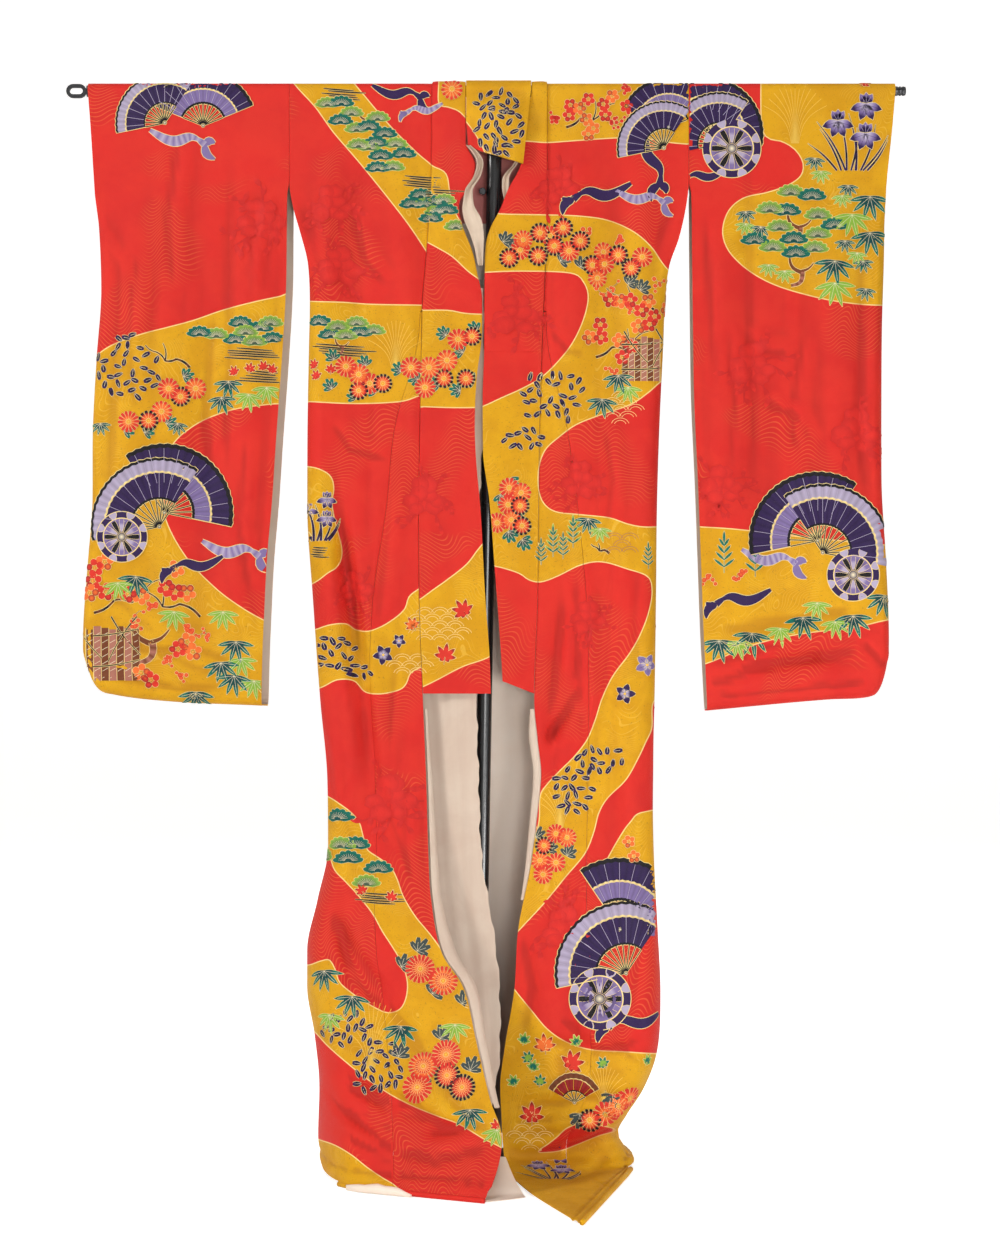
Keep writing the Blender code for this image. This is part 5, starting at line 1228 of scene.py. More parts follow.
RED_DYE = (0.730, 0.023, 0.016)
DEEP_RED_DYE = (0.500, 0.014, 0.014)
BRIGHT_RED_DYE = (0.830, 0.056, 0.030)
GOLD_DYE = (0.760, 0.385, 0.006)
BROWN_GOLD_DYE = (0.560, 0.235, 0.005)
PASTE_LINE = (0.955, 0.740, 0.300)
STREAM_ORANGE = (0.950, 0.260, 0.070)
STREAM_GOLD = (0.930, 0.620, 0.100)
DARK_SPECK = (0.230, 0.110, 0.018)
# painted shade: the tones that the red and the gold take in the bottoms of creases
FOLD_SHADE_ON_RED = (0.400, 0.016, 0.012)
FOLD_SHADE_ON_GOLD = (0.480, 0.190, 0.008)
THIN_DYE = (0.72, 0.68, 0.66)  # multiplies a motif's dye where it is thin
# painted shade on the back's lining where the hems close
UNLIT_LINING = (0.045, 0.030, 0.026)
BLACK_ENAMEL = (0.010, 0.010, 0.011)
SCUFFED_ENAMEL = (0.060, 0.058, 0.055)
DUST = (0.12, 0.11, 0.10)


class Recipe:
    """Builds the nodes of one material or of one shared effect."""

    def __init__(self, tree):
        self.tree = tree

    def add(self, kind, settings=None, **inputs):
        made = self.tree.nodes.new(kind)
        for name, value in (settings or {}).items():
            setattr(made, name, value)
        for name, value in inputs.items():
            self.put(made, name.replace("_", " "), value)
        return made

    def feed(self, socket, value):
        """Links another node's outgoing socket, or sets a plain value."""
        if isinstance(value, bpy.types.NodeSocket):
            self.tree.links.new(value, socket)
        else:
            socket.default_value = value

    def put(self, made, name, value):
        self.feed(made.inputs[name], value)

    def sum_up(self, operation, first, second=0.0, third=0.0):
        made = self.add("ShaderNodeMath", {"operation": operation})
        for socket, value in zip(made.inputs, (first, second, third)):
            self.feed(socket, value)
        return made.outputs[0]

    def times(self, first, second):
        return self.sum_up("MULTIPLY", first, second)

    def graded(self, value, low, high, from_end=0.0, to_end=1.0):
        """A soft step: from_end at `low`, to_end at `high`."""
        made = self.add("ShaderNodeMapRange", {"interpolation_type": "SMOOTHSTEP", "clamp": True})
        for name, number in (
            ("Value", value), ("From Min", low), ("From Max", high), ("To Min", from_end),
            ("To Max", to_end)
        ):
            self.put(made, name, number)
        return made.outputs[0]

    def blended(self, share, first, second, kind="MIX"):
        made = self.add("ShaderNodeMix", {"data_type": "RGBA", "blend_type": kind})
        for socket, value in (
            (made.inputs[0], share), (made.inputs[6], first), (made.inputs[7], second)
        ):
            self.feed(socket, (*value, 1.0) if isinstance(value, tuple) else value)
        return made.outputs[2]

    def noise(self, vector, scale, detail=2.0, roughness=0.5, distortion=0.0):
        made = self.add(
            "ShaderNodeTexNoise", None, Vector=vector, Scale=scale, Detail=detail,
            Roughness=roughness, Distortion=distortion
        )
        return made.outputs["Fac"]

    def room(self):
        """Places in the room, in metres."""
        return self.add("ShaderNodeTexCoord").outputs["Object"]

    def cloth(self):
        """Places along and across the cloth, in metres."""
        return self.add("ShaderNodeUVMap", {"uv_map": "cloth"}).outputs["UV"]

    def number(self, name):
        """The number that the mesh carries under this name."""
        return self.add("ShaderNodeAttribute", {"attribute_name": name}).outputs["Fac"]

    def stretched(self, places, scale):
        made = self.add("ShaderNodeMapping", {"vector_type": "POINT"}, Vector=places)
        made.inputs["Scale"].default_value = scale
        return made.outputs[0]

    def effect(self, tree, **inputs):
        made = self.add("ShaderNodeGroup", {"node_tree": tree})
        for name, value in inputs.items():
            self.put(made, name.replace("_", " "), value)
        return made.outputs


def shared_effect(name, inputs, outputs):
    """An empty node group with named sockets; its recipe, its inputs and its outgoing node."""
    tree = bpy.data.node_groups.new(name, "ShaderNodeTree")
    for socket_name, kind, value in inputs:
        socket = tree.interface.new_socket(socket_name, in_out="INPUT", socket_type=kind)
        if value is not None:
            socket.default_value = value
    for socket_name, kind in outputs:
        tree.interface.new_socket(socket_name, in_out="OUTPUT", socket_type=kind)
    given, result = tree.nodes.new("NodeGroupInput").outputs, tree.nodes.new("NodeGroupOutput")
    return tree, Recipe(tree), given, result


def crepe_effect():
    """Crepe silk: short crinkles in the weft over fine threads; Shade is low in the crinkles'
    hollows and drives painted shade there.
    """
    tree, recipe, given, result = shared_effect(
        "crepe_weave",
        [("Place", "NodeSocketVector", None), ("Crinkle", "NodeSocketFloat", 0.0016),
         ("Thread", "NodeSocketFloat", 0.0007)],
        [("Height", "NodeSocketFloat"), ("Shade", "NodeSocketFloat")],
    )
    crinkle_scale = recipe.sum_up("DIVIDE", 1.0, given["Crinkle"])
    crinkle = recipe.noise(
        recipe.stretched(given["Place"], (1.0, 0.45, 1.0)), crinkle_scale, 3.0, 0.62
    )
    parts = recipe.add("ShaderNodeSeparateXYZ", None, Vector=given["Place"])
    turns = recipe.sum_up("DIVIDE", 2.0 * math.pi, given["Thread"])
    warp = recipe.sum_up("SINE", recipe.times(parts.outputs[0], turns))
    weft = recipe.sum_up("SINE", recipe.times(parts.outputs[1], turns))
    threads = recipe.times(warp, weft)
    height = recipe.sum_up("MULTIPLY_ADD", threads, 0.22, crinkle)
    recipe.put(result, "Height", height)
    recipe.put(result, "Shade", recipe.graded(crinkle, 0.30, 0.72, -1.0, 1.0))
    return tree


def mottle_effect():
    """Uneven dye: large clouds with small ones on them."""
    tree, recipe, given, result = shared_effect(
        "uneven_dye",
        [("Place", "NodeSocketVector", None), ("Cloud size", "NodeSocketFloat", 0.08)],
        [("Clouds", "NodeSocketFloat"), ("Spots", "NodeSocketFloat")],
    )
    scale = recipe.sum_up("DIVIDE", 1.0, given["Cloud size"])
    clouds = recipe.noise(given["Place"], scale, 4.0, 0.6, 0.4)
    recipe.put(result, "Clouds", recipe.graded(clouds, 0.36, 0.66))
    fine = recipe.noise(given["Place"], recipe.times(scale, 22.0), 2.0, 0.55)
    recipe.put(result, "Spots", recipe.graded(fine, 0.60, 0.74))
    return tree


def stream_effect():
    """Fine flowing lines like combed water, in patches."""
    tree, recipe, given, result = shared_effect(
        "stream_lines",
        [("Place", "NodeSocketVector", None), ("Spacing", "NodeSocketFloat", 0.0085),
         ("Line", "NodeSocketFloat", 0.10), ("Patch size", "NodeSocketFloat", 0.16),
         ("Bend", "NodeSocketFloat", 3.2)],
        [("Lines", "NodeSocketFloat"), ("Patch", "NodeSocketFloat")],
    )
    parts = recipe.add("ShaderNodeSeparateXYZ", None, Vector=given["Place"])
    slow = recipe.noise(given["Place"], recipe.sum_up("DIVIDE", 1.1, given["Patch size"]), 1.0, 0.4)
    drift = recipe.times(slow, 14.0)
    sway = recipe.sum_up("SINE", recipe.sum_up("MULTIPLY_ADD", parts.outputs[0], 92.0, drift))
    level = recipe.sum_up("DIVIDE", parts.outputs[1], given["Spacing"])
    level = recipe.sum_up("MULTIPLY_ADD", sway, 1.5, level)
    bend = recipe.times(given["Bend"], 9.0)
    level = recipe.sum_up("ADD", level, recipe.times(slow, bend))
    share = recipe.sum_up("ABSOLUTE", recipe.sum_up("SUBTRACT", recipe.sum_up("FRACT", level), 0.5))
    line = recipe.graded(share, given["Line"], recipe.times(given["Line"], 1.9), 1.0, 0.0)
    region = recipe.noise(
        given["Place"], recipe.sum_up("DIVIDE", 1.0, given["Patch size"]), 1.0, 0.5, 0.6
    )
    patch = recipe.graded(region, 0.50, 0.56)
    recipe.put(result, "Lines", recipe.times(line, patch))
    recipe.put(result, "Patch", patch)
    return tree


def wear_effect():
    """Fine scuffs and settled dust."""
    tree, recipe, given, result = shared_effect(
        "scuffs_and_dust",
        [("Place", "NodeSocketVector", None), ("Size", "NodeSocketFloat", 0.02)],
        [("Scuffs", "NodeSocketFloat"), ("Dust", "NodeSocketFloat")],
    )
    scale = recipe.sum_up("DIVIDE", 1.0, given["Size"])
    scuffs = recipe.noise(given["Place"], recipe.times(scale, 4.0), 6.0, 0.75, 0.8)
    recipe.put(result, "Scuffs", recipe.graded(scuffs, 0.60, 0.70))
    dust = recipe.noise(given["Place"], scale, 3.0, 0.7)
    upward = recipe.add(
        "ShaderNodeSeparateXYZ", None, Vector=recipe.add("ShaderNodeNewGeometry").outputs["Normal"]
    )
    settled = recipe.graded(upward.outputs[2], 0.2, 1.0)
    recipe.put(result, "Dust", recipe.times(settled, dust))
    return tree


def new_material(name, shade, roughness=0.5, **sockets):
    """A named material with its shader's plain values set; its recipe and its shader."""
    material = bpy.data.materials.new(name)
    material.use_nodes = True
    material.diffuse_color = (*shade, 1.0)
    shader = material.node_tree.nodes["Principled BSDF"]
    shader.inputs["Base Color"].default_value = (*shade, 1.0)
    shader.inputs["Roughness"].default_value = roughness
    for socket_name, value in sockets.items():
        shader.inputs[socket_name.replace("_", " ")].default_value = value
    return material, Recipe(material.node_tree), shader


def bumped(recipe, shader, height, distance, strength=1.0):
    bump = recipe.add("ShaderNodeBump", None, Height=height, Distance=distance, Strength=strength)
    recipe.put(shader, "Normal", bump.outputs["Normal"])


def dyed_silk(name, effects):
    """Silk crepe with golden grounds on red and painted shade in its creases; band is the distance
    to a ground's pasted edge.
    """
    material, recipe, shader = new_material(
        name, RED_DYE, 0.50, Specular_IOR_Level=0.18, Sheen_Weight=0.03, Sheen_Roughness=0.35
    )
    cloth = recipe.cloth()
    room = recipe.room()
    band = recipe.number("band")
    crease = recipe.number("crease")
    crepe = recipe.effect(effects["crepe"], Place=cloth)
    dye = recipe.effect(effects["mottle"], Place=room, Cloud_size=0.055)
    broad = recipe.effect(effects["mottle"], Place=room, Cloud_size=0.21)
    stream = recipe.effect(
        effects["stream"], Place=cloth, Spacing=0.0064, Line=0.075, Patch_size=0.20, Bend=1.5
    )
    gold_stream = recipe.effect(
        effects["stream"], Place=cloth, Spacing=0.0075, Line=0.055, Patch_size=0.10, Bend=4.5
    )

    red = recipe.blended(recipe.times(broad["Clouds"], 0.30), RED_DYE, DEEP_RED_DYE)
    red = recipe.blended(recipe.times(dye["Clouds"], 0.22), red, BRIGHT_RED_DYE)
    red = recipe.blended(recipe.times(stream["Patch"], 0.20), red, DEEP_RED_DYE)
    red = recipe.blended(recipe.times(stream["Lines"], 0.28), red, STREAM_ORANGE)
    gold = recipe.blended(recipe.times(dye["Clouds"], 0.40), GOLD_DYE, BROWN_GOLD_DYE)
    gold = recipe.blended(recipe.times(dye["Spots"], 0.50), gold, DARK_SPECK)
    gold = recipe.blended(recipe.times(gold_stream["Lines"], 0.30), gold, STREAM_GOLD)

    ground = recipe.blended(recipe.graded(band, 0.0002, -0.0002), red, gold)
    edge = recipe.graded(recipe.sum_up("ABSOLUTE", band), 0.0006, 0.0011, 1.0, 0.0)
    ground = recipe.blended(recipe.times(edge, 0.92), ground, PASTE_LINE)
    # painted shade: the ground darkens in the bottoms of creases and in the crepe's crinkles
    folds = recipe.blended(recipe.graded(band, 0.0002, -0.0002), FOLD_SHADE_ON_RED, FOLD_SHADE_ON_GOLD)
    ground = recipe.blended(recipe.times(crease, 0.55), ground, folds)
    # painted shade in the hollows of the crepe's crinkles
    ground = recipe.blended(recipe.graded(crepe["Shade"], -1.0, 1.0, 0.06, 0.0), ground, folds)
    recipe.put(shader, "Base Color", ground)
    recipe.put(shader, "Roughness", recipe.graded(dye["Clouds"], 0.0, 1.0, 0.46, 0.56))
    bumped(recipe, shader, crepe["Height"], 0.00028)
    return material


def printed_dye(name, effects):
    """The drawn motifs: each point of a motif carries its own dye."""
    material, recipe, shader = new_material(
        name, PASTE_LINE, 0.52, Specular_IOR_Level=0.22, Sheen_Weight=0.03, Sheen_Roughness=0.35
    )
    room = recipe.room()
    dye = recipe.add("ShaderNodeAttribute", {"attribute_name": "dye"}).outputs["Color"]
    crepe = recipe.effect(effects["crepe"], Place=room)
    uneven = recipe.effect(effects["mottle"], Place=room, Cloud_size=0.020)
    thin = recipe.blended(recipe.times(uneven["Clouds"], 0.30), dye, THIN_DYE, "MULTIPLY")
    worn = recipe.blended(recipe.times(uneven["Spots"], 0.05), thin, PASTE_LINE)
    recipe.put(shader, "Base Color", worn)
    recipe.put(shader, "Roughness", recipe.graded(uneven["Clouds"], 0.0, 1.0, 0.48, 0.58))
    bumped(recipe, shader, crepe["Height"], 0.00025)
    return material


def lining_silk(effects, name, shade, deep_shade, roughness):
    """Plain lining silk with soft streaks down the cloth, and painted shade, near black, where a
    piece carries the number closed.
    """
    material, recipe, shader = new_material(
        name, shade, roughness, Specular_IOR_Level=0.35, Sheen_Weight=0.15, Sheen_Roughness=0.4
    )
    cloth = recipe.cloth()
    room = recipe.room()
    crepe = recipe.effect(effects["crepe"], Place=cloth, Crinkle=0.0011)
    uneven = recipe.effect(effects["mottle"], Place=room, Cloud_size=0.09)
    streaks = recipe.noise(recipe.stretched(cloth, (60.0, 3.0, 1.0)), 1.0, 3.0, 0.6)
    streaks = recipe.graded(streaks, 0.35, 0.70)
    tone = recipe.blended(recipe.times(uneven["Clouds"], 0.45), shade, deep_shade)
    tone = recipe.blended(recipe.times(streaks, 0.28), tone, deep_shade)
    # painted shade: near black where the hems close and little light reaches the lining
    closed = recipe.number("closed")
    tone = recipe.blended(closed, tone, UNLIT_LINING)
    recipe.put(shader, "Base Color", tone)
    recipe.put(
        shader, "Roughness", recipe.graded(streaks, 0.0, 1.0, roughness - 0.04, roughness + 0.06)
    )
    bumped(recipe, shader, crepe["Height"], 0.00018)
    return material


def enamelled_steel(name, effects):
    """Black stove enamel with soft scuffs and dust."""
    material, recipe, shader = new_material(
        name, BLACK_ENAMEL, 0.30, Metallic=0.0, Specular_IOR_Level=0.55, Coat_Weight=0.35,
        Coat_Roughness=0.16,
    )
    room = recipe.room()
    wear = recipe.effect(effects["wear"], Place=room, Size=0.03)
    peel = recipe.noise(room, 420.0, 2.0, 0.5)
    tone = recipe.blended(recipe.times(wear["Scuffs"], 0.35), BLACK_ENAMEL, SCUFFED_ENAMEL)
    tone = recipe.blended(recipe.times(wear["Dust"], 0.25), tone, DUST)
    recipe.put(shader, "Base Color", tone)
    recipe.put(shader, "Roughness", recipe.graded(wear["Scuffs"], 0.0, 1.0, 0.26, 0.46))
    bumped(recipe, shader, peel, 0.00008)
    return material


def turned_steel(name, effects, shade):
    """Bare grey steel with fine turning marks."""
    material, recipe, shader = new_material(name, shade, 0.34, Metallic=0.9, Specular_IOR_Level=0.5)
    room = recipe.room()
    wear = recipe.effect(effects["wear"], Place=room, Size=0.012)
    turning = recipe.noise(recipe.stretched(room, (2400.0, 30.0, 30.0)), 1.0, 2.0, 0.5)
    dark = tuple(part * 0.45 for part in shade)
    tone = recipe.blended(recipe.times(wear["Scuffs"], 0.6), shade, dark)
    recipe.put(shader, "Base Color", tone)
    recipe.put(shader, "Roughness", recipe.graded(turning, 0.3, 0.7, 0.26, 0.44))
    bumped(recipe, shader, turning, 0.00006)
    return material


LININGS = {  # name, shade, deeper shade and roughness
    "lining": ("cream_lining_silk", (0.680, 0.550, 0.440), (0.560, 0.400, 0.310), 0.48),
    # painted light: the same cream lining, made lighter for the pieces that lie in the garment's
    # shade
    "painted light lining": ("pale_lining_silk", (0.970, 0.840, 0.720), (0.930, 0.760, 0.620), 0.48),
    "rose lining": ("pink_lining_silk", (0.760, 0.270, 0.240), (0.560, 0.120, 0.115), 0.48),
    "inner lining": ("rose_lining_silk", (0.700, 0.490, 0.380), (0.520, 0.290, 0.220), 0.48),
    "ribbon": ("cream_satin", (0.700, 0.560, 0.430), (0.420, 0.270, 0.190), 0.34),
    "red lining": ("red_lining_silk", (0.360, 0.018, 0.022), (0.200, 0.010, 0.014), 0.48),
}


def make_finishes():
    effects = {
        "crepe": crepe_effect(), "mottle": mottle_effect(), "stream": stream_effect(),
        "wear": wear_effect(),
    }
    finishes = {
        "dyed silk": dyed_silk("dyed_silk_crepe", effects),
        "printed dye": printed_dye("drawn_motif_dye", effects),
    }
    for kind, row in LININGS.items():
        finishes[kind] = lining_silk(effects, *row)
    finishes["black steel"] = enamelled_steel("black_enamelled_steel", effects)
    finishes["grey steel"] = turned_steel("grey_turned_steel", effects, (0.085, 0.085, 0.090))
    return finishes


# ---- drawn motifs -----------------------------------------------------------
# A motif is drawn flat, in pattern steps round its own middle, x to the right and y down.

DYES = {
    "paste": PASTE_LINE,
    "pale": (0.900, 0.800, 0.560),
    "red": (0.740, 0.034, 0.020),
    "orange": (0.900, 0.170, 0.030),
    "deep red": (0.330, 0.014, 0.014),
    "shadow red": (0.620, 0.018, 0.015),
    "wash red": (0.725, 0.024, 0.017),
    "black": (0.009, 0.007, 0.010),
    "purple": (0.030, 0.012, 0.078),
    "lilac": (0.230, 0.165, 0.380),
    "pale lilac": (0.470, 0.400, 0.560),
    "teal": (0.004, 0.160, 0.110),
    "deep teal": (0.004, 0.060, 0.062),
    "lime": (0.270, 0.480, 0.050),
    "grey leaf": (0.050, 0.072, 0.070),
    "brown": (0.190, 0.050, 0.018),
    "rose brown": (0.450, 0.170, 0.120),
    "gold": (0.830, 0.470, 0.030),
    "bright gold": (0.930, 0.600, 0.090),
}


class Drawing:
    """One motif's flat shapes: points, faces, and for each point a dye and a level of its own."""

    def __init__(self):
        self.points, self.faces, self.dyes, self.levels = [], [], [], []

    def mesh(self, places, dyes, faces, level):
        start = len(self.points)
        self.points += [tuple(place) for place in places]
        self.dyes += [DYES[dye] if isinstance(dye, str) else tuple(dye) for dye in dyes]
        self.levels += [level] * len(places)
        self.faces += [tuple(start + i for i in face) for face in faces]

    def stroke(self, line, widths, dyes, level=0, rim=0.5, rim_dye="paste"):
        """A tapering stroke: half-widths and dyes along a line, with a paste line on both sides."""
        line = np.array(line, float)
        widths = np.array(widths, float)[:, None]
        run = np.gradient(line, axis=0)
        run /= np.maximum(np.linalg.norm(run, axis=1, keepdims=True), 1e-9)
        aside = np.stack((-run[:, 1], run[:, 0]), axis=1)
        count = len(line)
        quads = [(i, i + 1, count + i + 1, count + i) for i in range(count - 1)]
        self.mesh(
            np.concatenate((line - aside * widths, line + aside * widths)), list(dyes) * 2, quads,
            level + 1
        )
        if rim:
            reach = np.zeros((count, 1))
            reach[0], reach[-1] = -rim, rim
            ends = line + run * reach
            for way in (-1, 1):
                inside = line + way * aside * np.maximum(widths - 0.25, 0.0)
                outside = ends + way * aside * (widths + rim)
                self.mesh(np.concatenate((inside, outside)), [rim_dye] * (2 * count), quads, level)

    def patch(self, outline, middle_dye, edge_dye, level=0, rim=0.55, rings=2, middle=None):
        """A filled shape that its middle sees all round, shaded from the middle to the edge."""
        outline = np.array(outline, float)
        middle = outline.mean(axis=0) if middle is None else np.array(middle, float)
        count = len(outline)
        places, dyes, faces = [middle], [DYES[middle_dye]], []
        for ring in range(1, rings + 1):
            share = ring / rings
            places += list(middle + (outline - middle) * share)
            shade = mix(np.array(DYES[middle_dye]), np.array(DYES[edge_dye]), share**1.5)
            dyes += [tuple(shade)] * count
        for i in range(count):
            j = (i + 1) % count
            faces.append((0, 1 + i, 1 + j))
            for ring in range(rings - 1):
                a, b = 1 + ring * count, 1 + (ring + 1) * count
                faces.append((a + i, b + i, b + j, a + j))
        self.mesh(places, dyes, faces, level + 1)
        if rim:
            away = outline - middle
            away /= np.maximum(np.linalg.norm(away, axis=1, keepdims=True), 1e-9)
            both = np.concatenate((outline - 0.3 * away, outline + rim * away))
            self.mesh(both, ["paste"] * 2 * count, loop_quads(count), level)

    def leaf(
        self, foot, turn, length, width, dyes, level=0, rim=0.5, vein=None, blunt=0.0, steps=5
    ):
        """A pointed or blunt leaf or petal from its foot; turn 0 points down, 90 to the right."""
        share = np.linspace(0.0, 1.0, steps)
        way = np.array(toward(turn, 1.0))
        line = np.array(foot) + share[:, None] * length * way
        shape = np.sin(math.pi * np.clip(0.06 + (0.94 - 0.5 * blunt) * share, 0.0, 1.0)) ** 0.8
        shades = [dyes[min(int(s * len(dyes)), len(dyes) - 1)] for s in share * 0.999]
        self.stroke(line, width * shape, shades, level, rim)
        if vein:
            self.stroke(line[:-1], 0.15 * np.ones(steps - 1), [vein] * (steps - 1), level + 1, 0)


def toward(turn, reach):
    """The place at this distance and turn from the middle; turn 0 is down, 90 to the right."""
    angle = math.radians(turn)
    return reach * math.sin(angle), reach * math.cos(angle)


def loop_quads(count):
    """Faces between two closed runs of `count` points, one after the other."""
    return [(i, (i + 1) % count, count + (i + 1) % count, count + i) for i in range(count)]


def ring_of(radius, count, squash=1.0, middle=(0.0, 0.0)):
    angle = np.linspace(0.0, 2 * math.pi, count, endpoint=False)
    return np.stack(
        (middle[0] + radius * np.cos(angle), middle[1] + radius * squash * np.sin(angle)), axis=1
    )


def bent(start, end, bow, steps=8):
    """A line from start to end that bows out to one side."""
    start, end = np.array(start, float), np.array(end, float)
    share = np.linspace(0.0, 1.0, steps)[:, None]
    aside = np.array([start[1] - end[1], end[0] - start[0]])
    return start + (end - start) * share + aside * bow * np.sin(math.pi * share)


def chrysanthemum(draw, size, shade, seed):
    """shade is red, orange or tipped (black petal ends)."""
    petals = 12 + seed % 3 + (6 if size > 12 else 0)
    dyes = {
        "red": ["orange", "red", "red"], "orange": ["orange", "orange", "red"],
        "tipped": ["orange", "red", "black"]
    }[shade]
    for i in range(petals):
        turn = 360.0 * (i + 0.5) / petals + 7 * seed
        draw.leaf(
            toward(turn, 0.26 * size), turn, 0.80 * size, 2.05 * size / petals, dyes, 0, 0.26,
            blunt=0.75
        )
    for i in range(petals if size > 12 else 0):
        turn = 360.0 * i / petals + 7 * seed
        draw.leaf(
            toward(turn, 0.18 * size), turn, 0.40 * size, 1.00 * size / petals, ["orange", "red"],
            3, 0.20, blunt=0.6
        )
    draw.patch(ring_of((0.24 if size < 12 else 0.17) * size, 10), "bright gold", "gold", 5, 0.3, 1)
    for i in range(5):
        angle = 2 * math.pi * i / 5 + seed
        spot = (0.12 * size * math.cos(angle), 0.12 * size * math.sin(angle))
        draw.patch(ring_of(0.05 * size, 5, 1.0, spot), "orange", "orange", 7, 0, 1)


def chrysanthemum_leaf(draw, size, shade, seed):
    """A lobed leaf of a few short strokes."""
    for turn, reach in ((-70, 0.8), (-30, 1.0), (0, 1.1), (34, 1.0), (72, 0.8)):
        draw.leaf(
            (0, 0), turn + 5 * seed, reach * size, 0.19 * size, ["grey leaf", shade], 0, 0.32,
            "pale", 0.4, 4
        )


def plum(draw, size, shade, seed):
    for i in range(5):
        angle = 2 * math.pi * (i + 0.15 * seed) / 5
        middle = (0.57 * size * math.cos(angle), 0.57 * size * math.sin(angle))
        dark = (i + seed) % 5 < 1 + seed % 2
        draw.patch(
            ring_of(0.35 * size, 11, 1.0, middle), shade, "deep red" if dark else shade, 0, 0.36, 2
        )
    for i in range(7):
        angle = 2 * math.pi * i / 7
        tip = (0.34 * size * math.cos(angle), 0.34 * size * math.sin(angle))
        draw.stroke([(0, 0), tip], [0.16, 0.10], ["bright gold", "bright gold"], 3, 0)
    draw.patch(ring_of(0.12 * size, 7), "bright gold", "orange", 3, 0, 1)


def buds(draw, size, shade, seed):
    """A scatter of round buds on thin stems."""
    chance = np.random.default_rng(seed + 40)
    last = np.zeros(2)
    for i in range(9):
        place = last + chance.uniform(-1.0, 1.0, 2) * size * 0.6
        draw.stroke(bent(last, place, 0.1, 4), [0.25] * 4, ["brown"] * 4, 0, 0.2)
        draw.patch(ring_of(chance.uniform(1.5, 2.5), 8, 1.0, place), shade, "red", 1, 0.36, 1)
        last = place if i % 2 else last


def leaf_cloud(draw, size, shade, seed):
    """Many small oval leaves on hidden stems; size is half the cloud's width."""
    chance = np.random.default_rng(seed + 7)
    dyes = [shade, "black", shade]
    squash = (0.62, 1.0, 0.8)[seed % 3]
    placed = []
    for _ in range(420):
        place = chance.uniform(-1.0, 1.0, 2) * size * np.array([1.0, squash])
        if (place[0] / size) ** 2 + (place[1] / (size * squash)) ** 2 > chance.uniform(0.35, 1.1):
            continue
        if placed and min(np.hypot(*(place - other)) for other in placed) < 7.2:
            continue
        placed.append(place)
        turn = chance.uniform(0, 360)
        length = chance.uniform(7.4, 9.4)
        foot = place - toward(turn, 0.5 * length)
        draw.leaf(foot, turn, length, chance.uniform(2.1, 2.6), dyes, 0, 0.34, "pale", 0.35)


def pine_cap(draw, size, shade, seed):
    """One cushion of needles: scalloped on top, with dark needles rayed from below."""
    bumps = 7
    outline = []
    for i in range(bumps):
        for share in (0.0, 0.3, 0.55, 0.8):
            angle = math.pi * (1.0 - (i + share) / bumps)
            swell = 1.0 + 0.16 * math.sin(math.pi * share)
            outline.append((size * swell * math.cos(angle), -0.74 * size * swell * math.sin(angle)))
    outline += [
        (size, 0.02 * size), (0.5 * size, 0.14 * size), (0.0, 0.06 * size),
        (-0.5 * size, 0.16 * size)
    ]
    foot = np.array((0.0, -0.02 * size))
    light = {"teal": "deep teal", "lime": "grey leaf"}[shade]
    draw.patch(outline, light, shade, 0, 0.5, 3, foot)
    for i in range(13):
        angle = math.pi * (0.06 + 0.88 * i / 12)
        ray = np.array([math.cos(angle), -0.74 * math.sin(angle)]) * size
        draw.stroke([foot + 0.26 * ray, foot + 0.74 * ray], [0.17, 0.10], ["pale", "pale"], 3, 0)


def old_trunk(draw, size, shade, seed):
    draw.stroke(
        bent((-0.7 * size, -size), (0.1 * size, 0.1 * size), 0.22),
        np.linspace(0.06, 0.13, 8) * size, ["brown"] * 8, 0, 0.5
    )
    draw.stroke(
        bent((0.1 * size, 0.05 * size), (-0.6 * size, 0.9 * size), -0.28),
        np.linspace(0.15, 0.09, 8) * size, ["rose brown", "brown"] * 4, 0, 0.5
    )
    draw.stroke(
        bent((0.05 * size, 0.0), (0.8 * size, -0.5 * size), 0.12),
        np.linspace(0.09, 0.03, 8) * size, ["brown"] * 8, 0, 0.5
    )


def bamboo(draw, size, shade, seed):
    """Bamboo grass: pointed leaves that hang from one joint."""
    dyes = {"teal": ["deep teal", "teal"], "lime": ["lime", "lime"]}[shade]
    for turn, reach in ((-84, 1.1), (-54, 1.2), (-22, 1.2), (8, 1.3), (40, 1.2), (72, 1.1)):
        draw.leaf(
            (0, 0), turn + 5 * (seed % 3), reach * size, 0.12 * size + 0.3, dyes, 0, 0.32, "pale",
            0.0, 6
        )


def upright_plant(draw, size, shade, seed):
    """A stem with paired narrow leaves, pointing up."""
    draw.stroke([(0, size), (0, -0.6 * size)], [0.3, 0.2], ["teal", "teal"], 0, 0.3)
    for i, height in enumerate((0.7, 0.35, 0.0, -0.35)):
        for way in (-1, 1):
            draw.leaf(
                (0, height * size), 180 - way * (52 - 6 * i), (0.66 - 0.07 * i) * size,
                0.065 * size, ["teal", shade], 1, 0.3
            )
    draw.leaf((0, -0.5 * size), 180, 0.60 * size, 0.065 * size, ["teal", shade], 1, 0.3)


def maple(draw, size, shade, seed):
    dyes = {
        "red": ["red", "red", "deep red"], "orange": ["orange", "orange", "deep red"],
        "teal": ["lime", "teal"], "lime": ["teal", "lime"]
    }[shade]
    lean = 180 + (seed * 37) % 80 - 40
    for turn, reach in (
        (0, 1.1), (-42, 1.0), (42, 1.0), (-86, 0.86), (86, 0.86), (-132, 0.5), (132, 0.5)
    ):
        draw.leaf((0, 0), lean + turn, reach * size, 0.19 * size, dyes, 0, 0.42, None, 0.0, 6)
    draw.stroke([(0, 0), toward(lean + 180, 0.6 * size)], [0.3, 0.22], [dyes[-1]] * 2, 1, 0.25)


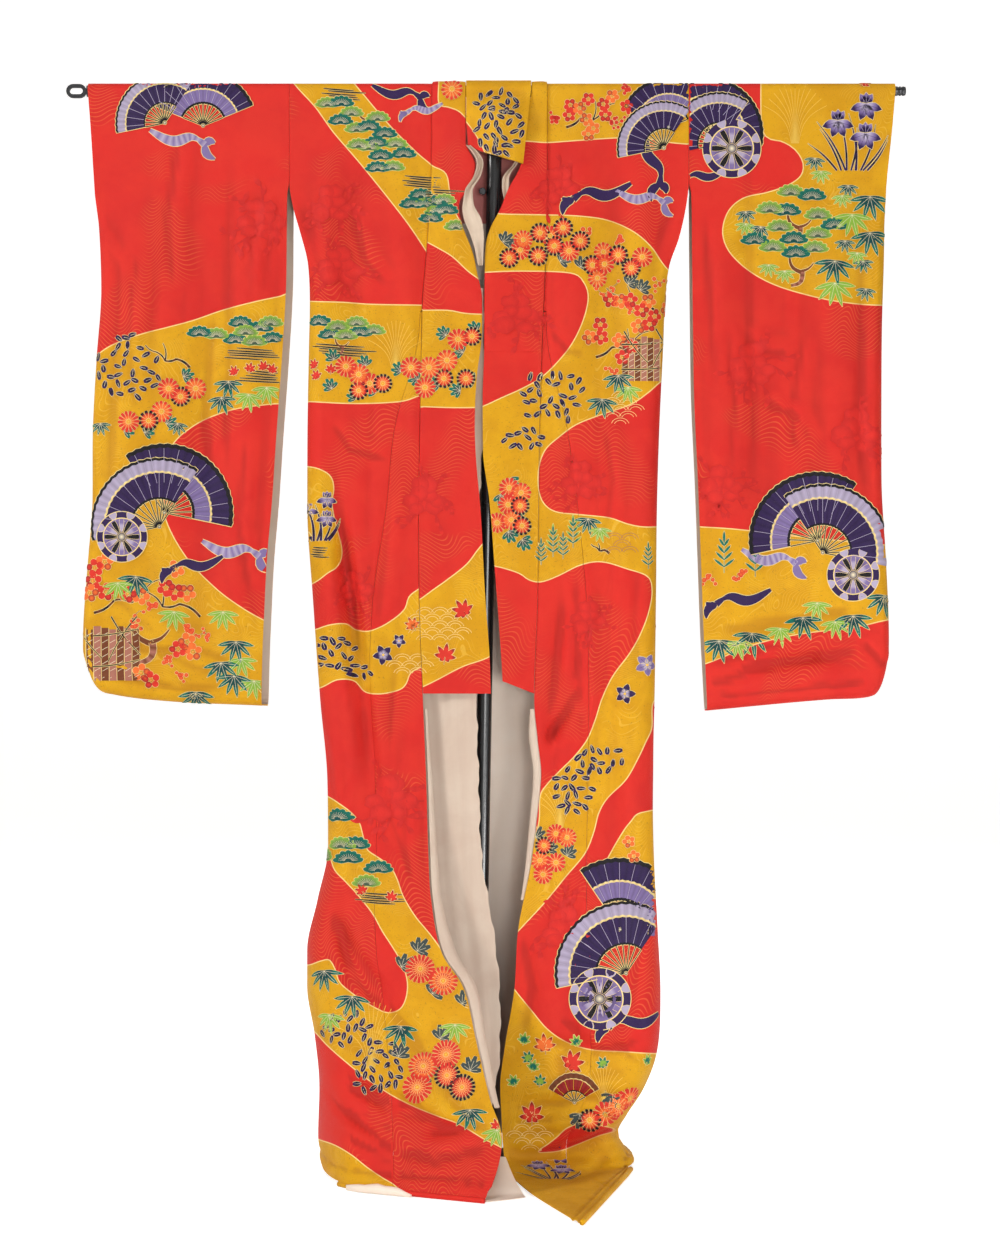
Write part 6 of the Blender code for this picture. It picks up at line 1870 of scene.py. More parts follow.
def brushed_tree(draw, size, shade, seed):
    """A tone-on-tone flower brushed in washes on the red ground, with a leafy stem."""
    chance = np.random.default_rng(seed + 90)
    for i in range(9):
        turn = chance.uniform(-80, 80) + (0 if i % 3 else 150)
        reach = chance.uniform(0.55, 0.95) * size
        line = bent((0, 0), toward(turn, reach), chance.uniform(-0.2, 0.2), 9)
        draw.stroke(
            line, size * 0.022 * np.sin(math.pi * np.linspace(0.08, 0.98, 9)) + 0.2, [shade] * 9, 0,
            0
        )
        for knot in (5, 7):
            draw.leaf(
                line[knot], turn + chance.uniform(-70, 70), 0.26 * size, 0.06 * size,
                [shade, "wash red"], 0, 0, None, 0, 5
            )
    for i in range(9):
        turn = 40.0 * i + chance.uniform(-12, 12)
        middle = toward(turn, (0.34 if i % 3 else 0.16) * size)
        reach = chance.uniform(0.17, 0.25) * size
        outline = ring_of(reach, 14, chance.uniform(0.65, 1.0), middle)
        outline *= 1.0 + 0.05 * np.sin(np.arange(14) * 2.4)[:, None]
        draw.patch(outline, "wash red", shade, i, 0, 4)


def iris(draw, size, shade, seed):
    """Three iris blooms over long leaves."""
    for x, lean, reach in (
        (-0.75, -34, 0.9), (-0.55, -18, 1.2), (-0.35, -26, 1.5), (-0.3, -4, 1.5), (-0.1, 10, 1.2),
        (0.1, -3, 0.9), (0.15, -10, 1.6), (0.35, 12, 1.3), (0.45, 28, 1.1), (0.65, 20, 0.9)
    ):
        tip = np.array((x * size, size)) + toward(180 - lean, reach * size)
        draw.stroke(
            bent((x * size * 0.6, size), tip, 0.05), [0.9, 1.0, 1.0, 0.9, 0.8, 0.6, 0.4, 0.15],
            ["purple", "purple", "black", "purple"] * 2, 0, 0.4
        )
    for x, y in ((-0.42, -0.35), (0.36, -0.82), (0.34, 0.0)):
        foot = (x * size, y * size)
        for turn in (-72, 72, -22, 24):
            draw.leaf(
                foot, turn, 0.46 * size, 0.12 * size, ["pale lilac", "lilac", "purple"], 3, 0.45,
                "purple"
            )
        for turn in (150, 180, 210):
            draw.leaf(
                foot, turn, 0.34 * size, 0.10 * size, ["purple", "lilac"], 1, 0.4, "pale lilac"
            )


def bellflower(draw, size, shade, seed):
    for i in range(5):
        draw.leaf(
            (0, 0), 72 * i + 9 * seed, size, 0.34 * size, ["pale lilac", shade, shade], 0, 0.45,
            "purple", 0.1
        )
    draw.patch(ring_of(0.14 * size, 7), "bright gold", "bright gold", 3, 0, 1)


def water_bars(draw, size, shade, seed):
    """Drifts of level bars; size is half their length."""
    chance = np.random.default_rng(seed + 3)
    for i in range(5):
        shift = chance.uniform(-0.25, 0.25) * size
        half = size * chance.uniform(0.55, 1.0)
        height = (i - 2) * 2.3
        steps = max(4, int(half / 2.5))
        line = bent((shift - half, height), (shift + half, height + 0.10 * size), 0.006, steps)
        draw.stroke(
            line, 0.72 * np.sin(math.pi * np.linspace(0.08, 0.95, steps)) ** 0.4, [shade] * steps,
            0, 0.18
        )


def grass_fountain(draw, size, shade, seed):
    """Thin arching lines that rise from one foot."""
    for i in range(13):
        way = (i - 6) / 6
        tip = (way * size * 1.05, -size * (1.1 - 0.75 * way**2))
        line = bent((way * 0.12 * size, 0.9 * size), tip, -0.16 * way, 10)
        draw.stroke(line, [0.25] * 10, [shade] * 10, 0, 0)


def scale_waves(draw, size, shade, seed):
    """Rows of small rounded waves in thin paste lines."""
    reach = 9.0
    for row in range(-2, 3):
        for column_number in range(-3, 4):
            x = (column_number + 0.5 * (row % 2)) * 1.7 * reach
            y = row * 0.75 * reach
            if (x / size) ** 2 + (y / (0.8 * size)) ** 2 > 1.0:
                continue
            for radius in (1.0, 0.66):
                angle = np.linspace(0.08 * math.pi, 0.92 * math.pi, 9)
                line = np.stack(
                    (x + reach * radius * np.cos(angle), y - 0.8 * reach * radius * np.sin(angle)),
                    axis=1
                )
                draw.stroke(line, [0.22] * 9, [shade] * 9, 0, 0)


def branch(draw, size, shade, seed):
    """A twig with a few turns."""
    way = -1 if seed % 2 else 1
    knots = [
        (-way * size, 0.5 * size), (-way * 0.4 * size, 0.12 * size), (0.1 * way * size, 0.2 * size),
        (0.5 * way * size, -0.2 * size), (way * size, -0.5 * size)
    ]
    for i, (start, end) in enumerate(zip(knots, knots[1:])):
        draw.stroke(
            bent(start, end, 0.10 * (-1) ** i, 6), np.linspace(1.3, 1.0, 6) * (1 - 0.18 * i),
            ["black", "brown", "black", "black", "brown", "black"], 0, 0.45
        )
    draw.stroke(
        bent(knots[2], (0.2 * way * size, -0.6 * size), 0.1, 6), np.linspace(0.8, 0.3, 6),
        ["black"] * 6, 0, 0.4
    )


def ribbon(draw, size, shade, seed):
    """A long loose ribbon with a forked end; size is half its length."""
    way = -1 if seed % 2 else 1
    dyes = {"purple": ["purple"], "lilac": ["lilac", "pale lilac"]}[shade]
    share = np.linspace(0.0, 1.0, 18)
    line = np.stack((way * size * (1.7 * share - 0.85 + 0.10 * np.sin(5.0 * share)),
                     size * (0.55 * share**1.3 + 0.20 * np.sin(5.6 * share) - 0.3)), axis=1)
    width = size * (0.05 + 0.10 * np.abs(np.sin(3.6 * share)) ** 0.8)
    draw.stroke(line, width, [dyes[i % len(dyes)] for i in range(18)], 0, 0.6)
    for bow in (-0.25, 0.22):
        tail = bent(line[-1], line[-1] + np.array([way * 0.30 * size, (0.20 + bow) * size]), bow, 7)
        draw.stroke(
            tail, np.array([0.05, 0.10, 0.12, 0.12, 0.10, 0.07, 0.02]) * size, [dyes[0]] * 7, 0, 0.6
        )


def folding_fan(draw, size, shade, seed):
    """An open folding fan: a pleated leaf in bands, ribs and a rivet; shade picks its bands."""
    bands = {
        "lilac": [
            (0.40, 0.44, "black"), (0.44, 0.66, "lilac"), (0.66, 0.69, "paste"),
            (0.69, 0.94, "purple"), (0.94, 1.0, "black")
        ],
        "purple": [
            (0.40, 0.43, "black"), (0.43, 0.78, "purple"), (0.78, 0.81, "paste"),
            (0.81, 0.96, "pale lilac"), (0.96, 1.0, "black")
        ],
        "red": [
            (0.42, 0.46, "black"), (0.46, 0.80, "deep red"), (0.80, 0.83, "paste"),
            (0.83, 1.0, "brown")
        ]
    }[shade]
    folds, spread = (20, 68) if shade != "red" else (10, 60)
    middle = np.array([0.0, 0.62 * size])
    steps = folds * 2

    def place(radius, i):
        angle = math.radians(spread * (2.0 * i / steps - 1.0))
        radius = radius * size * (1.22 + (0.018 if i % 2 else 0.0))
        return middle + radius * np.array([math.sin(angle), -math.cos(angle)])

    for low, high, dye in bands:
        rings = max(1, round((high - low) * size / 3.4))
        radii = np.linspace(low, high, rings + 1)
        places = [place(radius, i) for radius in radii for i in range(steps + 1)]
        tint = np.array(DYES[dye])
        dyes = []
        for radius in radii:
            for i in range(steps + 1):
                dyes.append(tuple(np.clip(tint * (1.0 if i % 2 else 0.72), 0, 1)))
        draw.mesh(places, dyes, grid_cells(rings + 1, steps + 1).tolist(), 2)
    inner = [place(bands[0][0], i) for i in range(steps + 1)]
    outer = [place(1.0, i) for i in range(steps, -1, -1)]
    loop = np.array(inner + outer)
    heart = middle - np.array([0.0, 0.86 * size])
    away = loop - heart
    away /= np.linalg.norm(away, axis=1, keepdims=True)
    away[: steps + 1] = np.array([0.0, 1.0])
    count = len(loop)
    rim = np.concatenate((loop - 0.3 * away, loop + 0.7 * away))
    draw.mesh(rim, ["paste"] * 2 * count, loop_quads(count), 1)
    for i in range(0, steps + 1, 4):
        line = np.array([middle, place(bands[0][0], i)])
        draw.stroke(
            mix(line[0], line[1], np.linspace(0, 1, 6)[:, None]), [0.5] * 6, ["black"] * 6, 1, 0.4
        )
    for i in range(2, steps - 1, 4):
        line = mix(place(bands[1][0], i), place(bands[-1][0], i), np.linspace(0, 1, 8)[:, None])
        draw.stroke(line, [0.22] * 8, ["pale lilac" if shade != "red" else "gold"] * 8, 3, 0)
    draw.patch(ring_of(1.8, 10, 1.0, middle), "pale", "black", 3, 0.4, 1)


def flower_roundel(draw, size, shade, seed):
    """A round flower crest without a family: a ring, two rows of petals and a heart."""
    count = 48
    for low, high, dye in ((0.74, 0.96, shade), (0.70, 0.74, "paste")):
        ring = np.concatenate((ring_of(low * size, count), ring_of((low + high) / 2 * size, count),
                               ring_of(high * size, count)))
        faces = [[k * count + i for i in quad] for quad in loop_quads(count) for k in (0, 1)]
        draw.mesh(ring, [dye] * len(ring), faces, 1)
    for i in range(8):
        turn = 45.0 * i + 22.5
        draw.leaf(
            toward(turn, 0.73 * size), turn, 0.23 * size, 0.15 * size, ["pale lilac"], 2, 0.4, None,
            0.8
        )
    edge = ring_of(0.96 * size, count)
    away = edge / np.linalg.norm(edge, axis=1, keepdims=True)
    rim = np.concatenate((edge - 0.2 * away, edge + 0.8 * away))
    draw.mesh(rim, ["paste"] * 2 * count, loop_quads(count), 0)
    draw.patch(ring_of(0.70 * size, 32), "purple", "lilac", 0, 0, 4)
    for i in range(12):
        turn = 30.0 * i
        dyes = ["black"] if i % 2 else ["pale lilac", "lilac"]
        draw.leaf(
            toward(turn, 0.20 * size), turn, 0.46 * size, 0.085 * size, dyes, 2, 0.35, None, 0.7
        )
    draw.patch(ring_of(0.16 * size, 12), "pale", "purple", 3, 0.4, 1)


def brushwood_fence(draw, size, shade, seed):
    """A low fence of bound brushwood: slanting twigs between rails."""
    for i in range(9):
        x = (i - 4) * 0.24 * size
        top = -0.8 * size + 0.05 * size * (i % 3)
        knots = 7
        line = mix(np.array([x, top]), np.array([x, 0.9 * size]), np.linspace(0, 1, knots)[:, None])
        draw.stroke(
            line, [0.11 * size] * knots, ["rose brown" if i % 2 else "brown"] * knots, 0, 0.3
        )
        for k in range(7):
            y = -0.6 * size + 0.22 * size * k
            draw.stroke(
                [(x - 0.09 * size, y + 0.10 * size), (x + 0.09 * size, y)], [0.22, 0.22],
                ["pale", "pale"], 2, 0
            )
    for start, end in (
        ((-1.1, -0.5), (1.2, -0.75)), ((-1.1, 0.45), (1.1, 0.25)), ((-1.0, -1.0), (-0.1, 0.2)),
        ((0.2, -1.1), (1.1, 0.1)), ((1.0, -1.1), (0.1, 0.3))
    ):
        line = bent(np.array(start) * size, np.array(end) * size, 0.04, 10)
        draw.stroke(line, np.linspace(0.7, 0.4, 10), ["black"] * 10, 3, 0.35)


def leaning(kind, angle):
    """The same motif, turned on the cloth."""

    def draw_leaning(draw, size, shade, seed):
        start = len(draw.points)
        kind(draw, size, shade, seed)
        turn = math.radians(angle)
        cosine, sine = math.cos(turn), math.sin(turn)
        for i in range(start, len(draw.points)):
            x, y = draw.points[i]
            draw.points[i] = (x * cosine - y * sine, x * sine + y * cosine)

    return draw_leaning


MOTIF_KINDS = {
    "fan left": leaning(folding_fan, -34), "fan right": leaning(folding_fan, 34),
    "ribbon down": leaning(ribbon, 62), "mum": chrysanthemum, "mum leaf": chrysanthemum_leaf,
    "plum": plum, "buds": buds, "leaves": leaf_cloud, "cap": pine_cap, "trunk": old_trunk,
    "bamboo": bamboo, "plant": upright_plant, "maple": maple, "brushed": brushed_tree, "iris": iris,
    "bell": bellflower, "bars": water_bars, "grass": grass_fountain, "waves": scale_waves,
    "branch": branch, "ribbon": ribbon, "fan": folding_fan, "roundel": flower_roundel,
    "fence": brushwood_fence
}


# ---- laying motifs on the cloth ---------------------------------------------
# Each row: kind, dye, size in pattern steps, layer, and the places of the motifs' middles on the
# pattern sheet.

MOTIF_PLACES = {
    "neck": [
        ("leaves", "purple", 24, 0, "497,104 499,132"),
        ("leaves", "purple", 13, 0, "496,151"),
    ],
    "body_left": [
        ("bars", "black", 23, 0, "344,95 418,182 440,195"),
        ("bars", "black", 34, 0, "340,349"),
        ("trunk", "", 9, 0, "366,121 342,347"),
        ("cap", "teal", 11.5, 2,
         "342,107 341,125 369,131 385,138 376,147 404,158 381,160 421,199 412,208 431,222 "
         "434,206 446,214 319,325 331,338 360,336 378,172"),
        ("cap", "lime", 11, 2,
         "328,108 352,117 378,122 357,133 359,149 396,148 369,151 393,171 424,208 444,204 "
         "436,215 338,330 357,326 346,339 374,334 456,230"),
        ("ribbon", "purple", 30, 1, "398,96"),
        ("ribbon", "lilac", 22, 1, "424,112"),
        ("mum leaf", "teal", 10, 1,
         "334,360 366,366 332,389 356,399 376,393 401,372 446,336 477,331 463,353 418,380 "
         "439,385 474,381 460,391"),
        ("mum", "red", 10, 3, "346,367 370,384 411,368 425,388 458,340"),
        ("mum", "orange", 10, 3, "359,375 429,368 447,361 452,91"),
        ("mum", "tipped", 9, 3, "383,384 444,379 472,337 466,379 359,391"),
        ("maple", "red", 7, 2, "315,366 331,371 317,377"),
        ("iris", "", 23, 1, "319,518"),
        ("bars", "black", 10, 0, "318,552"),
        ("brushed", "shadow red", 40, 0, "332,206 340,268"),
        ("brushed", "shadow red", 40, 0, "424,498"),
        ("brushed", "shadow red", 32, 0, "356,588"),
        ("brushed", "shadow red", 48, 0, "430,742 390,800"),
        ("leaves", "purple", 27, 1, "331,653"),
        ("bell", "purple", 10, 2, "383,655"),
        ("bell", "purple", 7, 2, "399,641"),
        ("leaves", "purple", 13, 1, "362,672"),
        ("maple", "red", 13, 2, "464,612 445,657"),
        ("maple", "orange", 9, 2, "413,626"),
        ("waves", "paste", 30, 0, "440,628"),
        ("waves", "paste", 16, 0, "410,668"),
        ("grass", "bright gold", 26, 0, "420,322 396,350"),
        ("cap", "teal", 13.5, 2, "337,820 355,848 348,862 378,872"),
        ("cap", "lime", 13, 2, "320,832 340,848 366,886 327,860"),
        ("bars", "black", 26, 0, "376,898"),
        ("mum leaf", "grey leaf", 14, 1,
         "401,968 432,995 417,952 462,1005 440,1040 420,1082 470,1072 398,1058"),
        ("mum", "red", 14, 3, "420,970 446,1056 417,1089"),
        ("mum", "orange", 14, 3, "443,982 423,1068"),
        ("mum", "tipped", 13, 3, "447,1077 462,1089"),
        ("bamboo", "teal", 17, 2, "324,972 352,998 401,1028 470,1112"),
        ("bamboo", "lime", 15, 2, "329,1016 455,1026 497,1132"),
        ("leaves", "purple", 27, 1, "345,1030 378,1068"),
        ("grass", "bright gold", 34, 0, "372,1040"),
        ("maple", "red", 8, 2, "362,892 391,899 497,1128"),
    ],
    "body_right": [
        ("branch", "", 24, 0, "590,117"),
        ("plum", "red", 7.5, 2, "570,107 588,101 603,106 569,117 605,117 626,108"),
        ("plum", "orange", 7.5, 2, "579,110 612,98 586,121 593,130 588,136"),
        ("buds", "red", 9, 1, "557,119 618,94 627,119 614,125"),
        ("fan", "lilac", 40, 1, "668,104"),
        ("fan left", "purple", 38, 2, "650,130"),
        ("ribbon down", "purple", 36, 2, "650,160"),
        ("ribbon", "purple", 36, 2, "600,196"),
        ("ribbon", "lilac", 30, 2, "641,200"),
        ("brushed", "shadow red", 38, 0, "580,480 560,188"),
        ("brushed", "shadow red", 44, 0, "516,316"),
        ("mum leaf", "grey leaf", 11, 1, "560,262 510,250 503,243 628,285 640,291 580,268"),
        ("mum", "tipped", 9.5, 3,
         "563,229 540,234 554,247 538,257 509,259 580,242 618,256 592,266 631,269"),
        ("mum", "red", 9.5, 3, "550,237 520,251 569,252 604,265 642,258"),
        ("mum", "orange", 9, 3, "523,241 603,253 597,279"),
        ("buds", "orange", 8, 1, "589,231 621,240"),
        ("branch", "", 26, 0, "632,302 622,345"),
        ("plum", "red", 8.5, 2,
         "610,301 630,301 641,311 654,317 600,325 601,338 631,347 622,358 649,325"),
        ("plum", "orange", 8.5, 2, "620,302 648,302 664,310 589,338 619,341 638,327"),
        ("buds", "orange", 9, 1, "613,287 653,287 631,312 611,368"),
        ("fence", "", 26, 1, "650,358"),
        ("bamboo", "teal", 15, 2, "618,376 602,400"),
        ("bamboo", "lime", 13, 2, "628,388"),
        ("leaves", "purple", 34, 1, "553,398"),
        ("leaves", "purple", 22, 1, "520,440"),
        ("mum leaf", "teal", 11, 1, "510,479 500,495 516,515 508,532 522,540"),
        ("mum", "red", 9.5, 3, "509,488 508,505 497,523"),
        ("mum", "orange", 9.5, 3, "521,493 511,520"),
        ("mum", "tipped", 9, 3, "520,506 522,526"),
        ("plant", "lime", 16, 1, "553,541 573,532"),
        ("plant", "teal", 13, 1, "563,546 541,552 648,556"),
        ("bamboo", "teal", 13, 2, "588,519"),
        ("bamboo", "lime", 11, 2, "600,529"),
        ("branch", "", 9, 1, "600,549"),
        ("waves", "rose brown", 15, 1, "622,547"),
        ("bell", "lilac", 11, 2, "647,665"),
        ("bell", "purple", 10, 2, "625,694"),
        ("leaves", "purple", 23, 1, "600,758 574,790"),
        ("mum leaf", "grey leaf", 11, 1, "548,851 567,856 536,838"),
        ("mum", "red", 9, 3, "556,834 556,863 543,875"),
        ("mum", "orange", 9, 3, "567,838 540,861"),
        ("mum", "tipped", 8.5, 3, "544,846"),
        ("plum", "orange", 7, 4, "629,842 634,857"),
        ("fan right", "lilac", 58, 1, "640,900"),
        ("fan left", "purple", 58, 2, "606,944"),
        ("roundel", "purple", 32, 4, "600,1000"),
        ("ribbon", "purple", 34, 2, "636,1024"),
        ("brushed", "shadow red", 46, 0, "566,930"),
        ("brushed", "shadow red", 34, 0, "588,618"),
        ("maple", "orange", 13, 2, "545,1048"),
        ("maple", "red", 15, 2, "571,1066 532,1119"),
        ("maple", "teal", 8, 2, "529,1060 540,1084 604,1066"),
        ("maple", "lime", 8, 2, "524,1042 514,1084 533,1069 577,1044 647,1063"),
        ("fan", "red", 24, 3, "574,1090"),
        ("branch", "", 30, 1, "600,1110"),
        ("waves", "paste", 20, 0, "620,412 530,1140"),
        ("grass", "bright gold", 22, 0, "566,424 604,1092 648,1100 560,810"),
        ("mum", "red", 12, 3, "630,1100 606,1116"),
        ("mum", "orange", 12, 3, "618,1108"),
        ("mum", "tipped", 11, 3, "590,1122"),
        ("mum leaf", "grey leaf", 13, 2, "612,1096 580,1116"),
        ("iris", "", 30, 1, "552,1172"),
    ],
    "sleeve_left": [
        ("fan", "lilac", 44, 1, "204,100"),
        ("fan left", "purple", 40, 2, "152,104"),
        ("ribbon", "lilac", 34, 2, "180,142"),
        ("brushed", "shadow red", 46, 0, "262,222"),
        ("leaves", "purple", 34, 1, "129,369"),
        ("branch", "", 22, 0, "168,357"),
        ("bars", "black", 26, 0, "250,353 262,376"),
        ("cap", "teal", 11.5, 2, "200,336 241,326 261,331 236,343 273,342"),
        ("cap", "lime", 11.5, 2, "217,338 246,335 271,326 255,345"),
        ("maple", "red", 7, 2, "235,373 250,370 264,368 272,371"),
        ("mum leaf", "teal", 10, 1, "184,377 125,432 145,433 167,424"),
        ("mum", "red", 10, 3, "169,389 129,422"),
        ("mum", "orange", 10, 3, "196,389 162,412"),
        ("mum", "tipped", 9.5, 3, "181,397 149,421"),
        ("bamboo", "teal", 14, 2, "229,382 222,398"),
        ("bamboo", "lime", 14, 2, "249,395 267,388"),
        ("bamboo", "teal", 10, 2, "101,424 178,424"),
        ("fan right", "lilac", 56, 1, "184,484"),
        ("fan left", "purple", 56, 2, "140,498"),
        ("roundel", "purple", 26, 4, "122,537"),
        ("ribbon", "lilac", 36, 2, "232,552"),
        ("ribbon", "purple", 32, 3, "196,566"),
        ("branch", "", 34, 0, "128,596 166,600"),
        ("plum", "red", 10, 2, "95,568 93,581 106,592 128,594 166,588 175,592 178,649 151,680"),
        ("plum", "orange", 10, 2, "105,562 90,593 141,596 187,593 176,569 187,642 193,652 141,673"),
        ("buds", "orange", 9, 1, "140,611 151,608 190,628 205,632 168,664 182,676"),
        ("bamboo", "teal", 17, 2, "136,577 236,642 221,663 234,676 196,693"),
        ("bamboo", "lime", 15, 2, "118,583 174,612 223,612 241,659 254,681"),
        ("trunk", "", 24, 0, "150,642"),
        ("fence", "", 32, 1, "105,652"),
    ],
    "sleeve_right": [
        ("fan right", "lilac", 46, 1, "722,112"),
        ("fan left", "purple", 42, 2, "704,124"),
        ("roundel", "purple", 30, 3, "731,150"),
        ("ribbon", "purple", 26, 2, "704,178"),
        ("grass", "bright gold", 30, 0, "794,118"),
        ("iris", "", 36, 1, "852,136"),
        ("bamboo", "teal", 10, 2, "814,160 847,187 745,213 760,228 844,242 862,262 865,290"),
        ("bamboo", "teal", 19, 2, "869,198 869,234 834,262"),
        ("bamboo", "lime", 10, 2, "820,173 841,197 745,225 768,266 784,272 856,254"),
        ("bamboo", "lime", 19, 2, "851,216 834,284"),
        ("trunk", "", 16, 0, "798,228 800,272"),
        ("cap", "teal", 13, 2, "811,200 786,215 834,229 754,244 793,243 795,257"),
        ("cap", "lime", 12.5, 2, "790,196 769,213 817,219 779,231 817,238 772,251 814,252"),
        ("maple", "red", 8, 2, "862,86"),
        ("brushed", "shadow red", 46, 0, "752,366 856,432"),
        ("brushed", "shadow red", 40, 0, "722,486"),
        ("fan left", "lilac", 56, 1, "798,512"),
        ("fan right", "purple", 56, 2, "842,524"),
        ("roundel", "purple", 27, 4, "853,575"),
        ("ribbon", "lilac", 34, 2, "770,560"),
        ("ribbon", "purple", 34, 3, "742,600"),
        ("plant", "teal", 20, 1, "724,553 755,557"),
        ("buds", "orange", 9, 1, "714,578 743,571"),
        ("bamboo", "lime", 14, 2, "817,603 835,622 780,629 738,642"),
        ("bamboo", "teal", 18, 2, "803,618 752,634 719,641 853,616 884,596"),
    ],
    "back": [
        ("fan", "purple", 62, 1, "420,130"),
        ("roundel", "purple", 30, 3, "480,150"),
        ("ribbon", "lilac", 40, 2, "540,128"),
        ("cap", "teal", 12, 2, "330,108 352,124 596,110 620,122 652,108"),
        ("cap", "lime", 12, 2, "340,118 366,138 608,118 638,126"),
        ("mum leaf", "grey leaf", 15, 1, "410,410 470,440 530,436 586,392 630,340 366,390"),
        ("mum", "red", 14, 3, "428,402 500,446 600,362 350,366"),
        ("mum", "orange", 14, 3, "456,424 556,426 640,318"),
        ("mum", "tipped", 13, 3, "478,462 578,398 330,352 660,300"),
        ("brushed", "shadow red", 70, 0, "480,280 380,240 600,240 400,560 580,600 500,620"),
        ("branch", "", 40, 0, "520,330 430,480"),
        ("plum", "orange", 10, 2, "506,316 534,322 548,306 420,492 446,476"),
        ("plum", "red", 10, 2, "520,338 494,326 434,500"),
        ("iris", "", 34, 1, "324,524"),
        ("leaves", "purple", 44, 1, "520,760 620,620"),
        ("bamboo", "teal", 24, 2, "470,800 440,772 580,780 640,700"),
        ("bamboo", "lime", 21, 2, "500,812 606,740 420,750"),
        ("bell", "lilac", 12, 2, "380,690 404,704 350,664"),
        ("fan", "lilac", 74, 1, "500,1060"),
        ("roundel", "purple", 34, 3, "566,1100"),
        ("ribbon", "purple", 46, 2, "430,1100"),
        ("plant", "teal", 34, 1, "360,960 396,990 620,960 644,1000"),
        ("bamboo", "teal", 26, 2, "346,1080 640,1090 380,1130"),
        ("bamboo", "lime", 22, 2, "330,1040 614,1050 660,1040"),
        ("maple", "red", 10, 2, "452,960 560,960 350,900 600,930"),
        ("grass", "bright gold", 40, 0, "590,1010"),
    ],
}
MOTIF_PLACES["sleeve_left behind"] = MOTIF_PLACES["sleeve_left"]
MOTIF_PLACES["sleeve_right behind"] = MOTIF_PLACES["sleeve_right"]

LIFT = 0.00060  # of the lowest dye over the cloth
LEVEL_LIFT = 0.00010
LAYER_LIFT = 0.00014
NEIGHBOUR_LIFT = 0.000012  # keeps motifs that overlap in one layer apart
NEIGHBOURS = 9
LOOK_FROM = 0.05  # metres over the cloth, and how far down the cloth is looked for
LOOK_REACH = 0.12
NUDGE = 0.0017  # a point that misses the cloth is tried this far to each side
STRETCH_LIMIT = 0.006  # faces that the cloth would stretch by more are left out
LEAST_OUTWARD = 0.15  # cloth that looks less outward and less upward than this counts as upright
LEAST_UPWARD = 0.5
LEAST_REACH = 8.0  # pattern steps to the places that a motif's own ways are taken from


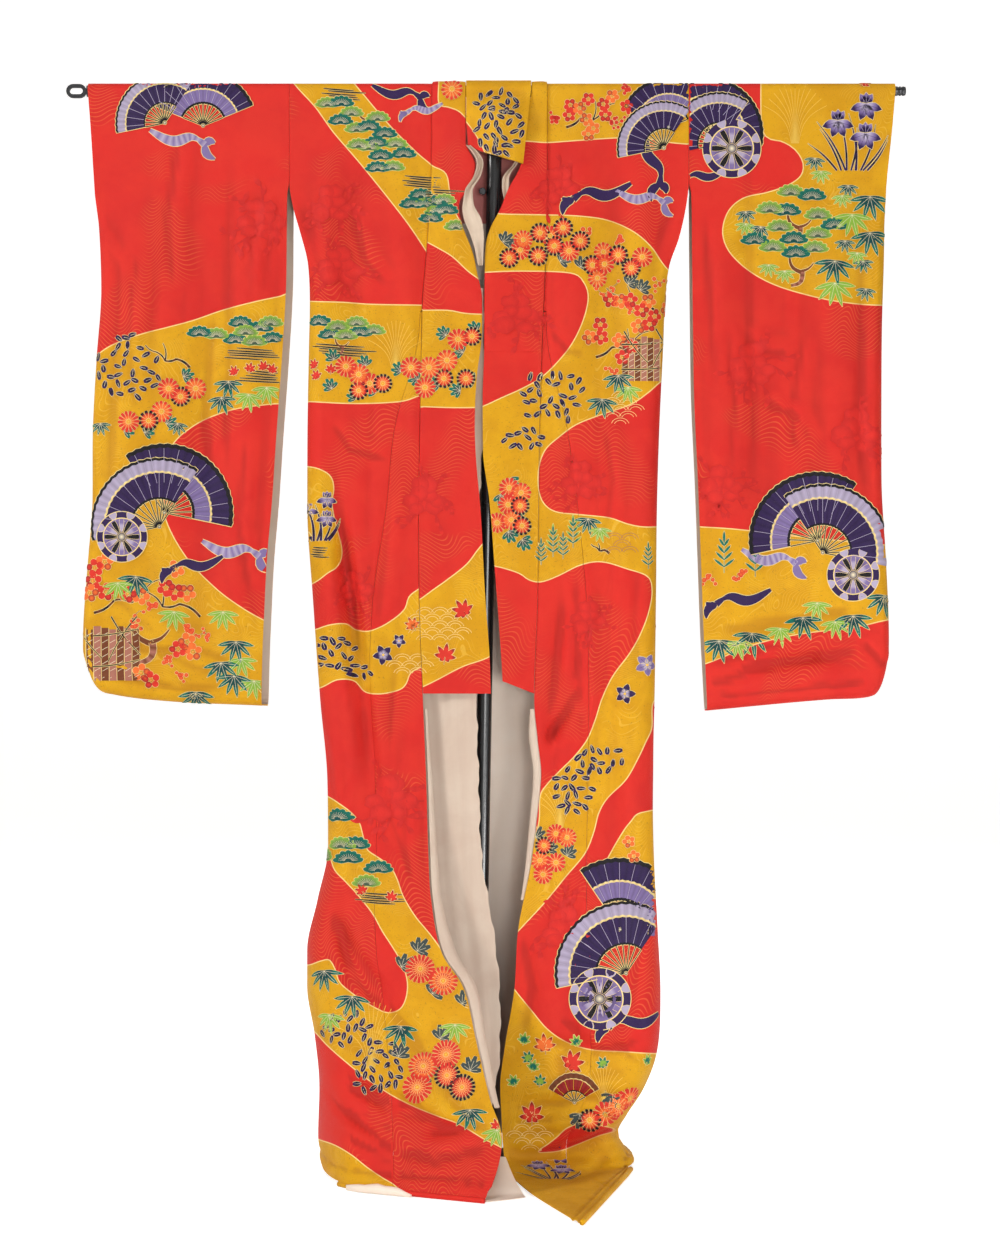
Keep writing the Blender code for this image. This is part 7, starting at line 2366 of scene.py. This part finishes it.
class Ground:
    """The outer faces of one run of panels, ready to take motifs."""

    def __init__(self, facing):
        self.facing, self.points, self.faces, self.owners, self.prints = facing, [], [], [], {}

    def add(self, panel, outer, kept):
        cells = grid_cells(*outer.shape[:2], len(self.points), kept)
        self.points += outer.reshape(-1, 3).tolist()
        self.faces += cells.tolist()
        self.owners += [panel] * len(cells)

    def ready(self):
        self.tree = BVHTree.FromPolygons(self.points, self.faces)

    def cloth_at(self, across_sheet, down_sheet):
        flat = sheet_point((across_sheet, down_sheet))
        if self.facing == FRONT:
            return self.tree.ray_cast(EYE, (flat - EYE).normalized())[0]
        return self.tree.ray_cast(Vector((flat.x, 3.0, flat.z)), Vector((0.0, -1.0, 0.0)))[0]

    def frame_at(self, x, y, reach):
        """The middle of a motif on the cloth, and its own right, down and outward ways there."""
        heart = self.cloth_at(x, y)
        if heart is None:
            return None
        left, right = self.cloth_at(x - reach, y), self.cloth_at(x + reach, y)
        above, below = self.cloth_at(x, y - reach), self.cloth_at(x, y + reach)
        rightward = (right or heart) - (left or heart)
        downward = (below or heart) - (above or heart)
        rightward = rightward.normalized() if left or right else Vector((1.0, 0.0, 0.0))
        downward = downward.normalized() if above or below else Vector((0.0, 0.0, -1.0))
        outward = (downward.cross(rightward) * -self.facing).normalized()
        if outward.y * self.facing <= LEAST_OUTWARD and outward.z <= LEAST_UPWARD:
            outward = Vector((0.0, self.facing, 0.0))
        rightward = (rightward - outward * rightward.dot(outward)).normalized()
        downward = rightward.cross(outward) * -self.facing
        return heart, rightward, downward, outward

    def lay(self, kind, dye, size, layer, x, y, seed):
        drawing = Drawing()
        MOTIF_KINDS[kind](drawing, size, dye, seed)
        spot = self.frame_at(x, y, max(LEAST_REACH, 0.6 * size))
        if spot is None:
            return
        heart, rightward, downward, outward = spot
        near = (heart.y - EYE.y) / -EYE.y if self.facing == FRONT else 1.0
        step = SHEET_STEP * near
        laid, owners, facings = [], [], []
        for (dx, dy), level in zip(drawing.points, drawing.levels):
            place = heart + (rightward * dx + downward * dy) * step
            for nudge in ((0, 0), (1, 0), (-1, 0), (0, 1), (0, -1)):
                aside = rightward * nudge[0] + downward * nudge[1]
                start = place + aside * NUDGE + outward * LOOK_FROM
                found, normal, face, _ = self.tree.ray_cast(start, -outward, LOOK_REACH)
                if found is not None:
                    break
            if found is None:
                laid.append(None)
                owners.append(None)
                facings.append(None)
                continue
            normal = normal if normal.dot(outward) > 0 else -normal
            facings.append(normal)
            lift = LIFT + LEVEL_LIFT * level + LAYER_LIFT * layer
            lift = lift + NEIGHBOUR_LIFT * (seed % NEIGHBOURS)
            laid.append(found + normal * lift)
            owners.append(self.owners[face])
        for face in drawing.faces:
            corners = [laid[i] for i in face]
            if any(corner is None for corner in corners):
                continue
            flat = [drawing.points[i] for i in face]
            steps = [
                (corners[i] - corners[i - 1]).length - step * math.dist(flat[i], flat[i - 1])
                for i in range(len(face))
            ]
            if max(steps) > STRETCH_LIMIT:
                continue
            turn = (corners[2] - corners[0]).cross(corners[-1] - corners[1])
            corners_in_order = face if turn.dot(outward) > 0 else face[::-1]
            printed = self.prints.setdefault(owners[face[0]], ({}, [], [], [], []))
            numbers, places, dyes, faces, normals = printed
            row = []
            for i in corners_in_order:
                key = (seed, i)
                if key not in numbers:
                    numbers[key] = len(places)
                    places.append(laid[i])
                    dyes.append((*drawing.dyes[i], 1.0))
                    normals.append(facings[i])
                row.append(numbers[key])
            faces.append(row)


grounds = {}  # every run of panels by its name


def takes_motifs(panel, ground, facing, outer, kept):
    name = {"collar_left": "body_left"}.get(ground, ground)
    name += " behind" if facing == BACK and name.startswith("sleeve") else ""
    grounds.setdefault(name, Ground(facing)).add(panel, outer, kept)


def print_motifs(finish):
    """Lays every motif and makes one print for each panel; returns the prints by panel."""
    made = {}
    for name, ground in grounds.items():
        ground.ready()
        seed = 0
        for kind, dye, size, layer, places in MOTIF_PLACES[name]:
            for x, y in sheet_run(places).tolist():
                ground.lay(kind, dye, size, layer, x, y, seed)
                seed += 1
        for panel, (_, places, dyes, faces, normals) in ground.prints.items():
            print_name = panel.replace("silk_", "print_")
            data = bpy.data.meshes.new(print_name)
            data.from_pydata(places, [], faces)
            data.materials.append(finish)
            layer = data.color_attributes.new(name="dye", type="FLOAT_COLOR", domain="POINT")
            layer.data.foreach_set("color", np.array(dyes, np.float32).ravel())
            data.shade_smooth()
            data.normals_split_custom_set_from_vertices(normals)
            made[panel] = new_piece(print_name, data)
    return made


# ---- pieces of the garment --------------------------------------------------

HEM_TUCK = 0.0022  # how far the panels reach over the hem roll
HEM_SEAM = 0.021  # height of the hem's seam above the edge
CHANNEL_DEPTH, CHANNEL_WIDTH = 0.0022, 0.0045  # of the seam
PUFF_HEIGHT, PUFF_WIDTH, PUFF_AT = 0.0020, 0.008, 0.45  # of the padding below it
GATHER_HEIGHT, GATHER_WIDTH = 0.0007, 0.011


FULL_SHADE_DEPTH = 0.0011  # a crease this deep takes the whole painted shade


def crease_depth(points, normals, reach=2):
    """Share of painted shade: 1 in the bottom of a crease, 0 on flat cloth and ridges."""
    padded_points = np.pad(points, ((reach, reach), (reach, reach), (0, 0)), mode="edge")
    rows, columns = points.shape[:2]
    around = np.zeros_like(points)
    for i in range(2 * reach + 1):
        for j in range(2 * reach + 1):
            around += padded_points[i : i + rows, j : j + columns]
    around /= (2 * reach + 1) ** 2
    depth = np.sum((around - points) * normals, axis=-1) / FULL_SHADE_DEPTH
    depth[:reach], depth[-reach:], depth[:, :reach], depth[:, -reach:] = 0.0, 0.0, 0.0, 0.0
    return np.clip(depth, 0.0, 1.0)


def hem_gathers(points, normals):
    """The padded hem's seam: a shallow channel above the edge, with small gathers along it."""
    above_foot = distance_to_foot(points)
    channel = np.exp(-(((above_foot - HEM_SEAM) / CHANNEL_WIDTH) ** 2))
    puff = np.exp(-(((above_foot - PUFF_AT * HEM_SEAM) / PUFF_WIDTH) ** 2))
    u = distance_across(points)
    gathers = np.sin(u * 260.0 + 3.0 * np.sin(u * 37.0))
    gathers = gathers * np.exp(-(((above_foot - HEM_SEAM) / GATHER_WIDTH) ** 2))
    relief = -CHANNEL_DEPTH * channel + PUFF_HEIGHT * puff + GATHER_HEIGHT * gathers
    return points + relief[..., None] * normals


BACK_DIP = 0.0003  # the lining lies against the back, which swells outwards instead of in
CREASES_FROM_FOOT = (0.012, 0.045)  # the sharper creases grow between these distances to the foot
CREASES_FROM_SIDE = (0.004, 0.022)  # and to a sewn side


def creased(points, normals, ground, facing, sewn_side):
    """Presses the sharper creases into a panel; they end before its foot and its sewn side."""
    relief = crease_relief(sheet_places(points, facing), CREASES.get(ground, ()))
    relief = relief * smoothstep(distance_to_foot(points), *CREASES_FROM_FOOT)
    if sewn_side:
        relief = relief * smoothstep(distance_across(points), *CREASES_FROM_SIDE)
    if ground == "back":
        relief = np.maximum(relief, -BACK_DIP)
    return points + relief[..., None] * normals


def silk_panel(
    name, node, surface, s, t, outward, finishes, ground, facing=FRONT, thickness=CLOTH, seams="",
    level_rims="", kept=None, tuck=0.0
):
    """A cloth panel in place of its solid; ground names its outlines on the pattern sheet."""
    outer = surface(s, t)
    normals = facing_normals(surface, s, t, outward)
    outer = creased(pinched(outer, normals, seams), normals, ground, facing, "side" in level_rims)
    if tuck:
        outer = hem_gathers(outer, normals)
        onward = outer[-1] - outer[-2]
        outer[-1] += tuck * onward / np.linalg.norm(onward, axis=-1, keepdims=True)
    inner = outer - thickness * normals
    if "top" in level_rims:
        inner[0, :, 1] = outer[0, :, 1]
    if "side" in level_rims:
        inner[:, 0, 1] = outer[:, 0, 1]
    if "foot" in level_rims:
        inner[-1, :, 1] = outer[-1, :, 1]
    data, used = cloth_mesh(name, outer, inner, finishes, kept)
    takes_motifs(name, ground, facing, outer, kept)
    band = gold_distance(ground, sheet_places(outer, facing))
    numbers_on_walls(data, "band", band, used)
    # painted shade in the creases, read by the dyed silk
    numbers_on_walls(data, "crease", crease_depth(outer, normals), used)
    piece = new_piece(name, data)
    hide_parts(node)


def grid(down, across_cloth):
    return np.meshgrid(np.asarray(down), np.asarray(across_cloth), indexing="ij")


JOINT_HALF = 0.0005  # the front narrows to its overlap seam within this, up and down
OKUMI_GAP = 0.0015  # the overlap panel begins this far below


def make_front(side, finishes):
    surface = front_surface(side)
    last = FRONT_ROWS[side][-1].s
    joint = [OKUMI_START - JOINT_HALF, OKUMI_START + JOINT_HALF]
    down = np.unique(np.concatenate((rod_and_below(last), joint)))
    s, t = grid(down, curl_and_across(0.200))
    inner_t = np.where(
        s > OKUMI_START, okumi_t(side, s) - half_gap_t(side, s), 1.0 - half_gap_t(side, s)
    )
    t = np.where(t > CURL_SHARE, mix(CURL_SHARE, inner_t, (t - CURL_SHARE) / (1.0 - CURL_SHARE)), t)
    silk_panel(
        f"silk_front_{side}", f"front_{side}", surface, s, t, OUTWARD[FRONT],
        [finishes["dyed silk"], finishes["inner lining"]], f"body_{side}",
        seams="last", level_rims="top side", tuck=HEM_TUCK,
    )


def make_okumi(side, finishes):
    surface = front_surface(side)
    last = FRONT_ROWS[side][-1].s
    s, share = grid(places_between(OKUMI_START + OKUMI_GAP, last), np.linspace(0.0, 1.0, 22))
    t = mix(okumi_t(side, s) + half_gap_t(side, s), 1.0 - half_gap_t(side, s), share)
    silk_panel(
        f"silk_okumi_{side}", f"okumi_{side}", surface, s, t, OUTWARD[FRONT],
        [finishes["dyed silk"], finishes["lining"]], f"body_{side}", seams="first", tuck=HEM_TUCK,
    )


def make_back(side, finishes):
    surface = back_surface(side)
    side_x = FRONT_ROWS[side][0].side_x
    notch_x = {LEFT: NECK_LEFT - NECK_CLEARANCE, RIGHT: NECK_RIGHT + NECK_CLEARANCE}[side]
    start = side_x + math.copysign(TOP_CURL, -side_x)
    notch_t = CURL_SHARE + (1.0 - CURL_SHARE) * (notch_x - start) / (CENTRE_X - start)
    notch_s = ARC + (ROD_Z - (SHOULDER_Z - NECK_DROP))
    columns = np.unique(np.append(curl_and_across(0.290, BACK_STEP), notch_t))
    down = np.unique(np.append(rod_and_below(BACK_ROWS[-1].s, BACK_STEP), notch_s))
    s, t = grid(down, columns)
    in_notch = (s[1:, 1:] <= notch_s + 1e-9) & (t[:-1, :-1] >= notch_t - 1e-9)
    silk_panel(
        f"silk_back_{side}", f"back_{side}", surface, s, t, OUTWARD[BACK],
        [finishes["dyed silk"], finishes["rose lining"]], "back", BACK, seams="last",
        level_rims="top side", kept=~in_notch, tuck=HEM_TUCK,
    )


def make_collar(side, finishes):
    seam = GAP / COLLAR_WIDTH
    s, t = grid(rod_and_below(COLLAR_END, COLLAR_STEP), mix(seam, 1.0, np.linspace(0.0, 1.0, 19)))
    silk_panel(
        f"silk_collar_{side}", f"collar_{side}", padded_collar(side, 0.0), s, t, STRAIGHT_OUT,
        [finishes["dyed silk"], finishes["red lining"]], ground_of_collar(side),
        thickness=COLLAR_CLOTH, seams="first", level_rims="top"
    )
    s, t = grid(rod_and_below(COVER_END, COLLAR_STEP), np.linspace(0.02, 0.985, 18))
    silk_panel(
        f"silk_over_collar_{side}", f"over_collar_{side}", padded_collar(side, GAP + COVER_CLOTH),
        s, t, STRAIGHT_OUT, [finishes["dyed silk"], finishes["red lining"]], ground_of_collar(side),
        thickness=COVER_CLOTH, seams="first last foot", level_rims="top"
    )


def ground_of_collar(side):
    return {LEFT: "collar_left", RIGHT: "body_right"}[side]


def padded_collar(side, lift):
    """The collar with the soft waves of its padding."""
    plain = collar_surface(side, lift)
    turn = {LEFT: 0.0, RIGHT: 1.9}[side]

    def surface(s, t):
        points = plain(s, t)
        waves = np.sin(31.0 * s + turn) * np.sin(math.pi * t)
        waves = waves + 0.6 * np.sin(57.0 * s + 2.0 * t + turn)
        below_rod = smoothstep(s, 0.03, 0.12)
        below_rod = below_rod * smoothstep(t, 0.0, 0.3) * smoothstep(1.0 - t, 0.0, 0.2)
        points[..., 1] -= 0.0011 * waves * below_rod
        return points

    return surface


def make_neck(finishes):
    arc = NECK_RADIUS * math.pi / 2
    down = np.concatenate((
        places_between(-arc - NECK_BACK, -arc, 0.005)[:-1], np.linspace(-arc, arc, 19)[:-1],
        places_between(arc, arc + NECK_FRONT, 0.005),
    ))

    def surface(s, t):
        share = np.clip((s - arc) / NECK_FRONT, 0.0, 1.0)
        left_inset = 0.03 * smoothstep(share, 0.55, 1.0)
        points = neck_surface(s, left_inset + (1.0 - left_inset) * t)
        rounding = np.sin(math.pi * t) - 0.3 * smoothstep(share, 0.4, 1.0)
        points[..., 1] -= 0.008 * rounding * smoothstep(share, 0.0, 0.35)
        flap = smoothstep(s, arc, arc + 0.05)
        ripple = np.sin(9.0 * t + 38.0 * s) * 0.0016 + np.sin(21.0 * t - 30.0 * s) * 0.0006
        points[..., 1] -= flap * ripple * smoothstep(t, 0.0, 0.15)
        return points

    s, t = grid(down, np.linspace(0.0, 1.0, 22))
    silk_panel(
        "silk_neck", "collar_neck", surface, s, t, (0, -1, 0.5),
        [finishes["dyed silk"], finishes["inner lining"]], "neck", thickness=NECK_CLOTH,
    )


def make_sleeve(side, finishes):
    below = np.concatenate((np.linspace(0.0, 0.975, 132)[:-1], np.linspace(0.975, 1.0, 12)))
    down = np.concatenate((np.linspace(0.0, ROD_SHARE, 6)[:-1], mix(ROD_SHARE, 1.0, below)))
    s, t = grid(down, curl_and_across(0.310, SLEEVE_STEP))
    for facing, word in ((FRONT, "front"), (BACK, "back")):
        silk_panel(
            f"silk_sleeve_{side}_{word}", f"sleeve_{side}_{word}", sleeve_surface(side, facing),
            s, t, (0, facing, 0.1), [finishes["dyed silk"], finishes["lining"]], f"sleeve_{side}",
            facing, level_rims="top side foot",
        )


def plain_piece(name, node, surface, s, t, outward, thickness, finish):
    """A lining, ribbon or facing in place of its solid."""
    outer = surface(s, t)
    inner = outer - thickness * facing_normals(surface, s, t, outward)
    data, used = cloth_mesh(name, outer, inner, [finish])
    # painted shade on the back's lining between the hems
    if "lining_back" in name:
        numbers_on_walls(data, "closed", painted_shade_where_closed(outer), used)
    piece = new_piece(name, data)
    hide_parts(node)


def painted_shade_where_closed(points):
    """Painted shade: 1 deep between the hems, where hardly any light falls, 0 where the front
    stands open.
    """
    low = 1.0 - smoothstep(points[..., 2], 0.16, 0.46)
    beside = np.exp(-(((points[..., 0] - 0.006) / 0.024) ** 2))
    return low * beside


def make_linings(finishes):
    for side in (LEFT, RIGHT):
        behind = moved_in(back_surface(side), CLOTH + GAP, OUTWARD[BACK])
        columns = [t for t in curl_and_across(0.290, BACK_STEP) if t > 0.50]
        s, t = grid(places_between(LINING_FROM, LINING_BY, 0.009), columns)
        name = f"lining_back_{side}"
        # painted light: the back's lining is the cream lining made lighter
        plain_piece(
            f"silk_{name}", name, behind, s, t, OUTWARD[BACK], LINING, finishes["painted light lining"]
        )

    def fold(s, t):
        points = lining_fold_surface(s, t)
        waver = 0.0012 * np.sin(95.0 * s) + 0.0007 * np.sin(210.0 * s + 1.0)
        points[..., 0] += waver * smoothstep(t, 0.6, 1.0)
        soft = np.sin(26.0 * t + 6.0 * np.sin(4.0 * s)) * 0.0008 * smoothstep(1.0 - t, 0.0, 0.2)
        points[..., 1] -= soft * smoothstep(t, 0.0, 0.2)
        return points

    top, foot = LINING_FOLD_ROWS[0].z, LINING_FOLD_ROWS[-1].z
    s, t = grid(places_between(-top, -foot, 0.006), np.linspace(0.0, 1.0, 20))
    plain_piece(
        "silk_lining_fold", "lining_fold", fold, s, t, STRAIGHT_OUT, LINING, finishes["lining"]
    )
    first, last = LINING_HEM_ROWS[0].y, LINING_HEM_ROWS[-1].y
    s, t = grid(places_between(-first, -last, 0.005), np.linspace(0.0, 1.0, 13))
    # painted light: the hem's tongue of lining is the cream lining made lighter
    plain_piece(
        "silk_lining_hem", "lining_hem", lining_hem_surface, s, t, (0, 0, 1), LINING,
        finishes["painted light lining"],
    )


def make_trim(side, finishes):
    rows = RIBBON_ROWS[side]
    plain = ribbon_surface(side)

    def rumpled(s, t):
        points = plain(s, t)
        ripple = 0.0022 * np.sin(math.pi * t) * np.sin(34.0 * s + 5.0 * t)
        points[..., 1] -= ripple + 0.0012 * np.sin(9.0 * t)
        return points

    s, t = grid(places_between(-rows[0].z, -rows[-1].z, 0.003), np.linspace(0.0, 1.0, 11))
    plain_piece(
        f"satin_neck_ribbon_{side}", f"neck_ribbon_{side}", rumpled, s, t, STRAIGHT_OUT,
        RIBBON_CLOTH, finishes["ribbon"],
    )
    rows = FACING_ROWS[side]
    s, t = grid(places_between(rows[0].s, rows[-1].s, 0.005), np.linspace(0.0, 1.0, 7))
    plain_piece(
        f"silk_facing_{side}", f"facing_{side}", facing_surface(side), s, t, STRAIGHT_OUT,
        FACING_CLOTH, finishes["lining"]
    )


def padded_roll(name, node, path, finish, ground):
    """A padded hem roll round its path, pinched a little by its stitches."""
    around = 12
    rungs = []
    path = np.asarray(path)
    for share in np.linspace(0.0, 1.0, 3 * len(path)):
        at = share * (len(path) - 1)
        i = min(int(at), len(path) - 2)
        rungs.append(mix(path[i], path[i + 1], at - i))
    rungs = np.array(rungs)
    run = np.gradient(rungs, axis=0)
    run /= np.linalg.norm(run, axis=1, keepdims=True)
    up = np.array([0.0, 0.0, 1.0])
    aside = np.cross(run, up)
    aside /= np.linalg.norm(aside, axis=1, keepdims=True)
    lift = np.cross(aside, run)
    angle = np.linspace(0.0, 2.0 * math.pi, around, endpoint=False)
    plump = 1.0 - 0.05 * np.abs(np.sin(np.arange(len(rungs)) * 1.3))
    radius = (HEM_ROLL_RADIUS * plump)[:, None, None]
    points = rungs[:, None] + radius * (
        np.cos(angle)[None, :, None] * aside[:, None] + np.sin(angle)[None, :, None] * lift[:, None]
    )
    count = len(rungs)
    quads = loop_quads(around)
    faces = [[row * around + i for i in quad] for row in range(count - 1) for quad in quads]
    faces += [tuple(range(around))[::-1], tuple((count - 1) * around + j for j in range(around))]
    data = bpy.data.meshes.new(name)
    data.from_pydata(points.reshape(-1, 3).tolist(), [], faces)
    data.materials.append(finish)
    layer = data.uv_layers.new(name="cloth")
    places = [
        (data.vertices[loop.vertex_index].co.x, data.vertices[loop.vertex_index].co.y)
        for loop in data.loops
    ]
    layer.data.foreach_set("uv", np.array(places, np.float32).ravel())
    data.shade_smooth()
    facing = BACK if ground == "back" else FRONT
    numbers_on(data, "band", gold_distance(ground, sheet_places(points.reshape(-1, 3), facing)))
    numbers_on(data, "crease", np.zeros(len(data.vertices)))
    piece = new_piece(name, data)
    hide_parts(node)


def make_lining_roll(finishes):
    """A roll of lining that has crept out from under the left hem."""
    path = hem_path(
        front_surface(LEFT), FRONT_ROWS[LEFT][-1].s, np.linspace(0.12, 0.52, 10), OUTWARD[FRONT]
    )
    around, count = 12, len(path)
    plump = 0.0078 * np.sin(math.pi * np.linspace(0.10, 0.97, count)) ** 0.5
    angle = np.linspace(0.0, 2.0 * math.pi, around, endpoint=False)
    points = np.repeat(path[:, None], around, axis=1)
    points[..., 1] += -0.0085 + plump[:, None] * 1.25 * np.cos(angle)
    points[..., 2] = plump[:, None] * (1.0 + np.sin(angle)) + 0.0004
    points[..., 2] += 0.0006 * np.sin(np.arange(count) * 2.1)[:, None] * (1.0 + np.sin(angle))
    number = np.arange(count * around).reshape(count, around)
    faces = np.stack(
        (number[:-1], number[1:], np.roll(number, -1, 1)[1:], np.roll(number, -1, 1)[:-1]), axis=-1
    )
    faces = faces.reshape(-1, 4).tolist() + [number[0].tolist(), number[-1][::-1].tolist()]
    data = bpy.data.meshes.new("silk_lining_roll")
    data.from_pydata(points.reshape(-1, 3).tolist(), [], faces)
    # painted light: the roll is the cream lining made lighter
    data.materials.append(finishes["painted light lining"])
    layer = data.uv_layers.new(name="cloth")
    layer.data.foreach_set(
        "uv", np.array([data.vertices[c.vertex_index].co[:2] for c in data.loops]).ravel()
    )
    data.shade_smooth()
    new_piece("silk_lining_roll", data)


def make_hem_rolls(finishes):
    places = np.linspace(0.10, 0.995, 16)
    for side, ground in ((LEFT, "body_left"), (RIGHT, "body_right")):
        last = FRONT_ROWS[side][-1].s
        path = hem_path(front_surface(side), last, places, OUTWARD[FRONT])
        padded_roll(f"padded_hem_{side}", f"hem_roll_{side}", path, finishes["dyed silk"], ground)
    last = BACK_ROWS[-1].s
    left = hem_path(back_surface(LEFT), last, np.linspace(0.18, 0.98, 12), OUTWARD[BACK])
    right = hem_path(back_surface(RIGHT), last, np.linspace(0.98, 0.18, 12), OUTWARD[BACK])
    path = np.concatenate((left, right))
    padded_roll("padded_hem_back", "hem_roll_back", path, finishes["dyed silk"], "back")


def finish_stand(finishes):
    for node, finish in (
        ("stand_base", "black steel"), ("stand_pole", "black steel"),
        ("stand_saddle", "black steel"), ("stand_rod", "black steel"), ("rod_loop", "grey steel"),
        ("rod_knob", "grey steel"), ("stand_clamp_screw", "grey steel")
    ):
        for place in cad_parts[node].material_slots:
            place.material = finishes[finish]


# ---- studio -----------------------------------------------------------------


def make_floor():
    """A pale floor that rises into a wall far behind and round the object."""
    profile = [
        (0.0, 0.0), (9.0, 0.0), (9.8, 0.12), (10.4, 0.5), (10.8, 1.2), (11.0, 2.2), (11.0, 6.0)
    ]
    around = 64
    points, faces = [(0.0, 0.0, 0.0)], []
    for radius, height in profile[1:]:
        for i in range(around):
            angle = 2 * math.pi * i / around
            points.append((radius * math.cos(angle), radius * math.sin(angle), height))
    for i in range(around):
        faces.append((0, 1 + i, 1 + (i + 1) % around))
    for ring in range(len(profile) - 2):
        for i in range(around):
            a, b = 1 + ring * around + i, 1 + ring * around + (i + 1) % around
            faces.append((a, a + around, b + around, b))
    data = bpy.data.meshes.new("studio_floor")
    data.from_pydata(points, [], faces)
    data.shade_smooth()
    material, recipe, shader = new_material("pale_studio_paper", (0.90, 0.895, 0.885), 0.85)
    shader.inputs["Emission Strength"].default_value = 0.70
    seen = recipe.add("ShaderNodeLightPath").outputs["Is Camera Ray"]
    recipe.put(
        shader, "Emission Color", recipe.blended(seen, (0.12, 0.12, 0.116), (1.0, 0.99, 0.975))
    )
    shader.inputs["Specular IOR Level"].default_value = 0.1
    room = recipe.room()
    cloud = recipe.noise(room, 1.3, 3.0, 0.5)
    recipe.put(shader, "Base Color", recipe.blended(
        recipe.graded(cloud, 0.3, 0.7), (0.905, 0.900, 0.890), (0.885, 0.880, 0.870)
    ))
    data.materials.append(material)
    floor = in_scene("studio_floor", data)


Lamp = namedtuple("Lamp", "name place aim size power shade")

WHITE = (1.0, 1.0, 1.0)
WARM_WHITE = (1.0, 0.985, 0.960)
LAMPS = [
    Lamp("key", (-4.3, -2.5, 2.9), (0.1, 0.0, 0.85), (0.8, 0.8), 130.0, WARM_WHITE),
    Lamp("fill", (1.0, -5.2, 0.9), (0.1, 0.0, 0.6), (1.2, 1.2), 50.0, WHITE),
    Lamp("top", (0.0, -1.4, 4.2), (0.0, -0.1, 0.2), (2.6, 1.6), 26.0, WHITE),
    Lamp("low", (1.2, -1.4, 0.22), (0.20, -0.25, 0.04), (0.5, 0.3), 10.0, WHITE),
    Lamp("rim", (0.0, 3.6, 3.2), (0.0, 0.0, 1.0), (3.0, 2.0), 60.0, WHITE),
]


def soft_lamp(row):
    data = bpy.data.lights.new(row.name, "AREA")
    data.shape = "RECTANGLE"
    data.size, data.size_y = row.size
    data.energy = row.power
    data.color = row.shade
    lamp = in_scene(row.name, data)
    lamp.location = row.place
    lamp.rotation_euler = (Vector(row.aim) - Vector(row.place)).to_track_quat("-Z", "Y").to_euler()


def light_studio():
    world = bpy.data.worlds.new("studio_air")
    world.use_nodes = True
    background = world.node_tree.nodes["Background"]
    background.inputs["Color"].default_value = (1.0, 0.995, 0.985, 1.0)
    background.inputs["Strength"].default_value = 0.24
    bpy.context.scene.world = world
    for lamp in LAMPS:
        soft_lamp(lamp)


LENS = 79.5  # millimetres
SENSOR_WIDTH = 36.0
CAMERA_TILT = 89.0  # degrees; 90 looks level


def set_camera():
    data = bpy.data.cameras.new("view")
    data.lens = LENS
    data.sensor_width = SENSOR_WIDTH
    camera = in_scene("view", data)
    camera.location = EYE
    camera.rotation_euler = (math.radians(CAMERA_TILT), 0.0, 0.0)
    bpy.context.scene.camera = camera
    bpy.context.scene.view_settings.view_transform = "Standard"
    bpy.context.scene.view_settings.look = "None"


# ---- cuts -------------------------------------------------------------------
# The fields of a cut: flat width, length and area of what shows of a piece before it was hung, and
# held, rests_on and slot. No cuts are given here.

Cut = namedtuple("Cut", "width length area held rests_on slot")


# ---- making -----------------------------------------------------------------


def make_kimono():
    finishes = make_finishes()
    finish_stand(finishes)
    for side in (LEFT, RIGHT):
        make_front(side, finishes)
        make_okumi(side, finishes)
        make_back(side, finishes)
        make_collar(side, finishes)
        make_sleeve(side, finishes)
        make_trim(side, finishes)
    make_neck(finishes)
    make_linings(finishes)
    make_hem_rolls(finishes)
    make_lining_roll(finishes)
    print_motifs(finishes["printed dye"])


make_kimono()
make_floor()
light_studio()
set_camera()
